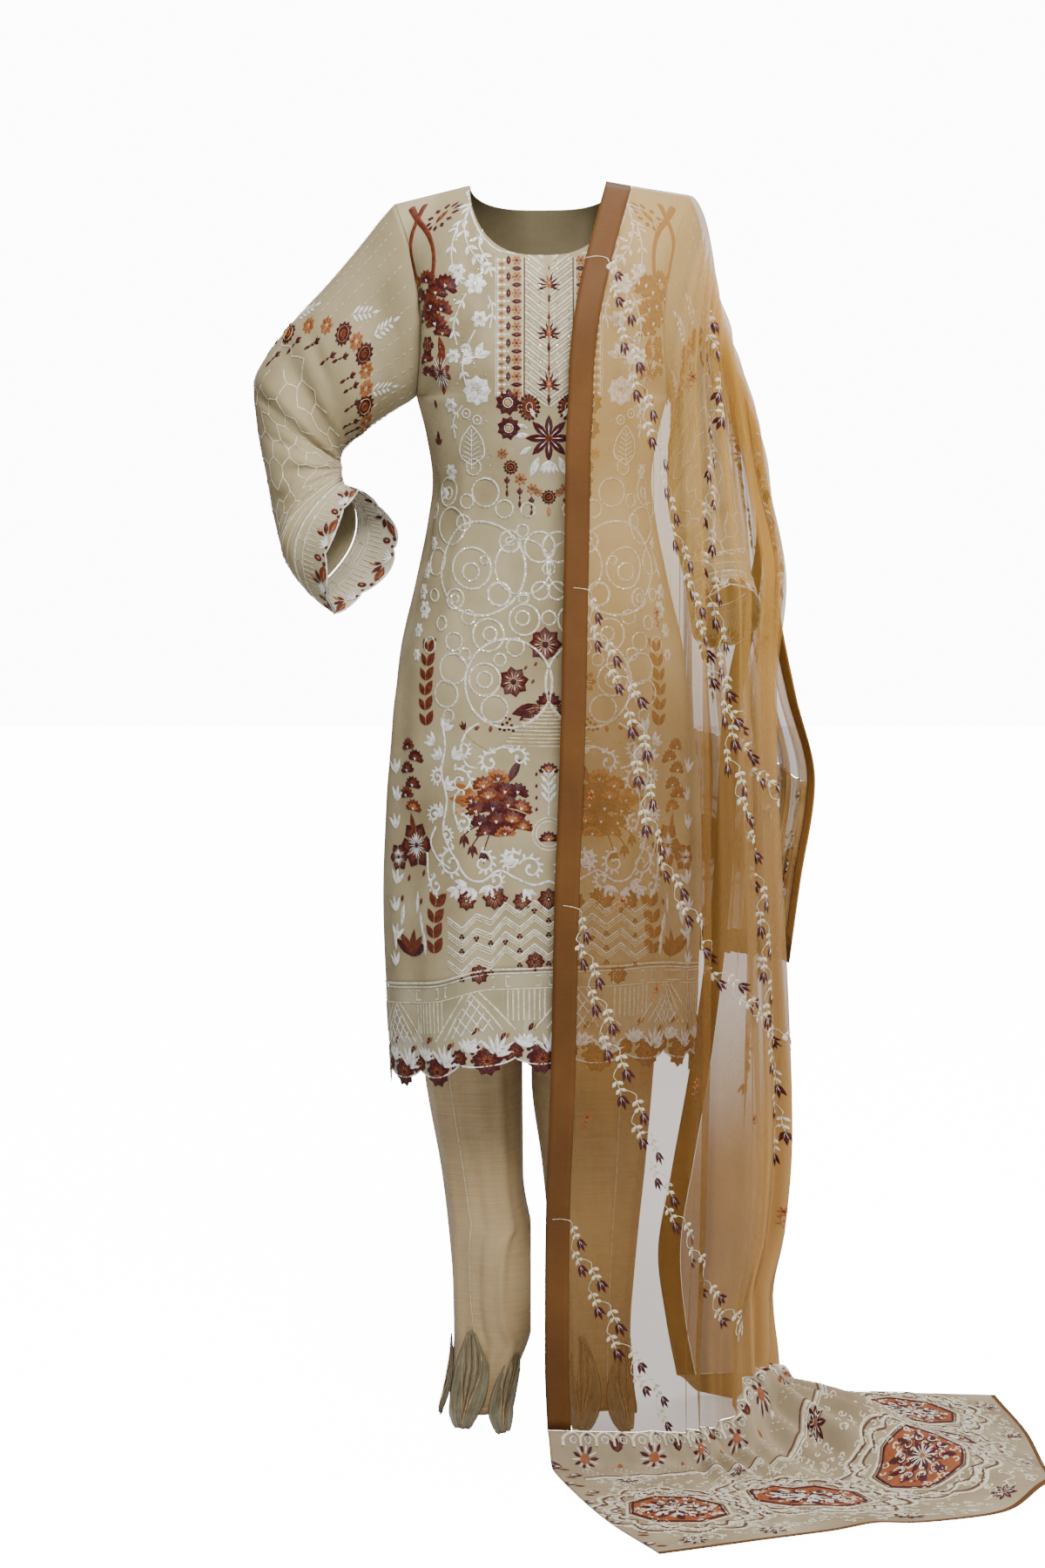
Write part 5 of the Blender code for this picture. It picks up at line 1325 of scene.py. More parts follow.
def half_flower(radius, petal_thread="maroon", body_thread="rust"):
    """A fan-shaped flower with a frilled dark edge, pale at its foot."""
    made = Sketch()
    made.leaves([90.0 + 150.0 * (k / 6.0 - 0.5) for k in range(7)], 0, 0, radius, 0.42 * radius,
                petal_thread, belly=1.9, rows=4)
    made.leaves([90.0 + 110.0 * (k / 4.0 - 0.5) for k in range(5)], 0, 0, 0.78 * radius,
                0.30 * radius, body_thread, belly=1.4, rows=3, height=1.1)
    return made.leaves((70, 90, 110), 0, 0, 0.42 * radius, 0.12 * radius, "white", rows=2,
                       height=1.5)


def tulip(size, petal_thread="maroon", outline="white"):
    """Three narrow petals with thin pale edges, its foot at the origin, pointing up."""
    made = Sketch()
    for turn, long in ((64, 0.88), (116, 0.88), (90, 1.05)):
        made.leaf(0, 0, size * long, 0.30 * size, turn, petal_thread, belly=0.7, rows=3)
    return made.leaves((77, 103), 0, 0.05 * size, 0.55 * size, 0.05 * size, outline, rows=2,
                       height=1.1)


def spray(turns, length, width, rows=4):
    """White leaves of one size from one foot."""
    return Sketch().leaves(turns, 0, 0, length, width, "white", rows=rows, height=0.9)


def scroll(radius, turns, start, thread="white", width=2.9, lobes=7):
    """An acanthus volute: a thick winding line with leaflets on its outer side and a round eye."""
    path = volute(radius, turns, start)
    made = Sketch().line(path, width, thread, height=0.9, taper=(1.0, 0.75))
    made.disc(path[-1][0], path[-1][1], 0.85 * width, thread, sides=7, height=1.0)
    sense = 1 if turns > 0 else -1
    for k in range(lobes):
        at = int(len(path) * 0.55 * k / lobes)
        turn = heading(path[at + 1] - path[at]) - sense * 55.0
        made.leaf(path[at][0], path[at][1], 0.30 * radius + 3.0, 0.14 * radius + 1.6, turn,
                  thread, belly=0.9, rows=3, bend=-0.12 * sense)
    return made


def heart_leaf(width, height, thread="white"):
    """A broad leaf in outline with veins."""
    side = [(0.0, -0.10), (0.22, 0.0), (0.46, 0.14), (0.50, 0.36), (0.40, 0.62), (0.20, 0.84),
            (0.0, 1.0)]
    right = flowing([(x * width, y * height) for x, y in side], 5)
    made = Sketch().line(right, 1.5, thread).line(right * (-1, 1), 1.5, thread)
    made.line([(0, -0.22 * height), (0, 0.9 * height)], 1.0, thread)
    for k in range(6):
        y = (0.04 + 0.13 * k) * height
        reach = (0.42 - 0.045 * k) * width
        for sign in (-1, 1):
            made.line([(0, y), (0.6 * sign * reach, y + 0.08 * height),
                       (sign * reach, y + 0.13 * height)], 1.0, thread, height=0.35)
    return made


def open_flower(radius, petals=6, centre="cream"):
    """A white flower: filled petals in two rows, beige division lines and a beaded centre."""
    made = Sketch()
    for ring, (share, wide) in enumerate(((1.0, 0.66), (0.68, 0.42))):
        made.leaves(directions(petals, 180.0 * ring / petals), 0, 0, share * radius, wide * radius,
                    "white", belly=1.6, rows=4, height=0.7 + 0.4 * ring)
    for turn in directions(petals, 180.0 / petals):
        made.leaf(0, 0, 0.80 * radius, 0.07 * radius, turn, "beige", rows=2, height=1.0)
        made.leaf(0, 0, 0.55 * radius, 0.05 * radius, turn + 180.0 / petals, "beige", rows=2,
                  height=1.4)
    made.ring(0, 0, 0.24 * radius, 0.8, centre, height=1.2)
    return made.sequin(0, 0, 1.0)


def berry_drop(length=16.0, thread="maroon"):
    """A bud that hangs on a string of beads."""
    made = Sketch().line([(0, 0), (0, -length)], 1.0, thread, height=0.3)
    made.leaf(0, -0.40 * length, 0.42 * length, 4.6, 90, thread, belly=0.8, rows=3)
    made.leaves((62, 118), 0, -0.40 * length, 0.34 * length, 2.4, thread, rows=2)
    made.leaf(0, -1.05 * length, 0.40 * length, 3.8, 90, thread, rows=3)
    made.leaf(0, -0.66 * length, 0.26 * length, 2.6, 90, thread, rows=2)
    return made


def medallion(radius):
    """A dark round flower with a thin pale ring and a coloured centre."""
    made = Sketch()
    for turn in directions(12):
        x, y = ray(0.60 * radius, turn)
        made.leaf(x, y, 0.42 * radius, 0.42 * radius, turn, "maroon", belly=1.6, rows=2)
    made.disc(0, 0, 0.80 * radius, "maroon", sides=14)
    made.ring(0, 0, 0.62 * radius, 0.6, "beige", height=1.2)
    made.disc(0, 0, 0.46 * radius, "rust", sides=12, height=1.2)
    made.ring(0, 0, 0.26 * radius, 0.7, "copper", height=1.6)
    return made.sequin(0, 0, 0.9)


def trefoil(size=1.7):
    """Three dark beads round a sequin."""
    made = Sketch()
    for x, y in ((0.0, -1.0), (-1.0, 0.5), (1.0, 0.5)):
        made.disc(size * x, size * y, size, "maroon", sides=6, height=0.8)
    return made.sequin(0, 0, 0.7)


def sprig(size=12.0):
    """A small copper flower on a stem, as is scattered over the dupatta."""
    made = Sketch().line(flowing([(0, -size), (0.18 * size, -0.5 * size), (0, 0)]), 0.7, "copper")
    made.put(rosette(0.34 * size, 6, "copper", "rust", sequin=False))
    for k, turn in enumerate((150, 40, 165, 20)):
        made.leaf(0.12 * size, -size * (0.25 + 0.18 * k), 0.3 * size, 0.12 * size, turn, "copper",
                  rows=2)
    return made


def star(radius, petals=8, thread="maroon", outline="white", centre="rust"):
    """A pointed flower with pale veins."""
    made = Sketch()
    for turn in directions(petals, 90.0):
        made.leaf(0, 0, radius, 0.34 * radius, turn, thread, belly=1.1)
        made.leaf(0, 0, 0.80 * radius, 0.08 * radius, turn, outline, rows=2, height=1.3)
    return made.disc(0, 0, 0.20 * radius, centre, height=1.5).sequin(0, 0, 0.9)


def bouquet(size, seed):
    """A tight bunch: copper and rust fans above, dark ones below, small leaves and buds around."""
    made = Sketch()
    chance = np.random.default_rng(seed)
    made.leaf(-0.50 * size, 0.10 * size, 1.10 * size, 0.70 * size, 24, "rust", rows=6, height=0.3)
    made.leaf(-0.44 * size, -0.40 * size, 1.15 * size, 0.62 * size, 18, "maroon", rows=6,
              height=0.3)
    for x, y, reach, turn, petal, body in (
            (-0.30, 0.62, 0.30, 10, "rust", "copper"), (0.02, 0.78, 0.30, 0, "copper", "rust"),
            (-0.56, 0.30, 0.28, 20, "copper", "rust"), (-0.20, 0.38, 0.32, 0, "rust", "copper"),
            (0.16, 0.50, 0.30, -12, "maroon", "rust"), (0.44, 0.50, 0.28, -20, "maroon", "maroon"),
            (-0.46, 0.06, 0.30, 15, "maroon", "rust"), (-0.10, 0.12, 0.32, 0, "maroon", "maroon"),
            (0.24, 0.20, 0.30, -10, "maroon", "rust"), (0.52, 0.14, 0.28, -15, "rust", "copper"),
            (-0.38, -0.20, 0.28, 8, "maroon", "maroon"), (-0.02, -0.16, 0.30, 0, "maroon", "rust"),
            (0.32, -0.14, 0.30, -8, "rust", "copper"), (0.56, -0.28, 0.26, -12, "rust", "copper"),
            (0.18, -0.42, 0.26, 0, "copper", "rust"), (-0.26, -0.40, 0.24, 6, "maroon", "rust")):
        made.put(half_flower(size * reach, petal, body), size * x, size * y - 0.1 * size,
                 turn + chance.uniform(-8, 8))
    for turn, thread in ((158, "copper"), (176, "copper"), (194, "beige"), (62, "maroon")):
        x, y = ray(0.5, turn)
        root = (size * x, size * (0.2 + y))
        made.leaf(*root, 0.62 * size, 0.19 * size, turn, thread, rows=5)
        made.leaf(*root, 0.54 * size, 0.03 * size, turn, "brown", rows=2, height=1.2)
    for x, y in ((-0.55, -0.72), (-0.30, -0.84), (-0.74, -0.50)):
        made.line(flowing([(-0.1 * size, -0.30 * size), (0.6 * x * size, 0.6 * y * size),
                           (x * size, y * size)]), 1.4, "maroon")
        made.put(tulip(0.30 * size, "maroon", "rust"), x * size, y * size, 180)
    return made


def branch_of_leaves(points, count, length, width, thread="rust", vein="maroon"):
    """Single leaves, side by side in two columns, along a line, as a rust branch has them."""
    path = flowing(points)
    made = Sketch().line(path, 0.7, "beige", height=0.3)
    for k in range(count):
        at = int((k + 0.5) / count * (len(path) - 1))
        x, y = path[at]
        along = heading(path[min(at + 1, len(path) - 1)] - path[max(at - 1, 0)])
        for side, stretch in ((-1, 1.0), (1, 0.8)):
            turn = along + side * 34.0
            made.leaf(x, y, stretch * length, stretch * width, turn, thread, belly=0.95)
            made.leaf(x, y, 0.8 * stretch * length, 0.18 * width, turn, vein, rows=2, height=1.1)
    return made


def leafy_stem():
    """A short white stem with two pairs of leaves and one leaf at its end."""
    path = flowing([(0, 0), (3, -10), (0, -20)])
    made = Sketch().line(path, 0.8, "white", height=0.4)
    for k in range(2):
        at = int((k + 0.8) / 2 * (len(path) - 1))
        along = heading(path[min(at + 1, len(path) - 1)] - path[max(at - 1, 0)])
        made.leaves((along - 42.0, along + 42.0), *path[at], 8, 3, "white", belly=0.9)
    return made.leaf(*path[-1], 8, 3, heading(path[-1] - path[-2]), "white", belly=0.9)


def long_flower(width, height, petals=8):
    """A tall flower with rust petals, a dark heart and long pale stamens."""
    made = Sketch()
    for turn in directions(petals, 90.0):
        reach = 0.5 * math.hypot(*ray(width, turn, height))
        made.leaf(0, 0, reach, 0.50 * width, turn, "rust", belly=1.35, rows=5)
    for turn in directions(22):
        reach = 0.36 * math.hypot(*ray(width, turn, height))
        made.leaf(*ray(0.12 * width, turn), reach, 0.9, turn, "white", rows=2, height=1.1)
    return made.disc(0, 0, 0.16 * width, "maroon", height=1.6)


# ---------------------------------------------------------------- kameez front and back
AXIS = 7.0                     # mm, the middle of the front's design
NECK_PANEL_EDGE = 1361.0       # mm over the floor, top of the chevrons
NECK_PANEL_HALF = 26.0
CHEVRON_PITCH = 9.4
CHEVRON_SLOPE = 20.0 / NECK_PANEL_HALF
LADDER_PITCH = 9.1             # of the small flowers beside the chevrons
ZIGZAG_PERIOD = 32.0
ZIGZAG_DEPTH = 13.0
ZIGZAG_PITCH = 16.0
LACE_REPEAT = 2.0 / HEM_SCALLOPS
LACE_REACH = 0.995             # place across where the lace's stitches stop


class PanelWork:
    """Embroidery on the front or back, placed by real x and z in millimetres."""

    def __init__(self, name, facing):
        self.arc = PanelArc(facing)
        self.work = Work(name, self.arc.cloth_at)

    def other(self, x):
        """The mirrored place: about the design's middle near it, about the panel's at its edge."""
        return -x + 2.0 * AXIS * (1.0 - float(smooth((abs(x - AXIS) - 85.0) / 60.0)))

    def at(self, sketch, x, z, turn=0.0, size=1.0, flip=False):
        run = float(self.arc.arc(x, z)[0])
        self.work.put(sketch, run * MM, z * MM, turn, size, flip)

    def both(self, sketch, x, z, turn=0.0, size=1.0):
        """The sketch, and its mirror image on the other side; once only on the middle line."""
        self.at(sketch, x, z, turn, size)
        if x != AXIS:
            self.at(sketch, self.other(x), z, -turn, size, flip=True)

    def along(self, points, draw, mirrored=True, step=4):
        """draw(sketch, path) on the path through real points, and on its mirror image."""
        path = flowing(points, step)
        for sign in (1, -1) if mirrored else (1,):
            x = path[:, 0] if sign == 1 else np.array([self.other(value) for value in path[:, 0]])
            run = self.arc.arc(x, path[:, 1])
            sketch = Sketch()
            draw(sketch, np.stack([run, path[:, 1]], -1))
            self.work.put(sketch)

    def half_flowers(self, table):
        for x, z, reach, turn, petal, body in table:
            self.both(half_flower(reach, petal, body), x, z, turn)


def plain_line(width, thread, height=0.5, beads=None, every=1.8, beads_thread=None):
    """What along() draws: a line, with beads of a size over it if they are asked for."""
    def draw(sketch, path):
        sketch.line(path, width, thread, height)
        if beads:
            sketch.beads(path, beads_thread or thread, beads, every=every)
    return draw


def chevrons(front):
    """Chevrons with three fans on a dark line."""
    for k in range(20):
        low = 1372.0 - CHEVRON_PITCH * k
        if low < 1190.0:
            break
        reach = min(NECK_PANEL_HALF, max(0.0, (NECK_PANEL_EDGE - low) / CHEVRON_SLOPE))
        if reach < 3.0:
            continue
        for sign in (-1, 1):
            ends = [(AXIS + sign * 1.5, low + 1.2),
                    (AXIS + sign * reach, low + CHEVRON_SLOPE * reach)]
            for shift, width, thread in ((0.0, 2.2, "cream"), (4.4, 0.9, "white")):
                shifted = [(x, min(z + shift, NECK_PANEL_EDGE + 0.5)) for x, z in ends]
                front.along(shifted, plain_line(width, thread), mirrored=False, step=3)
            glint = Sketch()
            for share in (0.35, 0.85):
                glint.sequin(0, 0, 0.9, tilt=k)
                front.at(glint, AXIS + sign * reach * share,
                         low + CHEVRON_SLOPE * reach * share + 4.5)
    front.along([(AXIS, 1360.0), (AXIS, 1270.0), (AXIS, 1196.0)],
                plain_line(1.0, "maroon", beads=0.9, every=5.0, beads_thread="copper"),
                mirrored=False)
    burst = Sketch()
    for turn in (-90, -64, -38, -12, 14, 40, 66, 90):
        burst.leaf(0, -4, 16 if abs(turn) < 30 else 14, 3.4, 90 - 1.25 * turn, "maroon",
                   belly=0.7, rows=3, height=1.8)
    burst.leaf(0, -9, 15, 8.5, 90, "copper", belly=1.2, rows=4, height=2.3)
    burst.leaf(0, -6, 8, 3.0, 90, "white", rows=2, height=2.8)
    burst.leaf(0, -24, 12, 4.2, 90, "maroon", rows=3, height=1.9)
    burst.leaf(0, 11, 9, 3.6, 90, "rust", rows=3, height=1.9)
    for z in (1331.0, 1277.0, 1221.0):
        front.at(burst, AXIS, z)


def neck_borders(front):
    """Lines and a ladder of small flowers on both sides of the chevrons."""
    for x, width, thread in ((-20.0, 1.4, "brown"), (-22.2, 0.8, "white"), (-51.5, 0.9, "cream"),
                             (-49.4, 0.8, "white")):
        front.along([(x, 1358.0), (x, 1280.0), (x, 1206.0)],
                    plain_line(width, thread, beads=0.8, every=2.4))
    pair = Sketch().leaf(-0.4, 0, 5.2, 3.2, 180, "white", rows=3)
    pair.leaf(0.4, 0, 5.2, 3.2, 0, "white", rows=3)
    pair.disc(0, -4.4, 2.3, "copper", sides=6).leaf(-3.6, -4.4, 7.2, 1.8, 0, "rust", rows=2)
    upright = Sketch().leaf(0, -5.4, 10.8, 6.0, 90, "maroon", rows=3)
    upright.leaf(0, -3.0, 5.6, 2.2, 90, "copper", rows=2, height=1.2)
    level = Sketch().leaf(-6.4, 0, 12.8, 5.4, 0, "maroon")
    level.leaf(-3.0, 0, 6.0, 1.6, 0, "copper", rows=2, height=1.2)
    flower = rosette(6.0, 6, "copper", "rust", width=1.2).disc(0, 0, 1.6, "maroon", height=1.5)
    dot = Sketch().disc(0, 0, 1.2, "white", sides=6)
    for k in range(17):
        z = 1355.0 - LADDER_PITCH * k
        front.both(pair, -45.0, z)
        if k % 2 == 0:
            front.both(upright, -37.6, z)
            front.both(flower, -28.4, z)
        else:
            front.both(level, -28.4, z)
            front.both(dot, -37.6, z)


def neck_drop(front):
    """A star between rosettes, white leaves and hanging buds, below the neck panel."""
    for x, z, radius in ((-38.0, 1199.0, 14.5), (-37.0, 1171.0, 13.5)):
        front.both(rosette(radius, 9, "maroon", "beige", hole=0.28, width=1.7, vein="rust"), x, z)
        front.both(Sketch().ring(0, 0, 0.36 * radius, 1.0, "white", height=1.2), x, z)
    oval = Sketch()
    for turn in directions(16):
        oval.leaf(*ray(7.0, turn, 9.8), 6.0, 5.0, turn, "maroon", belly=1.3, rows=2)
    oval.disc(0, 0, 8.2, "rust", sides=12, height=0.9, tall=1.35)
    oval.ring(0, 0, 3.6, 0.8, "white", height=1.5, tall=1.4).disc(0, 0, 2.6, "maroon", height=1.6)
    front.both(oval, -14.5, 1194.0)
    front.at(star(26.0), AXIS, 1160.0)
    for x, z, turn, length in ((-8, 1182, 118, 19), (-15, 1164, 186, 17), (-12, 1151, 215, 16),
                               (-4, 1140, 248, 24), (-16, 1171, 160, 13)):
        leaf = Sketch().leaf(0, 0, length, 0.36 * length, turn, "white", rows=5, height=0.9)
        leaf.leaf(0, 0, 0.8 * length, 0.07 * length, turn, "cream", rows=2, height=1.4)
        front.both(leaf, x, z)
    front.at(spray((-90, -68, -112, -50, -130), 17, 5.0), AXIS, 1136.0)
    for x, z, radius in ((-44, 1143, 6.5), (-24, 1115, 7.5), (-11, 1104, 7.0), (-4, 1100, 5.0)):
        front.both(rosette(radius, 7, "copper", "rust", width=1.2, vein="beige"), x, z)
    front.both(medallion(8.5), -35.0, 1128.0)
    front.at(medallion(8.5), AXIS, 1095.0)
    for x, z in ((-39, 1118), (-25, 1106), (-12, 1096)):
        front.both(berry_drop(22), x, z)
    front.at(Sketch().leaf(0, 0, 12, 5, 270, "copper", rows=3), AXIS, 1085.0)


def cords(front):
    """Two cords that cross at each shoulder, with a dark bud between them."""
    def cord(sketch, path):
        sketch.line(path, 5.2, "rust", height=1.3)
        sketch.dashes(path + (1.2, 0.0), "copper", 2.2, 1.6, 1.4)
        sketch.dashes(path - (1.2, 0.0), "maroon", 2.0, 1.8, 1.2)
    front.along([(-146, 1415), (-139, 1402), (-126, 1384), (-120, 1362), (-121, 1338)], cord)
    front.along([(-131, 1418), (-138, 1403), (-145, 1384), (-146, 1362), (-139, 1335)], cord)
    bud = Sketch()
    for turn in directions(11, 90):
        bud.leaf(*ray(8.0, turn, 10.0), 7.6, 4.8, turn, "maroon", rows=2)
    bud.leaf(0, -8, 16, 6.0, 90, "rust").leaf(0, -5, 10, 2.4, 90, "copper", rows=2, height=1.3)
    front.both(bud, -112, 1404)


def shoulder_flowers(front):
    """Dark and rust flowers in a column on each side of the chest."""
    front.half_flowers((
        (-139, 1326, 17, 8, "rust", "copper"), (-128, 1330, 16, -8, "rust", "maroon"),
        (-108, 1324, 17, -28, "maroon", "rust"), (-118, 1316, 17, -10, "maroon", "rust"),
        (-134, 1310, 17, 12, "maroon", "rust"), (-123, 1301, 17, 0, "rust", "maroon"),
        (-112, 1298, 16, -14, "rust", "maroon"), (-130, 1288, 16, 10, "maroon", "rust"),
        (-118, 1282, 17, 4, "rust", "maroon"), (-110, 1272, 14, -8, "maroon", "rust")))
    front.both(Sketch().leaf(0, 0, 20, 15, 96, "rust", rows=5, height=0.5)
               .leaf(3, -22, 24, 14, 84, "maroon", rows=5, height=0.45), -124, 1304)
    front.both(Sketch().leaf(0, 0, 30, 9, -76, "rust"), -114, 1272)
    front.both(rosette(11, 6, "maroon", "rust", width=1.5, vein="copper"), -127, 1262)
    front.half_flowers(((-128, 1243, 13, 12, "maroon", "rust"),
                        (-125, 1228, 12, -8, "maroon", "rust")))
    front.both(long_flower(16, 50, 6), -112, 1232)
    front.both(Sketch().leaf(0, 0, 16, 8, 90, "maroon").leaves((40, 140), 0, 0, 10, 5, "rust"),
               -115, 1152)
    front.both(Sketch().leaf(0, 0, 11, 5, 100, "maroon", rows=3), -117, 1192)


# white stems of the shoulders: their path, pairs of leaves, length of a leaf
STEMS = (
    ([(-76, 1424), (-86, 1400), (-84, 1376), (-72, 1356), (-62, 1346)], 6, 12.0),
    ([(-92, 1398), (-100, 1370), (-98, 1345), (-88, 1328)], 4, 10.0),
    ([(-66, 1390), (-70, 1372), (-60, 1352), (-56, 1336)], 3, 11.0),
    ([(-84, 1318), (-92, 1302), (-98, 1282), (-94, 1262)], 3, 10.0),
    ([(-74, 1278), (-84, 1258), (-88, 1238), (-84, 1218)], 2, 10.0),
    ([(-60, 1316), (-55, 1300), (-58, 1280)], 2, 8.0),
    ([(-88, 1196), (-98, 1180), (-96, 1160)], 2, 8.0),
)


def white_stems(front):
    """White stems and flowers beside the neck panel, and a beaded line round the neck."""
    for path, leaves, length in STEMS:
        front.along(path, plain_line(1.6, "white", 0.8))
        bed = flowing(path, 4)
        for k in range(leaves):
            spot = int((k + 0.7) / leaves * (len(bed) - 2))
            turn = heading(bed[spot + 1] - bed[spot])
            pair = Sketch()
            for side in (-1, 1):
                pair.leaf(0, 0, length, 0.38 * length, turn + 46 * side, "white", rows=4,
                          height=0.9, bend=-0.10 * side)
            front.both(pair, *bed[spot])
    for x, z, radius, petals, centre in (
            (-74, 1329, 13, 6, "cream"), (-69, 1290, 10, 6, "beige"), (-93, 1343, 9, 6, "cream"),
            (-72, 1212, 17, 8, "cream"), (-101, 1196, 9, 6, "beige"), (-98, 1250, 9, 6, "cream")):
        front.both(open_flower(radius, petals, centre), x, z)
    for turn in (20, 62, 150, 200):
        leaf = Sketch().leaf(0, 0, 19, 8.5, turn, "white", rows=5, height=0.4)
        front.both(leaf.leaf(3, 0.5, 11, 1.6, turn, "beige", rows=2, height=1.1), -74, 1248)
    front.both(heart_leaf(31, 40), -78, 1134)
    for x, z in ((-84, 1187), (-72, 1180)):
        front.both(Sketch().ring(0, 0, 5.0, 1.5, "white").disc(0, 0, 1.4, "white"), x, z)
    front.both(open_flower(10), -101, 1122)
    front.both(open_flower(8), -108, 1098)
    chance = np.random.default_rng(5)
    for _ in range(90):
        x, z = chance.uniform(-122, -54), chance.uniform(1110, 1395)
        front.both(Sketch().sequin(0, 0, 0.8, chance.uniform(0, 6)), x, z)
    front.along([(-84, 1434), (-80.5, 1419), (-76, 1401), (-66, 1381), (-50, 1366.5),
                 (-30, 1362.3)], plain_line(1.5, "white", beads=1.1, every=2.6))


# rings of the skirt: x, z, radius, width of line
RINGS = (
    (-69, 1016, 52, 2.4), (-78, 1016, 23, 2.0), (-79, 1012, 10, 1.8), (-64, 1025, 5, 1.5),
    (-48, 988, 13, 2.6), (-36, 1046, 12, 2.2), (-36, 1046, 5, 1.6), (-3, 1040, 17, 2.2),
    (-22, 1058, 7, 1.8), (-21, 984, 6, 1.8), (-2, 992, 10, 2.0), (-20, 960, 17, 2.0),
    (-22, 962, 8, 1.8), (-22, 1018, 31, 1.8), (-60, 943, 18, 2.0), (-58, 944, 8, 2.0),
    (-97, 982, 11, 1.8), (-97, 982, 5, 1.5), (-112, 955, 8, 1.8), (-101, 1062, 21, 1.8),
    (-88, 1066, 9, 1.8), (-117, 1022, 15, 1.6), (-38, 890, 49, 2.4), (-64, 894, 18, 2.0),
    (-64, 894, 9, 1.8), (-47, 916, 7, 1.6), (-86, 921, 7, 1.8), (-99, 905, 17, 1.8),
    (-107, 877, 15, 1.8), (-104, 853, 7, 1.6), (-53, 862, 15, 1.8), (-63, 1100, 16, 1.8),
    (-104, 1100, 16, 1.8), (-104, 1098, 7, 1.8), (-84, 1090, 8, 1.6), (-118, 1078, 9, 1.6),
    (-76, 1128, 9, 1.5), (-42, 1082, 10, 1.6), (-16, 1081, 8, 1.6), (-30, 930, 10, 1.6),
    (-98, 935, 10, 1.6), (-120, 985, 7, 1.6), (-125, 930, 9, 1.6), (-82, 962, 8, 1.6),
    (AXIS, 962, 8, 1.8), (AXIS, 1016, 7, 1.6),
)
SEQUIN_PITCH = 5.5             # mm round a ring
# white scrolls of the skirt: x, z, radius, turns, direction of the outer end
SCROLLS = (
    (-91, 781, 15, -1.2, 120), (-88, 735, 10, -1.1, 100), (-88, 818, 10, 1.0, 200),
    (-116, 784, 9, 1.1, 60), (-120, 742, 9, 1.0, 60), (-100, 690, 17, 1.2, 80),
    (-66, 692, 13, -1.1, 100), (-34, 694, 12, 1.1, 40), (-13, 686, 14, -1.1, 160),
    (-52, 674, 10, 1.0, 220), (-118, 664, 10, 1.0, 90), (-26, 808, 11, -1.0, 150),
    (-58, 803, 12, 1.0, 60), (-106, 720, 8, -1.0, 120),
)
SCROLL_STEMS = (
    [(-112, 850), (-108, 820), (-112, 790), (-106, 760), (-110, 725), (-100, 700)],
    [(-70, 846), (-84, 836), (-90, 818), (-84, 800), (-72, 796)],
    [(-118, 730), (-124, 712), (-116, 694), (-102, 684)],
    [(-99, 700), (-84, 676), (-66, 672), (-48, 684), (-30, 676), (-10, 668), (AXIS, 672)],
    [(-96, 768), (-98, 750), (-92, 728)],
    [(-30, 816), (-44, 820), (-60, 812)],
    [(-128, 700), (-126, 670), (-116, 650)],
)
# three leaves each beside the scrolls: x, z, direction
SCROLL_LEAVES = (
    (-110, 836, 60), (-113, 804, 130), (-108, 772, 40), (-110, 742, 140), (-84, 670, 210),
    (-58, 668, 250), (-40, 690, 60), (-20, 664, 300), (-72, 660, 200), (-94, 664, 230),
    (-120, 820, 140), (-100, 806, 40),
)
THREE = (-34, 0, 34)           # directions of a spray's three leaves, from its own


def ring_work(front):
    """Overlapping rings with sequins on them, and white flowers at their sides."""
    for x, z, radius, width in RINGS:
        ring = Sketch().ring(0, 0, radius, width, "cream", height=0.6)
        ring.ring(0, 0, radius - 0.42 * width, 0.5 * width, "white", height=0.8)
        for k, turn in enumerate(circle(max(4, int(2 * math.pi * radius / SEQUIN_PITCH)))):
            ring.sequin(radius * math.cos(turn), radius * math.sin(turn), 0.75, k)
        front.both(ring, x, z)
    for x, z, size in ((-128, 1012, 9), (-133, 988, 8), (-131, 968, 9), (-138, 945, 7),
                       (-121, 1042, 7), (-140, 918, 6)):
        front.both(open_flower(1.25 * size), x, z)


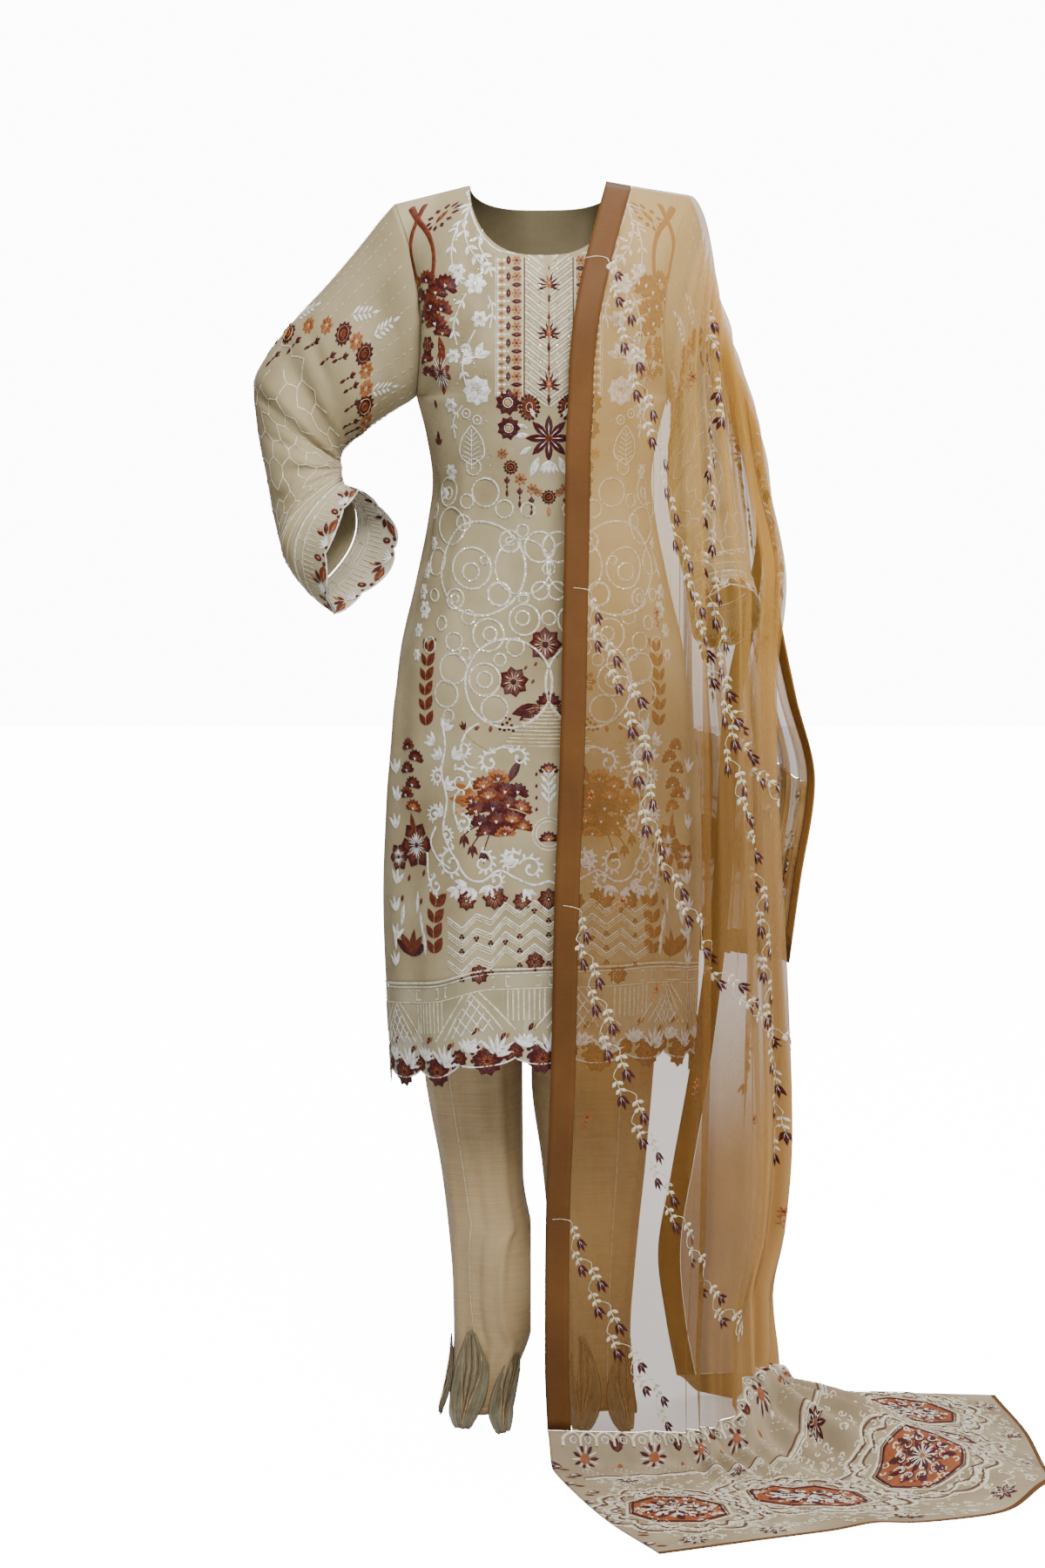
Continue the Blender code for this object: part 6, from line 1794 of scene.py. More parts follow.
def urn(front):
    """Rust flowers over a mound of lines and beads, dark leaves and berries beside it."""
    for x, z, radius, turn in ((3, 933, 18, 0), (-32, 892, 16, 10)):
        front.at(rosette(radius, 8, "rust", "maroon", hole=0.22, width=1.2, vein="white",
                         under="maroon"), x, z, turn)
    front.at(rosette(14, 8, "rust", "beige", hole=0.25, width=1.2, vein="white"), 46, 892)
    for x, z in ((-20, 905), (-9, 909), (-12, 890), (24, 905), (30, 896)):
        front.at(Sketch().leaf(0, 0, 6, 3.6, 60, "rust", rows=3).disc(2, 3, 1.2, "maroon"), x, z)
    front.at(half_flower(15), AXIS, 867)
    for turn, length in ((196, 30), (214, 26), (228, 16)):
        leaf = Sketch().leaf(0, 0, 1.15 * length, 0.46 * length, turn, "maroon", rows=5)
        leaf.leaf(0, 0, 0.86 * length, 0.05 * length, turn, "beige", rows=2, height=1.2)
        leaf.leaf(-3, -0.4, 0.5 * length, 0.10 * length, turn + 14, "rust", rows=2, height=1.1)
        front.both(leaf, -1, 866)
    berries = Sketch()
    for x, y in ((0, 0), (5, -3), (-5, -2), (2, -7), (-3, -8), (7, -9), (-8, -7), (3, 4), (-2, 6)):
        berries.disc(x, y, 1.9, "maroon", sides=6, height=0.9)
    front.both(berries, -39, 847)
    mound = Sketch()
    for k in range(11):
        y = 4.2 * k
        reach = 50.0 - 3.1 * k
        mound.line([(-reach, y), (0, y - 1.0), (reach, y)], 1.4, "cream")
        mound.beads([(-reach + 1, y + 2.1), (reach - 1, y + 2.1)], "beige", 0.9, every=2.6)
    front.at(mound, AXIS, 822)
    front.along([(-86, 838), (-78, 828), (-66, 820), (-52, 812)], plain_line(1.1, "beige"))
    front.both(tulip(11, "maroon", "rust"), -86, 838, 20)
    front.both(tulip(8, "rust", "copper"), -74, 838, -20)
    front.both(Sketch().leaf(0, 0, 8, 4.5, 80, "rust"), -58, 836)


def centre_column(front):
    """Leaves, a double ring and dark flowers below the urn."""
    dark = half_flower(12, "maroon", "copper")
    front.at(dark, AXIS, 792)
    leaves = Sketch().line([(0, 0), (0, -52)], 1.2, "white")
    for k in range(4):
        leaves.leaves((124, 56), 0, -10 - 9 * k, 15, 4, "white", height=0.9)
        leaves.leaf(-14, -8 - 13 * k, 5, 3.4, 80, "maroon", rows=3)
        leaves.leaf(14, -8 - 13 * k, 5, 3.4, 100, "maroon", rows=3)
    front.at(leaves, AXIS, 796)
    front.at(Sketch().ring(0, 0, 18, 1.6, "cream").ring(0, 0, 14, 1.0, "white"), AXIS, 724)
    front.at(dark, AXIS, 716)


def side_branches(front):
    """Rust branches, tall flowers and white sprays along the front's sides."""
    front.both(branch_of_leaves([(0, 0), (-2, 50), (2, 98)], 6, 21, 10.5), -129, 832)
    front.half_flowers((
        (-150, 812, 14, 10, "rust", "maroon"), (-142, 800, 14, -8, "maroon", "rust"),
        (-151, 786, 14, 8, "maroon", "rust"), (-145, 770, 14, -4, "maroon", "rust"),
        (-152, 758, 14, 6, "rust", "maroon"), (-144, 744, 14, -6, "rust", "copper")))
    front.both(Sketch().leaf(0, 0, 30, 8, -80, "rust"), -147, 742)
    for x, z, radius in ((-140, 706, 25), (-161, 690, 15)):
        bloom = rosette(radius, 6, "rust", "maroon", hole=0.20, width=1.1, under="maroon")
        bloom.leaves(directions(18), 0, 0, 0.66 * radius, 0.05 * radius, "white", rows=2,
                     height=1.6)
        front.both(bloom.disc(0, 0, 0.16 * radius, "maroon", height=2.0), x, z, 8)
    for x, z in ((-133, 672), (-150, 664), (-136, 640), (-158, 640)):
        leaf = Sketch().leaf(0, 0, 9, 5, 70, "rust", rows=3)
        front.both(leaf.leaf(0, 0, 7, 1.2, 70, "maroon", rows=2, height=1.2), x, z)
    front.both(branch_of_leaves([(0, 0), (-1, 34), (4, 70)], 4, 23, 12), -120, 582)
    flower = Sketch()
    for turn, thread in ((90, "rust"), (60, "rust"), (120, "rust"), (40, "maroon"),
                         (140, "maroon")):
        flower.leaf(0, 0, 32, 11, turn, thread, rows=5, bend=0.12 if turn > 90 else -0.12)
    front.both(flower, -145, 580)
    for x, z, turn in ((-158, 612, 80), (-133, 606, 100), (-164, 584, 95), (-130, 584, 95),
                       (-140, 628, 84)):
        front.both(Sketch().leaf(0, 0, 28, 6, turn, "white", rows=5), x, z)
    for z, lean in ((566, 12), (597, -12), (628, 12), (659, -12), (721, 12), (752, -12), (783, 12)):
        front.both(spray([92 + lean + side for side in THREE], 19, 5.5), -164, z)


def skirt(front):
    ring_work(front)
    urn(front)
    front.both(bouquet(50, 3), -50, 748)
    centre_column(front)
    for x, z, radius, turns, start in SCROLLS:
        front.both(scroll(radius, turns, start), x, z)
    for path in SCROLL_STEMS:
        front.along(path, plain_line(2.6, "white", 0.8))
    for x, z, turn in SCROLL_LEAVES:
        front.both(spray([turn + side for side in THREE], 16, 6.0), x, z)
    side_branches(front)


def border(front, low=-108.0):
    """Rosettes over four rows of zigzags with trefoils."""
    def rise(x):
        return 1000.0 * float(hem_rise(x / 172.0)) * 0.8

    def flower(radius, vein=None):
        return rosette(radius, 8, "rust", "maroon", hole=0.24, width=1.2, vein=vein,
                       under="maroon")
    for x, z, radius in ((-84, 650, 10.5), (-53, 654, 13.0), (-22, 650, 10.5), (AXIS, 652, 12.0)):
        front.both(flower(radius, "copper").disc(0, 0, 1.6, "white", sides=7, height=1.7), x, z)
    half = 0.5 * ZIGZAG_PERIOD
    count = int((AXIS - low) / half)
    for row in range(4):
        base = 628.0 - ZIGZAG_PITCH * row
        for shift, width, thread in ((0.0, 1.6, "white"), (-3.2, 1.3, "cream"),
                                     (-6.2, 1.3, "cream")):
            corners = []
            for k in range(-count, count + 1):
                x = AXIS + half * k
                corners.append((x, base + shift + (ZIGZAG_DEPTH if k % 2 else 0.0) + rise(x)))
            for (x, z), (next_x, next_z) in zip(corners[:-1], corners[1:]):
                path = np.array([(x + (next_x - x) * t, z + (next_z - z) * t)
                                 for t in (0.0, 0.5, 1.0)])
                path[:, 0] = front.arc.arc(*path.T)
                front.work.put(Sketch().line(path, width, thread))
        for k in range(-count + 1, count):
            x = AXIS + half * k
            lift = ZIGZAG_DEPTH + 4.5 if k % 2 else -9.5
            if (row + k) % 3 == 0 or (row in (1, 3) and k % 2 == 0):
                front.at(trefoil(), x, base + lift + rise(x), 0 if k % 2 else 180)
    for x in (-70, -8):
        front.both(flower(10.5), x, 573 + rise(x))


class LaceWork:
    """Embroidery on a hem lace, placed by the place across and mm over the lace's own line."""

    def __init__(self, front):
        self.front = front

    def place(self, u, z):
        """Arc length and height in mm."""
        arc = self.front.arc
        height = z + 1000.0 * float(hem_rise(u if arc.facing < 0 else -u))
        row = arc.rows(np.array([height * MM]))[0][0]
        return float(np.interp(u, arc.u, arc.run[row]) / MM), height

    def stroke(self, points, width, thread, height=0.5):
        self.front.work.put(Sketch().line([self.place(u, z) for u, z in points], width, thread,
                                          height))

    def motif(self, sketch, u, z, turn=0.0):
        x, height = self.place(u, z)
        self.front.work.put(sketch, x * MM, height * MM, turn)


def lace_block(lace, start):
    """A framed block of ribs, and a framed peak filled with a lattice."""
    rib_width = 0.16
    for edge, wide in ((0.0, 0.15), (rib_width + 0.01, 0.22)):
        frame_line = [(start + edge + a * wide, z)
                      for a, z in ((0.04, 544.0), (0.04, 555.0), (0.96, 555.0), (0.96, 544.0),
                                   (0.04, 544.0))]
        if frame_line[2][0] < LACE_REACH:
            lace.stroke(frame_line, 1.8, "cream")
    for u in np.linspace(start + 0.012, start + rib_width, 8):
        if u < LACE_REACH:
            lace.stroke([(u, 540.0), (u, 525.0), (u, 506.0)], 1.7, "cream")
    peak = start + rib_width + 0.13
    for low_at, high_at in ((-0.12, 0.0), (0.12, 0.0), (-0.17, -0.03), (0.17, 0.03)):
        ends = [(peak + low_at, 496.0), (peak + 0.5 * (low_at + high_at), 518.0),
                (peak + high_at, 540.0)]
        if max(u for u, _ in ends) < LACE_REACH:
            lace.stroke(ends, 2.4, "cream")
    for slope in (-1, 1):
        for j in range(-4, 5):
            line = [(peak + 0.042 * j + slope * 0.10 * t, 496.0 + 40.0 * t)
                    for t in np.linspace(0.0, 1.0, 17)]
            line = [(u, z) for u, z in line
                    if z < 539.0 - 44.0 * abs(u - peak) / 0.12 and u < LACE_REACH]
            if len(line) > 3:
                lace.stroke(line, 1.5, "white")


def lace_flower(size):
    """A dark flower of nine petals."""
    flower = Sketch()
    for turn in directions(9, 8.0):
        flower.leaf(0, 0, 19.0 * size, 11.5 * size, turn, "maroon", belly=1.7)
        flower.leaf(0, 0, 15.0 * size, 4.4 * size, turn, "rust", belly=1.5, rows=3, height=1.1)
        flower.leaf(0, 0, 9.0 * size, 1.6 * size, turn + 20, "copper", rows=2, height=1.4)
    return flower.disc(0, 0, 3.4 * size, "maroon", height=1.9)


def hem_lace_work(front):
    """Corded blocks, fine ribs and lattices over a scalloped edge of leaves and dark flowers."""
    lace = LaceWork(front)
    long_run = np.linspace(-LACE_REACH, LACE_REACH, 121)
    for z, width, thread in ((563.0, 2.4, "cream"), (558.5, 1.2, "white"), (541.0, 1.4, "cream")):
        lace.stroke([(u, z) for u in long_run], width, thread)
    for k in range(5):
        lace_block(lace, -0.99 + 0.42 * k)
    rng = np.random.default_rng(8)
    for k in range(HEM_SCALLOPS):
        middle = -1.0 + LACE_REPEAT * (k + 0.5)
        for shift, z, size in ((0.0, 462.0, 0.92), (0.5 * LACE_REPEAT, 472.0, 0.55)):
            u = middle + shift
            if u > 0.97:
                continue
            lace.motif(lace_flower(size), u, z, rng.uniform(-10, 10))
            lace.motif(spray((28, 52, 76, 98, 120, 144), 27 * size + 2, 5.0, rows=5), u + 0.036,
                       z + 4.0, -10)
            lace.motif(Sketch().leaf(0, 0, 11, 5.2, 60, "maroon")
                       .leaf(2, 3, 5, 2.0, 60, "copper", rows=2, height=1.2), u + 0.055, z + 22.0)
            lace.motif(Sketch().leaf(0, 0, 8, 3.6, 70, "copper", rows=3), u + 0.078, z + 24.0)
            for du, dz in ((0.055, 2.0), (0.070, 4.0), (0.048, 9.0), (-0.056, 3.0)):
                lace.motif(Sketch().disc(0, 0, 2.6, "maroon", sides=7), u + du, z + dz)
            lace.motif(Sketch().leaf(0, 0, 13, 5, 100, "maroon").leaf(0, 0, 11, 4, 62, "rust"),
                       u + 0.082, z - 2.0)
            lace.motif(Sketch().leaves((140, 40, 90), 0, 0, 10, 3.2, "white"), u + 0.066, z + 9.0)
    edge = np.linspace(-0.998, 0.998, 289)
    drop = HEM_SCALLOP_DEPTH - scallop(0.5 * (edge + 1.0), HEM_SCALLOPS, HEM_SCALLOP_DEPTH)
    lace.stroke([(u, 1000.0 * (HEM_LEVEL + d) + 1.2) for u, d in zip(edge, drop)], 2.0, "white",
                0.8)


def back_flowers(back):
    """Rows of small white flowers with a leafy stem below each."""
    chance = np.random.default_rng(12)
    flower = open_flower(8)
    stem = leafy_stem()
    for row in range(8):
        for column in range(-2, 3):
            x = 46.0 * column + (23.0 if row % 2 else 0.0)
            z = 716.0 + 58.0 * row
            if abs(x) > 112:
                continue
            back.at(flower, x, z, chance.uniform(0, 60))
            back.at(stem, x, z - 8)


def make_kameez_work(looks):
    """The embroidery of both panels and their laces, by piece: name, facing, slot, makers."""
    for name, facing, slot, makers in (
            ("kameez_front_embroidery_upper", -1.0, "kameez_net",
             (chevrons, neck_borders, neck_drop, cords, shoulder_flowers, white_stems)),
            ("kameez_front_embroidery_skirt", -1.0, "kameez_net", (skirt, border)),
            ("hem_lace_front_embroidery", -1.0, "white_lace", (hem_lace_work,)),
            ("kameez_back_embroidery", 1.0, "kameez_net", (border, back_flowers)),
            ("hem_lace_back_embroidery", 1.0, "white_lace", (hem_lace_work,))):
        panel = PanelWork(name, facing)
        for maker in makers:
            maker(panel)
        panel.work.sew(looks, slot)


# threads: colour, roughness, and what else differs from a plain one
THREAD_LOOKS = {
    "white": ("thread_white", (228, 225, 214), 0.42, {"spread": 0.24}),
    "cream": ("thread_cream", (214, 203, 174), 0.40, {}),
    "maroon": ("thread_maroon", (66, 7, 10), 0.45, {"specular": 0.25, "sheen": 0.0}),
    "rust": ("thread_rust", (100, 41, 14), 0.45, {"specular": 0.25, "sheen": 0.0}),
    "copper": ("thread_copper", (154, 90, 40), 0.42, {"specular": 0.3, "sheen": 0.0}),
    "clay": ("thread_clay", (142, 76, 40), 0.55,
             {"spread": 0.10, "specular": 0.25, "sheen": 0.0}),
    "brown": ("thread_brown", (92, 58, 38), 0.50, {"specular": 0.3, "sheen": 0.0}),
    "beige": ("thread_beige", (180, 148, 98), 0.45, {"sheen": 0.0}),
    "sequin": ("sequin_film", (240, 236, 224), 0.12,
               {"metal": 0.85, "spread": 0.04, "sheen": 0.0}),
}


def thread_looks():
    return {key: thread(name, colour, rough, **rest)
            for key, (name, colour, rough, rest) in THREAD_LOOKS.items()}


# ---------------------------------------------------------------- sleeves and cuffs
# the garland's dark medallions: place round the sleeve, distance along it
GARLAND = ((0.068, 0.172), (0.208, 0.107), (0.276, 0.087), (0.376, 0.103), (0.500, 0.128),
           (0.660, 0.150), (0.860, 0.178))
CRACKLE = (0.176, 0.418)       # stretch of a sleeve with the pale cell lines
CRACKLE_CELLS = 14             # round the sleeve
CRACKLE_ROWS = 9
ROUND = (-1.0, 2.0)            # range of places round a sleeve, once round and beyond
MEASURED = (-0.1, 1.2)         # range of the places at which its scale is measured


def crackle(work, low, high, seed):
    """Pale lines in uneven six-sided cells all round the sleeve."""
    chance = np.random.default_rng(seed)
    pitch = (high - low) / CRACKLE_ROWS
    count = 2 * CRACKLE_CELLS
    node = np.empty((CRACKLE_ROWS + 1, count, 2))
    for r in range(CRACKLE_ROWS + 1):
        for k in range(count):
            up = 1.0 if (k + r) % 2 == 0 else -1.0
            node[r, k] = ((k + chance.uniform(-0.22, 0.22)) / count,
                          low + pitch * (r + 0.17 * up + chance.uniform(-0.16, 0.16)))
    for r in range(CRACKLE_ROWS + 1):
        for k in range(count):
            links = [(r, k + 1)]
            if (k + r) % 2 == 0 and r < CRACKLE_ROWS:
                links.append((r + 1, k))
            for row, column in links:
                if chance.random() < 0.16:
                    continue
                start = node[r, k]
                end = node[row, column % count] + (1.0 if column == count else 0.0, 0.0)
                bend = 0.5 * (start + end) + (0.0, chance.uniform(-0.0012, 0.0012))
                work.trace([start, bend, end], 1.3, "cream", 0.4)


def sleeve_work(name, surface, seam, outward, seed):
    """Long stitches from the shoulder to a garland, cell lines below it and lines by the cuff."""
    work = Work(name, cloth_of(surface, outward, ROUND, (0.0, seam)),
                scale_of(surface, MEASURED, (0.0, seam)))
    chance = np.random.default_rng(seed)
    crackle(work, *CRACKLE, seed)
    first = GARLAND[0]
    stops = list(GARLAND) + [(first[0] + 1.0, first[1])]
    garland = np.array(stops).T
    for place in np.arange(0.0, 1.0, 0.036):
        low = float(np.interp(place if place > first[0] else place + 1.0, *garland))
        lean = 0.012 * math.sin(9.0 * place)
        path = [(0, 0), (400 * lean, 1000 * (low - 0.035))]
        work.put(Sketch().dashes(path, "cream", 7.0, 1.6, 1.3), place, 0.014)
    flower = rosette(10.0, 8, "copper", "beige", hole=0.24, width=1.5, vein="rust")
    drop = berry_drop(25)
    leaf_spray = Sketch()
    for k in range(4):
        leaf_spray.leaves((-132, -48), 0, -5.0 * k, 9.0 - 0.8 * k, 2.8, "white", rows=3,
                          height=0.9)
    leaf_spray.leaf(0, -20, 9, 3, -90, "white", rows=3)
    for (u, v), (next_u, next_v) in zip(stops[:-1], stops[1:]):
        work.put(medallion(12.5), u, v)
        work.put(drop, u + 0.022, v + 0.016, 190)
        work.put(leaf_spray, u - 0.020, v - 0.017, 14 + chance.uniform(-14, 14), 1.35)
        gap = next_u - u
        flowers = 1 if gap < 0.08 else 2 if gap < 0.17 else 3
        for k in range(flowers):
            part = (k + 1.0) / (flowers + 1.0)
            bow = -0.004 * math.sin(math.pi * part)
            place = (u + gap * part, v + (next_v - v) * part + bow)
            work.put(flower, *place, chance.uniform(0, 45))
            work.put(drop, place[0] + 0.012, place[1] + 0.013, 190 + chance.uniform(-8, 8))
    for along, width in ((seam - 0.041, 1.6), (seam - 0.036, 1.0), (seam - 0.018, 1.2)):
        work.trace([(u, along) for u in np.linspace(0.0, 1.0, 73)], width, "cream", 0.5)
    return work


def cuff_motifs():
    """The motifs of one scallop, each with its place round and its distance from the edge."""
    petal = Sketch().leaf(-9, 0, 21, 9.5, 6, "rust", belly=1.2, rows=5)
    petal.leaf(-7, 1.0, 16, 3.2, 8, "copper", rows=3, height=1.1)
    petal.leaf(-10, -2.5, 15, 5.0, -22, "maroon", height=1.0)
    petal.leaf(-12, -4.0, 11, 4.4, -66, "maroon")
    petal.line([(-12, 3), (-2, 6.6), (12, 5.0)], 1.1, "white", height=1.0)
    hatch = Sketch().leaves((-30, -55, -80, -105, -130), 0, 0, 11, 2.4, "white", rows=3)
    ring = Sketch().disc(0, 0, 3.6, "maroon", tall=1.35)
    ring.disc(0, 0, 1.9, "copper", height=1.0, tall=1.4)
    made = [(petal, 0.066, 0.0085, 0), (hatch, 0.022, 0.0060, 0), (ring, 0.108, 0.0150, 20)]
    for u, v, radius in ((0.098, 0.0060, 2.4), (0.014, 0.0060, 2.2), (0.120, 0.0080, 2.0)):
        made.append((Sketch().disc(0, 0, radius, "maroon", sides=7), u, v, 0))
    made.append((Sketch().leaf(0, 0, 10, 3.2, -80, "copper", rows=3), 0.048, 0.0160, 0))
    return made


def cuff_work(name, surface, seam, end, outward, above):
    """Lines, boxes and ribs round a cuff, with flowers in its scallops."""
    work = Work(name, cloth_of(surface, outward, ROUND, (seam, end), above=above),
                scale_of(surface, MEASURED, (seam, end), rows=9))
    round_about = np.linspace(0.0, 1.0, 129)
    for along, width, thread in ((0.0022, 1.5, "cream"), (0.0052, 0.9, "white"),
                                 (0.0190, 1.1, "cream")):
        work.trace([(u, seam + along) for u in round_about], width, thread)
    edge = end - CUFF_SCALLOP_DEPTH + scallop(round_about, CUFF_SCALLOPS, CUFF_SCALLOP_DEPTH)
    work.trace(np.stack([round_about, edge - 0.0010], -1), 1.8, "white", 0.8)
    box = [(0.010, 0.0075), (0.080, 0.0075), (0.080, 0.0165), (0.010, 0.0165), (0.010, 0.0075)]
    for k in range(CUFF_SCALLOPS):
        start = k / float(CUFF_SCALLOPS)
        work.trace([(start + u, seam + v) for u, v in box], 1.1, "cream")
        for u in np.linspace(0.006, 0.118, 9):
            work.trace([(start + u, seam + 0.021), (start + u, 0.5 * (seam + end)),
                        (start + u, end - 0.020)], 0.9, "cream")
        for sketch, u, v, turn in cuff_motifs():
            work.put(sketch, start + u, end - v, turn)
    return work


def make_sleeve_work(looks):
    for side, outward, table, folds, seam in SLEEVES:
        tube, cuff = sleeve_surfaces(side, outward, table, folds)
        work = sleeve_work("sleeve_%s_embroidery" % side, tube, seam, outward, 4 + len(side))
        work.sew(looks, "kameez_net")
        for face, sign, above in (("embroidery", 1.0, ABOVE_SHELL),
                                  ("inner_embroidery", -1.0, 0.0006)):
            work = cuff_work("cuff_%s_%s" % (side, face), cuff, seam, table[-1][0],
                             sign * outward, above)
            work.sew(looks, "white_lace")


# ---------------------------------------------------------------- dupatta and pallu
# share of the cloth's width against share of the draped width: it lies nearly flat by the near
# strip, and is gathered beyond
SPREAD = ((0.0, 0.0), (STRIP_SHARE, STRIP_SHARE), (0.17, 0.27), (0.31, 0.41), (0.62, 0.68),
          (1.0 - STRIP_SHARE, 1.0 - STRIP_SHARE), (1.0, 1.0))
SPREAD_TABLE = np.linspace(0.0, 1.0, 401)
SPREAD_PLACES = curve(*zip(*SPREAD))(SPREAD_TABLE)


def draped(share):
    """Share of the draped width for a share of the cloth's own width."""
    return np.interp(share, SPREAD_TABLE, SPREAD_PLACES)


def laid_out(across):
    """The cloth's own share for a share of the draped width."""
    return np.interp(across, SPREAD_PLACES, SPREAD_TABLE)


WORN_WIDTH = 0.85 * DUPATTA_WIDTH      # metres that motifs take the net's width for
PALLU_WIDTH = 0.80 * DUPATTA_WIDTH     # and the pallu's, whose motifs the photo shows wider
BACK_LENGTH = 0.90             # metres from the ridge to the back drop's end
PALLU_EDGE = 0.985             # share of the pallu's length at which its piping starts
WHOLE = ((0.0, 1.0), (0.0, 1.0))
# vines on the front net: share of the draped width, share of the fall
VINES = (
    ((0.010, 0.062), (0.078, 0.086), (0.125, 0.116), (0.175, 0.148), (0.228, 0.185), (0.288, 0.226),
     (0.320, 0.262), (0.400, 0.330), (0.520, 0.410), (0.660, 0.480)),
    ((0.022, 0.318), (0.068, 0.352), (0.126, 0.379), (0.178, 0.402), (0.208, 0.450), (0.235, 0.498),
     (0.284, 0.527), (0.336, 0.560), (0.400, 0.590), (0.520, 0.650), (0.680, 0.720)),
    ((0.020, 0.567), (0.056, 0.606), (0.098, 0.641), (0.145, 0.682), (0.200, 0.727), (0.262, 0.768),
     (0.318, 0.818), (0.420, 0.884), (0.510, 0.944)),
    ((0.018, 0.822), (0.080, 0.862), (0.140, 0.902), (0.202, 0.938), (0.292, 0.980)),
    ((0.452, 0.040), (0.496, 0.090), (0.462, 0.150), (0.437, 0.205), (0.426, 0.262), (0.446, 0.320),
     (0.459, 0.380), (0.474, 0.445), (0.545, 0.508), (0.568, 0.570), (0.572, 0.640), (0.580, 0.700),
     (0.592, 0.790)),
    ((0.700, 0.100), (0.740, 0.250), (0.800, 0.400), (0.860, 0.560), (0.900, 0.700)),
)
BACK_VINES = (
    ((0.10, 0.10), (0.22, 0.24), (0.34, 0.42), (0.46, 0.62)),
    ((0.42, 0.06), (0.54, 0.22), (0.66, 0.40), (0.78, 0.60)),
    ((0.74, 0.06), (0.84, 0.22), (0.92, 0.36)),
)
# copper sprigs: share of the draped width, share of the fall, turn
SPRIGS = ((0.070, 0.735, 20), (0.500, 0.745, 15), (0.600, 0.850, -5), (0.262, 0.630, 15),
          (0.055, 0.478, 25), (0.250, 0.330, -20), (0.350, 0.700, 10), (0.160, 0.560, 30),
          (0.640, 0.300, 0), (0.720, 0.620, 10), (0.820, 0.820, 0), (0.380, 0.120, 15))


def vine(work, path, step=27.0):
    """Chains of two leaf pairs and a dark tulip, by turns on both sides of a looping stem."""
    leaves = Sketch().leaves((38, 142), 0, 0, 8.6, 0.52 * 8.6, "cream", belly=1.15, height=0.9)
    bud = tulip(17.0)
    for number, (u, v, along) in enumerate(work.walk(path, step)):
        side = 1.0 if number % 2 else -1.0
        off = 6.5 * side
        chain = Sketch()
        chain.line(flowing([(-17.0, -1.1 * off), (-12.0, 0.4 * off), (-5.0, 1.25 * off), (0.0, off),
                            (10.0, 0.9 * off), (18.0, 1.1 * off)], 4), 0.8, "cream", height=0.4)
        chain.put(leaves, 1.0, off, -90, 1.0)
        chain.put(leaves, 10.0, 0.9 * off, -98 if side > 0 else -82, 0.92)
        chain.put(bud, 17.0, 1.1 * off, -90)
        work.put(chain, u, v, along)


def make_vines(looks, front, back):
    plain_scale = scale_of(lambda u, v: drop_point(draped(u), v, True), *WHOLE)

    def worn(u, v):
        across, up = plain_scale(u, v)
        return max(across, WORN_WIDTH), up
    work = Work("dupatta_front_embroidery", cloth_of(front, -1.0, *WHOLE), worn)
    for path in VINES:
        vine(work, [(float(laid_out(u)), v) for u, v in path])
    for u, v, turn in SPRIGS:
        work.put(sprig(19.0), float(laid_out(u)), v, 180 + turn)
    work.sew(looks, "gold_net")
    work = Work("dupatta_back_embroidery", cloth_of(back, 1.0, *WHOLE),
                lambda u, v: (WORN_WIDTH, BACK_LENGTH))
    for path in BACK_VINES:
        vine(work, path)
    work.sew(looks, "gold_net")


def eight_sides(spokes, tall):
    """Points of an eight-sided outline of radius 1."""
    turn = circle(spokes)
    edge = math.cos(math.pi / 8) / np.cos(np.mod(turn, math.pi / 4) - math.pi / 8)
    return np.stack([edge * np.cos(turn), tall * edge * np.sin(turn)], -1)


def eight_sided(radius, thread, tall, rings=6, spokes=32):
    """A filled eight-sided ground, fine enough to follow the folds of the cloth."""
    reach = np.arange(1, rings + 1)[:, None, None] / rings * radius
    points = reach * eight_sides(spokes, tall)
    points = np.concatenate([[[0.0, 0.0]], points.reshape(-1, 2)])
    here = np.arange(spokes)
    after = (here + 1) % spokes
    triangles = [np.stack([np.zeros(spokes, int), 1 + here, 1 + after], -1)]
    for k in range(rings - 1):
        low, high = 1 + k * spokes, 1 + (k + 1) * spokes
        triangles.append(np.stack([low + here, high + here, high + after], -1))
        triangles.append(np.stack([low + here, high + after, low + after], -1))
    return Sketch().shape(points, np.full(len(points), 0.25), np.concatenate(triangles), points,
                          thread)


def cloud(reach, tall, lobes, bulge):
    """Points of a lobed outline."""
    angle = circle(12 * lobes)
    size = 1.0 + bulge * (np.abs(np.sin(0.5 * lobes * angle)) - 0.6)
    return np.stack([reach * size * np.cos(angle), tall * reach * size * np.sin(angle)], -1)


def small_scroll(chance, sizes, turns, points):
    """A small winding line of random size and direction."""
    return volute(chance.uniform(*sizes), turns, chance.uniform(0, 360), 0.5, points)


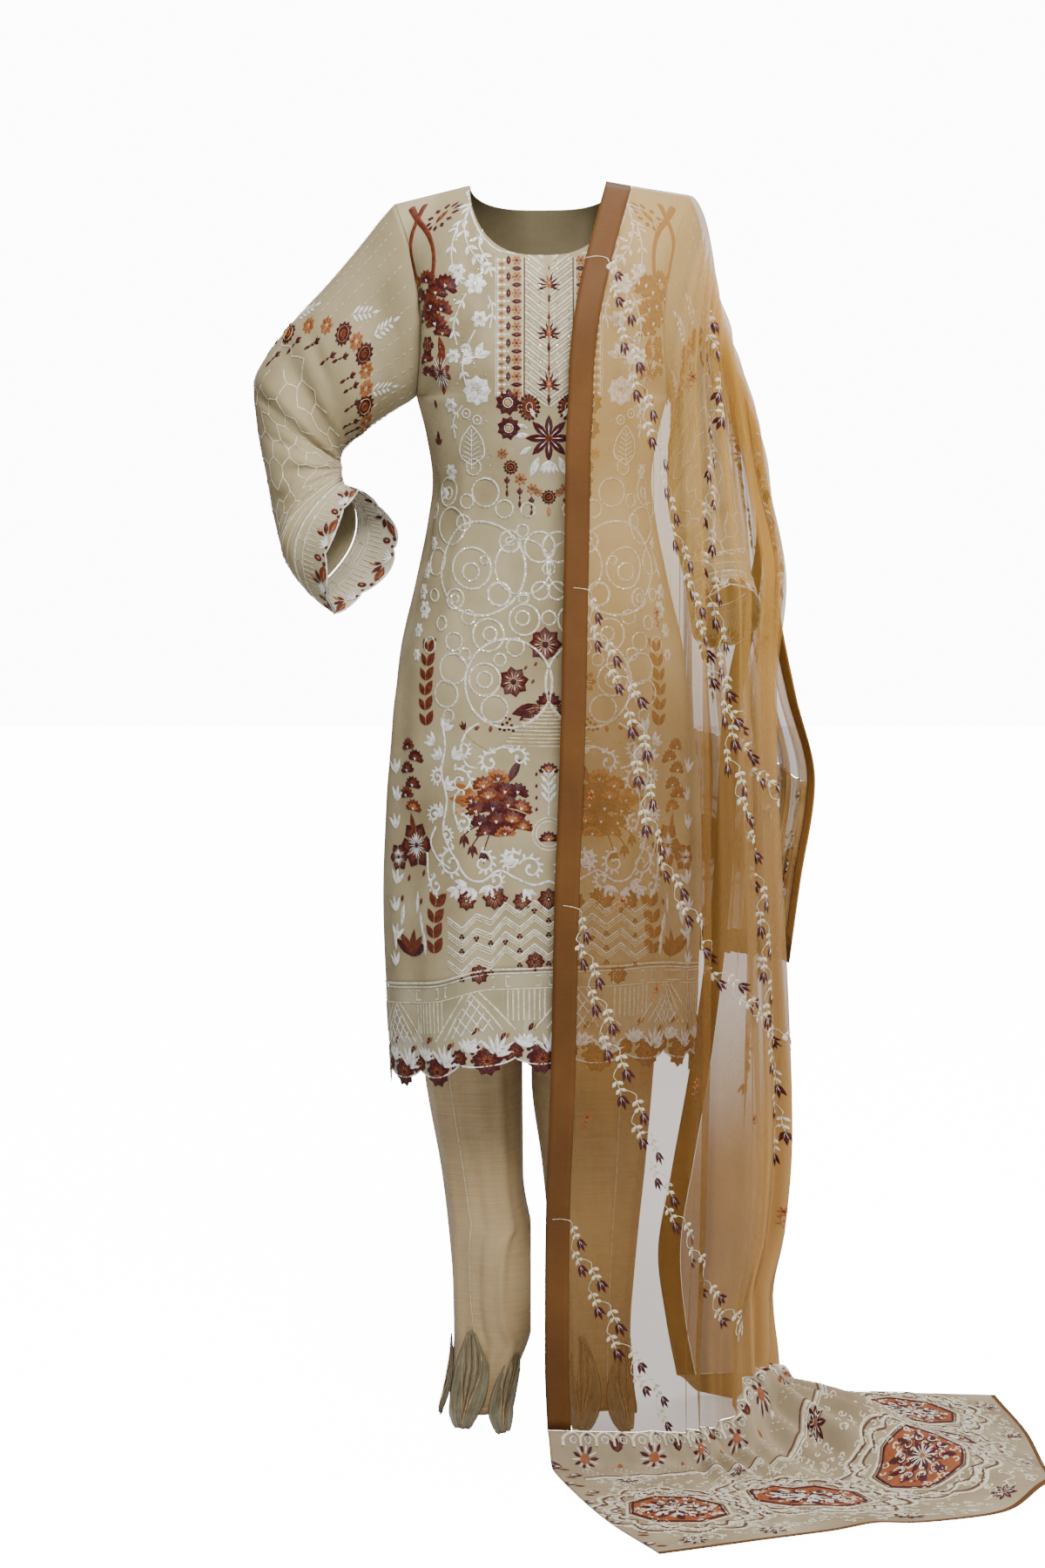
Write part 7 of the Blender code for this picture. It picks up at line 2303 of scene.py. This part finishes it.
def framed_medallion(radius, seed):
    """An eight-sided clay ground with scrolls, in a wide cream frame of lobes."""
    chance = np.random.default_rng(seed)
    tall = 0.94
    made = eight_sided(radius, "clay", tall)
    rim = radius * eight_sides(32, tall)
    for share, width, thread, height in ((0.97, 3.4, "maroon", 1.2), (1.05, 2.0, "brown", 0.8),
                                         (1.10, 3.4, "cream", 0.8)):
        made.line(share * rim, width, thread, height=height, closed=True)
    for turn in directions(8):
        made.leaf(0, 0, 0.42 * radius, 0.15 * radius, turn, "maroon", rows=4, height=1.5)
        made.leaf(0, 0, 0.32 * radius, 0.05 * radius, turn, "white", rows=3, height=2.0)
        made.leaf(0, 0, 0.36 * radius, 0.06 * radius, turn + 22.5, "cream", rows=3, height=1.6)
    made.disc(0, 0, 0.09 * radius, "copper", height=2.2)
    for turn in directions(10):
        spot = ray(0.50 * radius, turn, 0.45 * radius)
        made.leaf(*ray(0.44 * radius, turn, 0.40 * radius), 0.34 * radius, 0.20 * radius, turn,
                  "maroon", rows=4, height=1.0)
        made.line(volute(0.13 * radius, 1.1, turn + 90) + spot, 2.4, "maroon", height=1.3)
        made.line(volute(0.15 * radius, 0.8, turn + 40) + spot, 1.0, "white", height=1.7)
    for _ in range(30):
        turn = chance.uniform(0, 2 * math.pi)
        reach = radius * chance.uniform(0.15, 0.72)
        made.disc(reach * math.cos(turn), 0.9 * reach * math.sin(turn), 1.8,
                  "maroon" if chance.random() < 0.7 else "white", sides=6, height=1.3)
    for reach, width, thread, lobes in ((1.26, 2.8, "brown", 16), (1.34, 3.6, "cream", 16),
                                        (1.53, 3.0, "brown", 12), (1.62, 3.8, "cream", 12)):
        made.line(cloud(radius * reach, 0.98, lobes, 0.13), width, thread, height=0.8, closed=True)
    for _ in range(150):
        turn = chance.uniform(0, 2 * math.pi)
        reach = radius * chance.uniform(1.14, 1.56)
        spot = (reach * math.cos(turn), 0.97 * reach * math.sin(turn))
        made.line(small_scroll(chance, (2.8, 4.6), 0.75, 9) + spot, 1.9,
                  "cream" if chance.random() < 0.75 else "white", height=0.6)
    return made


def sunburst(radius):
    """A clay heart with dark and pale rays by turns."""
    made = Sketch()
    for k, turn in enumerate(directions(14)):
        width, thread = (0.10, "white") if k % 2 else (0.28, "maroon")
        made.leaf(*ray(0.32 * radius, turn), 0.68 * radius, width * radius, turn, thread,
                  belly=1.1, rows=3, height=0.7)
    return made.disc(0, 0, 0.36 * radius, "clay", sides=10, height=1.0).sequin(0, 0, 1.0)


def scatter_scrolls(work, chance, count, places, runs, sizes, width, height):
    """Small cream scrolls at random places."""
    for _ in range(count):
        place, run = chance.uniform(*places), chance.uniform(*runs)
        path = small_scroll(chance, sizes, 0.7, 8)
        work.put(Sketch().line(path, width, "cream", height=height), place, run)


PALLU_MEDALLIONS = ((0.110, 0.650), (0.308, 0.640), (0.505, 0.655), (0.702, 0.645), (0.895, 0.650))
PALLU_STARS = (
    (0.209, 0.530), (0.209, 0.760), (0.300, 0.300), (0.165, 0.935), (0.333, 0.925), (0.474, 0.930),
    (0.406, 0.530), (0.406, 0.760), (0.604, 0.540), (0.604, 0.760), (0.797, 0.530), (0.797, 0.770),
    (0.640, 0.930), (0.800, 0.935), (0.100, 0.300), (0.500, 0.300), (0.700, 0.300), (0.900, 0.300),
    (0.060, 0.930), (0.940, 0.930),
)


def pallu_start(work):
    """A row of arches at the drop's foot, then sunbursts and tulips with long stitches."""
    arch = Sketch().line(flowing([(-10.0, 9.0), (-9.0, 0.0), (0.0, -7.0), (9.0, 0.0),
                                  (10.0, 9.0)], 4), 3.2, "cream", height=1.4)
    eye = Sketch().ring(0, 3, 3.6, 1.2, "white", height=1.0)
    for k in range(36):
        place = 0.032 + 0.0268 * k
        work.put(arch, place, 0.030)
        work.put(eye, place, 0.030)
        if k % 2:
            work.put(tulip(8.0, "maroon", "white"), place, 0.034, 180)
    for k in range(19):
        place = 0.0500 + 0.0514 * k
        if k % 2 == 0:
            work.put(sunburst(17.0), place, 0.088)
            for turn in (60, 90, 120):
                work.put(Sketch().leaf(0, 12, 8, 3.4, turn, "cream", rows=3), place, 0.100)
        else:
            work.put(tulip(20.0, "maroon", "copper"), place, 0.072, 180)
            work.put(Sketch().leaf(0, 0, 10, 6, 90, "clay", rows=3), place, 0.104)
        for aside, thread in ((-14, "cream"), (-2, "white"), (-8, "cream")):
            work.put(Sketch().dashes([(aside, 0), (aside + 20, 30)], thread, 5.5, 2.2, 1.1), place,
                     0.140)


def make_pallu_work(looks, surface):
    ranges = ((0.0, 1.0), (0.0, PALLU_EDGE))
    plain_scale = scale_of(pallu_point, *ranges)
    work = Work("pallu_embroidery", cloth_of(surface, -1.0, *ranges),
                lambda u, v: (PALLU_WIDTH, plain_scale(u, v)[1]))
    for k, (place, run) in enumerate(PALLU_MEDALLIONS):
        work.put(framed_medallion(52.0, k), place, run)
    pallu_start(work)
    places = np.linspace(0.03, 0.99, 201)
    for low, width, thread in ((0.236, 2.2, "brown"), (0.250, 4.2, "cream"), (0.264, 1.8, "white")):
        waves = low + 0.012 * np.abs(np.sin(math.pi * places * 16.0))
        work.trace(np.stack([places, waves], -1), width, thread)
    small = star(14.0, 8, "maroon", "white", "clay")
    for place, run in PALLU_STARS:
        work.put(small, place, run, 22)
        for turn in (0, 90, 180, 270):
            path = volute(5.0, 0.8, turn, 0.4, 10) + (12.0 * math.cos(turn), 0)
            work.put(Sketch().line(path, 1.0, "cream"), place, run, turn)
    for k in range(9):
        work.put(tulip(15.0, "maroon", "white"), 0.014, 0.12 + 0.10 * k, 100 + 160 * (k % 2))
        work.put(Sketch().leaf(0, 0, 11, 5.4, 200, "rust", rows=3), 0.022, 0.15 + 0.10 * k)
    scatter_scrolls(work, np.random.default_rng(21), 1500, (0.04, 0.98), (0.27, 0.965),
                    (2.8, 4.6), 2.0, 0.5)
    work.sew(looks, "pallu_work")


def make_back_pallu_work(looks, back, start, band):
    work = Work("back_pallu_embroidery", cloth_of(back, 1.0, (0.0, 1.0), (start, band)),
                lambda u, v: (PALLU_WIDTH, BACK_LENGTH))

    def at(share):
        return start + share * (band - start)
    for k in range(6):
        place = 0.10 + 0.16 * k
        work.put(eight_sided(42.0, "clay", 0.8), place, at(0.55))
        for reach, width, thread in ((46, 2.6, "cream"), (64, 1.4, "brown"), (67, 2.8, "cream")):
            work.put(Sketch().line(cloud(reach, 0.8, 12, 0.12), width, thread, closed=True), place,
                     at(0.55))
        work.put(star(20.0), place, at(0.55))
    for k in range(18):
        place = 0.05 + 0.052 * k
        work.put(sunburst(12.0), place, at(0.10))
        work.put(star(9.0), place, at(0.93))
    scatter_scrolls(work, np.random.default_rng(22), 420, (0.04, 0.96),
                    (start + 0.01, band - 0.01), (2.4, 4.2), 1.2, 0.5)
    work.sew(looks, "pallu_work")


# ---------------------------------------------------------------- the suit's cloth
CLOTH_WALL = 0.0009            # metres through a shell of cloth
STRIP_WALL = 0.0007
ORGANZA_WALL = 0.0006
LACE_TOP = HEM_LEVEL + HEM_LACE
# the line down a leg is a painted highlight along its pressed crease
KNEE = 0.62                    # level at which the line pressed into a leg ends
PETAL_HALF = 0.026             # metres that the veins take for half a petal's width


def cloth_looks():
    """The cloths' materials by name."""
    made = [
        woven("kameez_cloth", ((136, 120, 84), (160, 145, 109), (182, 168, 134)), 0.72,
              pitch=0.0010, slub=0.10, sheen=0.10),
        woven("lace_net", ((142, 130, 98), (168, 156, 124), (190, 179, 149)), 0.70,
              pitch=0.0012, opacity=(0.84, 0.98)),
        woven("trouser_silk", ((146, 118, 78), (172, 145, 102), (196, 172, 130)), 0.52,
              pitch=0.0006, slub=0.55, sheen=0.15, specular=0.45, mottle=5.0),
        woven("petal_cloth", ((78, 70, 48), (106, 98, 74), (146, 138, 110)), 0.55,
              pitch=0.0007, slub=0.9, slub_size=(170.0, 9.0), mottle=30.0,
              opacity=(0.66, 0.92), sheen=0.1),
        woven("dupatta_net", ((112, 70, 16), (132, 88, 24), (154, 110, 42)), 0.60,
              pitch=0.0011, opacity=(0.34, 0.62), sheen=0.05, mottle=4.0,
              thinner=(0.24, 0.42, 0.90, (176, 134, 78)),
              stretched=(0.35, 0.66, 0.70, (206, 156, 72)))]
    # the back strips get a lighter copy of the same bronze silk: painted light on their shaded inner
    # faces
    for name, colours in (("strip_silk", ((80, 47, 13), (95, 58, 19), (112, 73, 28))),
                          ("back_strip_silk_painted_lit", ((142, 98, 42), (166, 118, 56), (186, 138, 74)))):
        made.append(woven(name, colours, 0.60, pitch=0.0007, slub=0.20, specular=0.25, mottle=6.0))
    made.append(woven("pallu_net", ((124, 106, 80), (150, 132, 104), (174, 158, 130)), 0.68,
                      pitch=0.0012, slub=0.08, sheen=0.1))
    # the back pallu's golden net is lightened: painted light on its shaded inner face
    made.append(woven("back_pallu_net_painted_lit", ((140, 100, 46), (166, 126, 68), (192, 154, 100)), 0.68,
                      pitch=0.0012, slub=0.08, sheen=0.1, opacity=(0.62, 0.94)))
    return {look.name: look for look in made}


def yoke_levels(count):
    """Levels over the yoke, closer together at both ends."""
    steps = np.arange(1, count + 1) / count
    return UNDERARM_LEVEL + (NECK_POINT_LEVEL - UNDERARM_LEVEL) * 0.5 * (1 - np.cos(math.pi * steps))


def hem_hang(across, level):
    """The hem lace's levels, let down to its scallops."""
    drop = scallop(0.5 * (across + 1.0), HEM_SCALLOPS, HEM_SCALLOP_DEPTH)
    return level - drop * smooth((LACE_TOP - 0.03 - level) / (HEM_LACE - 0.03))


def cuff_hang(seam, end):
    """The same for a cuff lace that runs along the sleeve from its seam to its end."""
    def hang(around, along):
        drop = scallop(around, CUFF_SCALLOPS, CUFF_SCALLOP_DEPTH) - CUFF_SCALLOP_DEPTH
        return along + drop * smooth((along - seam - 0.02) / (end - seam - 0.02))
    return hang


def make_kameez(net, lace_net):
    levels = np.concatenate([np.linspace(LACE_TOP + SEAM_GAP, UNDERARM_LEVEL, 76),
                             yoke_levels(34)])
    lace_levels = np.linspace(HEM_LEVEL + HEM_SCALLOP_DEPTH, LACE_TOP, 14)
    for side, facing in PANELS:
        panel = panel_surface(facing)
        cloth("kameez_" + side, panel, np.linspace(-1.0, 1.0, 97), levels, -facing, net,
              "kameez_net", flat=(0.500, 0.885), held="hung", thick=CLOTH_WALL,
              ranges=PANEL_RANGES)
        cloth("hem_lace_" + side, panel, np.linspace(-1.0, 1.0, 145), lace_levels, -facing,
              lace_net, "white_lace", flat=(0.520, 0.105), held="hung", hang=hem_hang,
              ranges=PANEL_RANGES)


def make_sleeves(net, lace_net):
    areas = {"right": (0.145, 0.0180), "left": (0.115, 0.0140)}
    for side, outward, table, folds, seam in SLEEVES:
        tube, cuff = sleeve_surfaces(side, outward, table, folds)
        end = table[-1][0]
        ranges = (UNENDING, (0.0, end))
        sleeve_area, cuff_area = areas[side]
        cloth("sleeve_" + side, tube, np.arange(72) / 72.0, np.linspace(0.0, seam - SEAM_GAP, 80),
              outward, net, "kameez_net", flat=(0.400, seam), cut=sleeve_area, held="hung",
              thick=CLOTH_WALL, closed=True, ranges=ranges)
        cloth("cuff_lace_" + side, cuff, np.arange(128) / 128.0, np.linspace(seam, end, 10),
              outward, lace_net, "white_lace", flat=(0.420, end - seam), cut=cuff_area,
              held="hung", closed=True, hang=cuff_hang(seam, end), ranges=ranges)


def make_trousers(silk):
    for side, outward, table, hem in LEGS:
        cloth("trouser_" + side, leg_surface(outward, table), np.linspace(0.0, 1.0, 81),
              np.linspace(hem, WAIST_LEVEL, 110), outward, silk, "raw_silk", flat=(0.42, 0.966),
              held="hung", thick=CLOTH_WALL, ranges=((0.0, 1.0), (hem, WAIST_LEVEL)))
    _, half_width, _, middle, half_depth = RIGHT_LEG[-1]

    def band(u, v):
        turn = 2.0 * math.pi * u
        return stack(half_width * np.cos(turn), middle + half_depth * np.sin(turn), v)
    cloth("trouser_waistband", band, np.arange(72) / 72.0,
          np.linspace(WAIST_LEVEL + SEAM_GAP, WAIST_LEVEL + WAISTBAND_DEPTH, 4), 1.0, silk,
          "raw_silk", flat=(0.635, 0.032), held="gathered", thick=CLOTH_WALL, closed=True)


def leg_levels(hem):
    return np.concatenate([np.linspace(hem, 0.63, 11), [0.715, 0.73, 0.76, 0.82, 0.90],
                           [WAIST_LEVEL]])


def petal_surface(table, outward, hem, place, half, tip, length):
    """A petal over a leg: u runs over its width, v from the tip up."""
    leg = leg_surface(outward, table)
    places = np.linspace(0.0, 1.0, 17)
    rows = leg_levels(hem)
    axis = 0.5 * (table[1][1] + table[1][2])

    def petal(u, v):
        width = 1.18 * half * np.sin(math.pi * (0.12 + 0.84 * v ** 0.85))
        level = tip + length * v
        on_leg = on_facets(leg, places, rows, place + u * width, np.maximum(level, rows[0]))
        on_leg[..., 2] = level
        ribs = 0.0012 * (1.0 - v) * (1.0 + np.cos(2.0 * math.pi * u))
        pleats = 0.0010 * np.cos(9.0 * math.pi * u) * (0.3 + 0.7 * (1.0 - v))
        lift = PETAL_WALL + 0.0012 + 0.008 * (1.0 - v) ** 2 + ribs + pleats
        away = on_leg - stack(np.full_like(level, axis), np.zeros_like(level), level)
        away[..., 2] = 0.0
        away = away / np.linalg.norm(away, axis=-1, keepdims=True)
        return on_leg + away * lift[..., None]
    return petal


def make_petals(organza, threads):
    ranges = ((-1.0, 1.0), (0.0, 1.0))
    for number, (leg, place, half, tip, length) in enumerate(PETALS):
        _, outward, table, hem = LEGS[leg]
        petal = petal_surface(table, outward, hem, place, half, tip, length)
        name = "ankle_petal_%d" % (number + 1)
        cloth(name, petal, np.linspace(-1.0, 1.0, 45), np.linspace(0.0, 1.0, 26), outward,
              organza, "petal_organza", flat=(0.052, length), held="hung", thick=ORGANZA_WALL,
              ranges=ranges)
        veins = Work(name + "_veins", cloth_of(petal, outward, *ranges),
                     lambda u, v, long=length: (PETAL_HALF, long))
        for k in range(7):
            spread = -0.9 + 0.3 * k
            path = [(spread * share, 0.05 + 0.90 * share) for share in np.linspace(0.0, 1.0, 9)]
            veins.trace(path, 1.0, "brown" if k % 2 else "beige", 0.4)
        for edge in (-0.97, 0.97):
            veins.trace([(edge, v) for v in np.linspace(0.02, 0.98, 15)], 1.1, "brown", 0.5)
        veins.sew(threads, "petal_organza")


def make_leg_lines(threads):
    """The pressed crease down the front of each leg, drawn as a cream line that paints its highlight,
    and the stitched lines over its hem.
    """
    for side, outward, table, hem in LEGS:
        surface = cloth_of(leg_surface(outward, table), outward, (0.0, 1.0), (hem, WAIST_LEVEL))
        work = Work("trouser_%s_lines" % side, surface, lambda u, v: (0.42, 1.0))
        levels = np.linspace(hem + 0.012, KNEE, 30)
        # painted highlight: the pressed crease's lit edge, drawn as a line of cream thread
        work.trace([(0.335 - 0.030 * (KNEE - v) / 0.5, v) for v in levels], 1.3, "cream", 0.5)
        for lift in (0.010, 0.013):
            work.trace([(u, hem + lift) for u in np.linspace(0.01, 0.99, 61)], 0.7, "beige", 0.3)
        work.sew(threads, "raw_silk")


# the drop's small gathers, by whether it hangs in front
FINE_FOLDS = {True: 20, False: 30}
GATHER_SHARE = {True: 0.88, False: 1.15}   # of the cloth's width that the gathers take up
STEEPEST = {True: 3.4, False: 4.2}


def drop_at(share, fall, front):
    return drop_point(draped(share) if front else share, fall, front)


def drop_normals(share, fall, front):
    return normals(lambda a, b: drop_at(a, b, front), share, fall, (0.0, 1.0), (0.0, 1.0))


def fine_gather(share, fall, front):
    """How far the fine gathers stand off: as deep as the cloth's own width needs."""
    step = 0.004
    apart = (drop_at(np.clip(share + step, 0, 1), fall, front)
             - drop_at(np.clip(share - step, 0, 1), fall, front))
    width = np.linalg.norm(apart, axis=-1) / (2.0 * step)
    needed = np.maximum(GATHER_SHARE[front] * DUPATTA_WIDTH / width, 1.0)
    slope = np.minimum(np.sqrt((needed ** 2 - 1.0) / 0.42), STEEPEST[front])
    count = FINE_FOLDS[front]
    wander = 0.8 * np.sin(5.0 * fall + 9.0 * share) + 0.5 * np.sin(11.0 * fall - 4.0 * share)
    phase = 2.0 * math.pi * count * share + wander
    fade = (smooth((share - 0.045) / 0.05) * smooth((0.965 - share) / 0.045)
            * smooth(fall / 0.04))
    if front:
        fade = fade * (0.10 + 0.90 * smooth((share - 0.17) / 0.16))
    uneven = 0.85 + 0.30 * np.sin(3.0 * phase / 7.0 + 6.0 * fall)
    return slope * width / (2.0 * math.pi * count) * uneven * fade, phase


def gathered_drop(share, fall, front):
    """The drop with its fine gathers."""
    share, fall = np.broadcast_arrays(np.asarray(share, float), np.asarray(fall, float))
    depth, phase = fine_gather(share, fall, front)
    normal = drop_normals(share, fall, front)
    return drop_at(share, fall, front) + normal * (depth * np.sin(phase))[..., None]


def gathered_pallu(share, run):
    """The pallu, whose gathers run out of the drop's and die away over the floor."""
    share, run = np.broadcast_arrays(np.asarray(share, float), np.asarray(run, float))
    foot = np.ones_like(share)
    depth, phase = fine_gather(share, foot, True)
    aside = drop_normals(share, foot, True) * (depth * np.sin(phase))[..., None]
    lifted = depth * (1.0 + np.sin(phase)) * smooth(run / 0.10) * (1.0 - smooth((run - 0.1) / 0.6))
    point = (pallu_point(share + (draped(share) - share) * (1.0 - smooth(run / 0.5)), run)
             + aside * (1.0 - smooth(run / 0.14))[..., None])
    point[..., 2] += lifted
    return point


def net_surface(front):
    def net(u, v):
        return gathered_drop(u, v, front)
    return net


RIDGE_LEVEL = ridge_z(np.float64(0.5))
BACK_START = (RIDGE_LEVEL - BACK_PALLU_TOP) / (RIDGE_LEVEL - BACK_END)
BACK_BAND = 1.0 - BACK_END_BAND / (RIDGE_LEVEL - BACK_END)
STRIP_GAP = SEAM_GAP / DUPATTA_WIDTH
STRIPS = {"near": np.linspace(0.0, STRIP_SHARE - STRIP_GAP, 6),
          "far": np.linspace(1.0 - STRIP_SHARE + STRIP_GAP, 1.0, 6)}
NET_WIDTH = DUPATTA_WIDTH - 2.0 * STRIP_WIDTH


def net_columns(count):
    """Places over the net between its two strips."""
    return np.linspace(STRIP_SHARE, 1.0 - STRIP_SHARE, count)


def make_front_drop(looks, front):
    fall = np.concatenate([np.linspace(0.0, 0.12, 22)[:-1], np.linspace(0.12, 1.0, 90)])
    cloth("dupatta_front", front, net_columns(261), fall, -1.0, looks["dupatta_net"], "gold_net",
          flat=(NET_WIDTH, 1.42), cut=1.16, held="gathered", ranges=WHOLE)
    for name, length in (("near", 1.46), ("far", 1.14)):
        cloth("front_strip_" + name, front, STRIPS[name], fall, -1.0, looks["strip_silk"],
              "bronze_silk", flat=(STRIP_WIDTH, length), held="hung", thick=STRIP_WALL,
              ranges=WHOLE)


def make_back_drop(looks, back):
    drop = np.concatenate([np.linspace(0.0, 0.15, 16)[:-1],
                           np.linspace(0.15, BACK_START - 2.0 * SEAM_GAP, 44)])
    tail = np.linspace(BACK_START, BACK_BAND - SEAM_GAP, 24)
    cloth("dupatta_back", back, net_columns(301), drop, 1.0, looks["dupatta_net"], "gold_net",
          flat=(NET_WIDTH, 0.64), cut=0.44, held="gathered", ranges=WHOLE)
    cloth("back_pallu", back, net_columns(301), tail, 1.0, looks["back_pallu_net_painted_lit"], "pallu_work",
          flat=(NET_WIDTH, 0.225), held="gathered", ranges=WHOLE)
    for name, length in (("near", 0.91), ("far", 0.62)):
        cloth("back_strip_" + name, back, STRIPS[name], np.concatenate([drop, tail]), 1.0,
              looks["back_strip_silk_painted_lit"], "bronze_silk", flat=(STRIP_WIDTH, length), held="hung",
              thick=STRIP_WALL, ranges=WHOLE)
    cloth("back_end_band", back, np.linspace(0.0, 1.0, 321), np.linspace(BACK_BAND, 1.0, 5), 1.0,
          looks["strip_silk"], "bronze_silk", flat=(DUPATTA_WIDTH, 0.030), held="gathered",
          thick=STRIP_WALL, ranges=WHOLE)


def make_pallu(looks):
    piping = cloth("pallu_piping", pallu_point, np.linspace(0.0, 1.0, 161),
                   np.linspace(PALLU_EDGE + SEAM_GAP, 1.0, 4), -1.0, looks["strip_silk"],
                   "bronze_silk", flat=(0.90, 0.0055), held="laid", ranges=WHOLE,
                   thick=CLOTH_WALL, trim=True)
    cloth("pallu", gathered_pallu, np.linspace(0.0, 1.0, 241), np.linspace(0.0, PALLU_EDGE, 90),
          -1.0, looks["pallu_net"], "pallu_work", flat=(DUPATTA_WIDTH, 0.365), held="laid",
          rests_on=["floor"], ranges=WHOLE, thick=CLOTH_WALL, with_pieces=[piping])


def dress():
    looks = cloth_looks()
    net, lace_net = looks["kameez_cloth"], looks["lace_net"]
    make_kameez(net, lace_net)
    make_sleeves(net, lace_net)
    make_trousers(looks["trouser_silk"])
    threads = thread_looks()
    make_kameez_work(threads)
    make_petals(looks["petal_cloth"], threads)
    make_leg_lines(threads)
    make_sleeve_work(threads)
    front, back = net_surface(True), net_surface(False)
    make_front_drop(looks, front)
    make_back_drop(looks, back)
    make_pallu(looks)
    make_vines(threads, front, back)
    make_pallu_work(threads, gathered_pallu)
    make_back_pallu_work(threads, back, BACK_START, BACK_BAND - SEAM_GAP)


# ---------------------------------------------------------------- camera, light and floor
AMBIENT = 0.20                 # the room's even light
BACKDROP = 16.0                # brightness of the wall where the camera sees it
# the wall seen through sheer cloth is kept dim as painted shade behind the cloth
BEHIND_CLOTH = 1.6             # the same through sheer cloth
FLOOR_GLOW = (3.0, 15.0)       # of the floor by the feet, and from FLOOR_REACH on
FLOOR_REACH = (0.3, 1.5)
# kept low as painted shade behind the sheer cloth
GLOW_THROUGH_CLOTH = 0.9
EYE = (-0.022, -4.0, -0.24)    # the camera's place
LOOKING_DOWN = 6.22            # degrees
SENSOR_HEIGHT = 36.0           # millimetres, as the lens
LENS = 80.56
FLOOR_HALF = 9.0
FLOOR_GREYS = ((214, 214, 213), (220, 220, 220))
# lights: name, place, size, power, the point aimed at
LIGHTS = (
    ("key", (0.45, -2.4, 2.2), 1.3, 184.0, (0.0, 0.0, 0.05)),
    ("fill", (3.2, -1.9, 1.5), 2.2, 60.0, (0.1, 0.0, -0.2)),
    ("top", (0.0, 0.5, 3.2), 2.2, 70.0, (0.0, 0.0, -0.6)),
    ("side", (3.0, 0.9, 0.7), 1.6, 34.0, (0.4, 0.0, -0.1)),
    ("rear", (0.5, 3.4, 2.2), 2.6, 30.0, (0.0, 0.0, -0.4)),
)


def set_camera():
    lens = bpy.data.cameras.new("camera")
    camera = bpy.data.objects.new("camera", lens)
    bpy.context.scene.collection.objects.link(camera)
    camera.location = EYE
    camera.rotation_euler = (math.radians(90.0 - LOOKING_DOWN), 0.0, 0.0)
    lens.sensor_fit = "VERTICAL"
    lens.sensor_height = SENSOR_HEIGHT
    lens.lens = LENS
    bpy.context.scene.camera = camera


def floor_look():
    """Grey paint that the camera sees shining, as the bright floor of a studio: a painted glow that is
    weaker by the feet, as a painted pool of shade, and weak where the floor is seen through sheer
    cloth, as painted shade behind it.
    """
    look = Look("floor_paint_painted_glow")
    tint = look.noise(look.mapped("Object"), 1.4, 3.0)
    greys = [linear(*grey) for grey in FLOOR_GREYS]
    look.wire(look.ramp(tint, (0.35, 0.65), greys), "Base Color")
    reach = look.node("ShaderNodeVectorMath", {0: look.mapped("Object")}, operation="LENGTH")
    # painted glow that grows away from the feet, leaving a painted pool of shade round them
    painted_floor_glow = look.move(reach.outputs["Value"], *FLOOR_REACH, *FLOOR_GLOW, soft=True)
    light_path = look.node("ShaderNodeLightPath", {}).outputs
    covered = look.math("GREATER_THAN", light_path["Transparent Depth"], 0.5)
    glow = look.span(covered, painted_floor_glow, GLOW_THROUGH_CLOTH)
    look.wire(look.math("MULTIPLY", light_path["Is Camera Ray"], glow), "Emission Strength")
    look.set({"Roughness": 0.85, "Emission Color": (1.0, 1.0, 1.0, 1.0)})
    return look.made


def make_floor():
    half = FLOOR_HALF
    points = [(-half, -half, 0.0), (half, -half, 0.0), (half, half, 0.0), (-half, half, 0.0)]
    floor = make_mesh("floor", points, np.array([[0, 1, 2, 3]]), [(0, 0), (1, 0), (1, 1), (0, 1)],
                      [floor_look()], smooth_shading=False)
    floor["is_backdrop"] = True


def set_lights():
    for name, place, size, power, aim in LIGHTS:
        disk = bpy.data.lights.new(name, "AREA")
        disk.shape = "DISK"
        disk.size = size
        disk.energy = power
        lamp = bpy.data.objects.new(name, disk)
        lamp.location = place
        direction = mathutils.Vector(aim) - mathutils.Vector(place)
        lamp.rotation_euler = direction.to_track_quat("-Z", "Y").to_euler()
        bpy.context.scene.collection.objects.link(lamp)


def set_world():
    """An even dim light, which the camera sees as a bright wall, dimmed where it is seen through sheer
    cloth as painted shade behind the cloth.
    """
    world = bpy.data.worlds.new("studio")
    world.use_nodes = True
    tree = world.node_tree
    tree.nodes.clear()
    light_path = add_node(tree, "ShaderNodeLightPath", {}).outputs
    covered = add_node(tree, "ShaderNodeMath", {0: light_path["Transparent Depth"], 1: 0.5},
                       operation="GREATER_THAN")
    wall = add_node(tree, "ShaderNodeMapRange", {0: covered.outputs[0], 3: BACKDROP,
                                                 4: AMBIENT + BEHIND_CLOTH})
    strength = add_node(tree, "ShaderNodeMapRange", {0: light_path["Is Camera Ray"], 3: AMBIENT,
                                                     4: wall.outputs[0]})
    background = add_node(tree, "ShaderNodeBackground", {1: strength.outputs[0]})
    add_node(tree, "ShaderNodeOutputWorld", {0: background.outputs[0]})
    bpy.context.scene.world = world


def corners(box):
    return [[float(value) for value in corner] for corner in box]


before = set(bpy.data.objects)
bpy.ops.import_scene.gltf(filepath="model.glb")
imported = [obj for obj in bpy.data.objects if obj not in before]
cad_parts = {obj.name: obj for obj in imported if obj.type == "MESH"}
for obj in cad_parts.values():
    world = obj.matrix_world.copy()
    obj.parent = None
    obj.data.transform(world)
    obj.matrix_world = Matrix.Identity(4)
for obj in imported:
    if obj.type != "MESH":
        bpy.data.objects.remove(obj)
cad_box = corners(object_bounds())
set_camera()
make_floor()
set_lights()
set_world()
dress()
{"cad": cad_box, "visual": corners(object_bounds())}
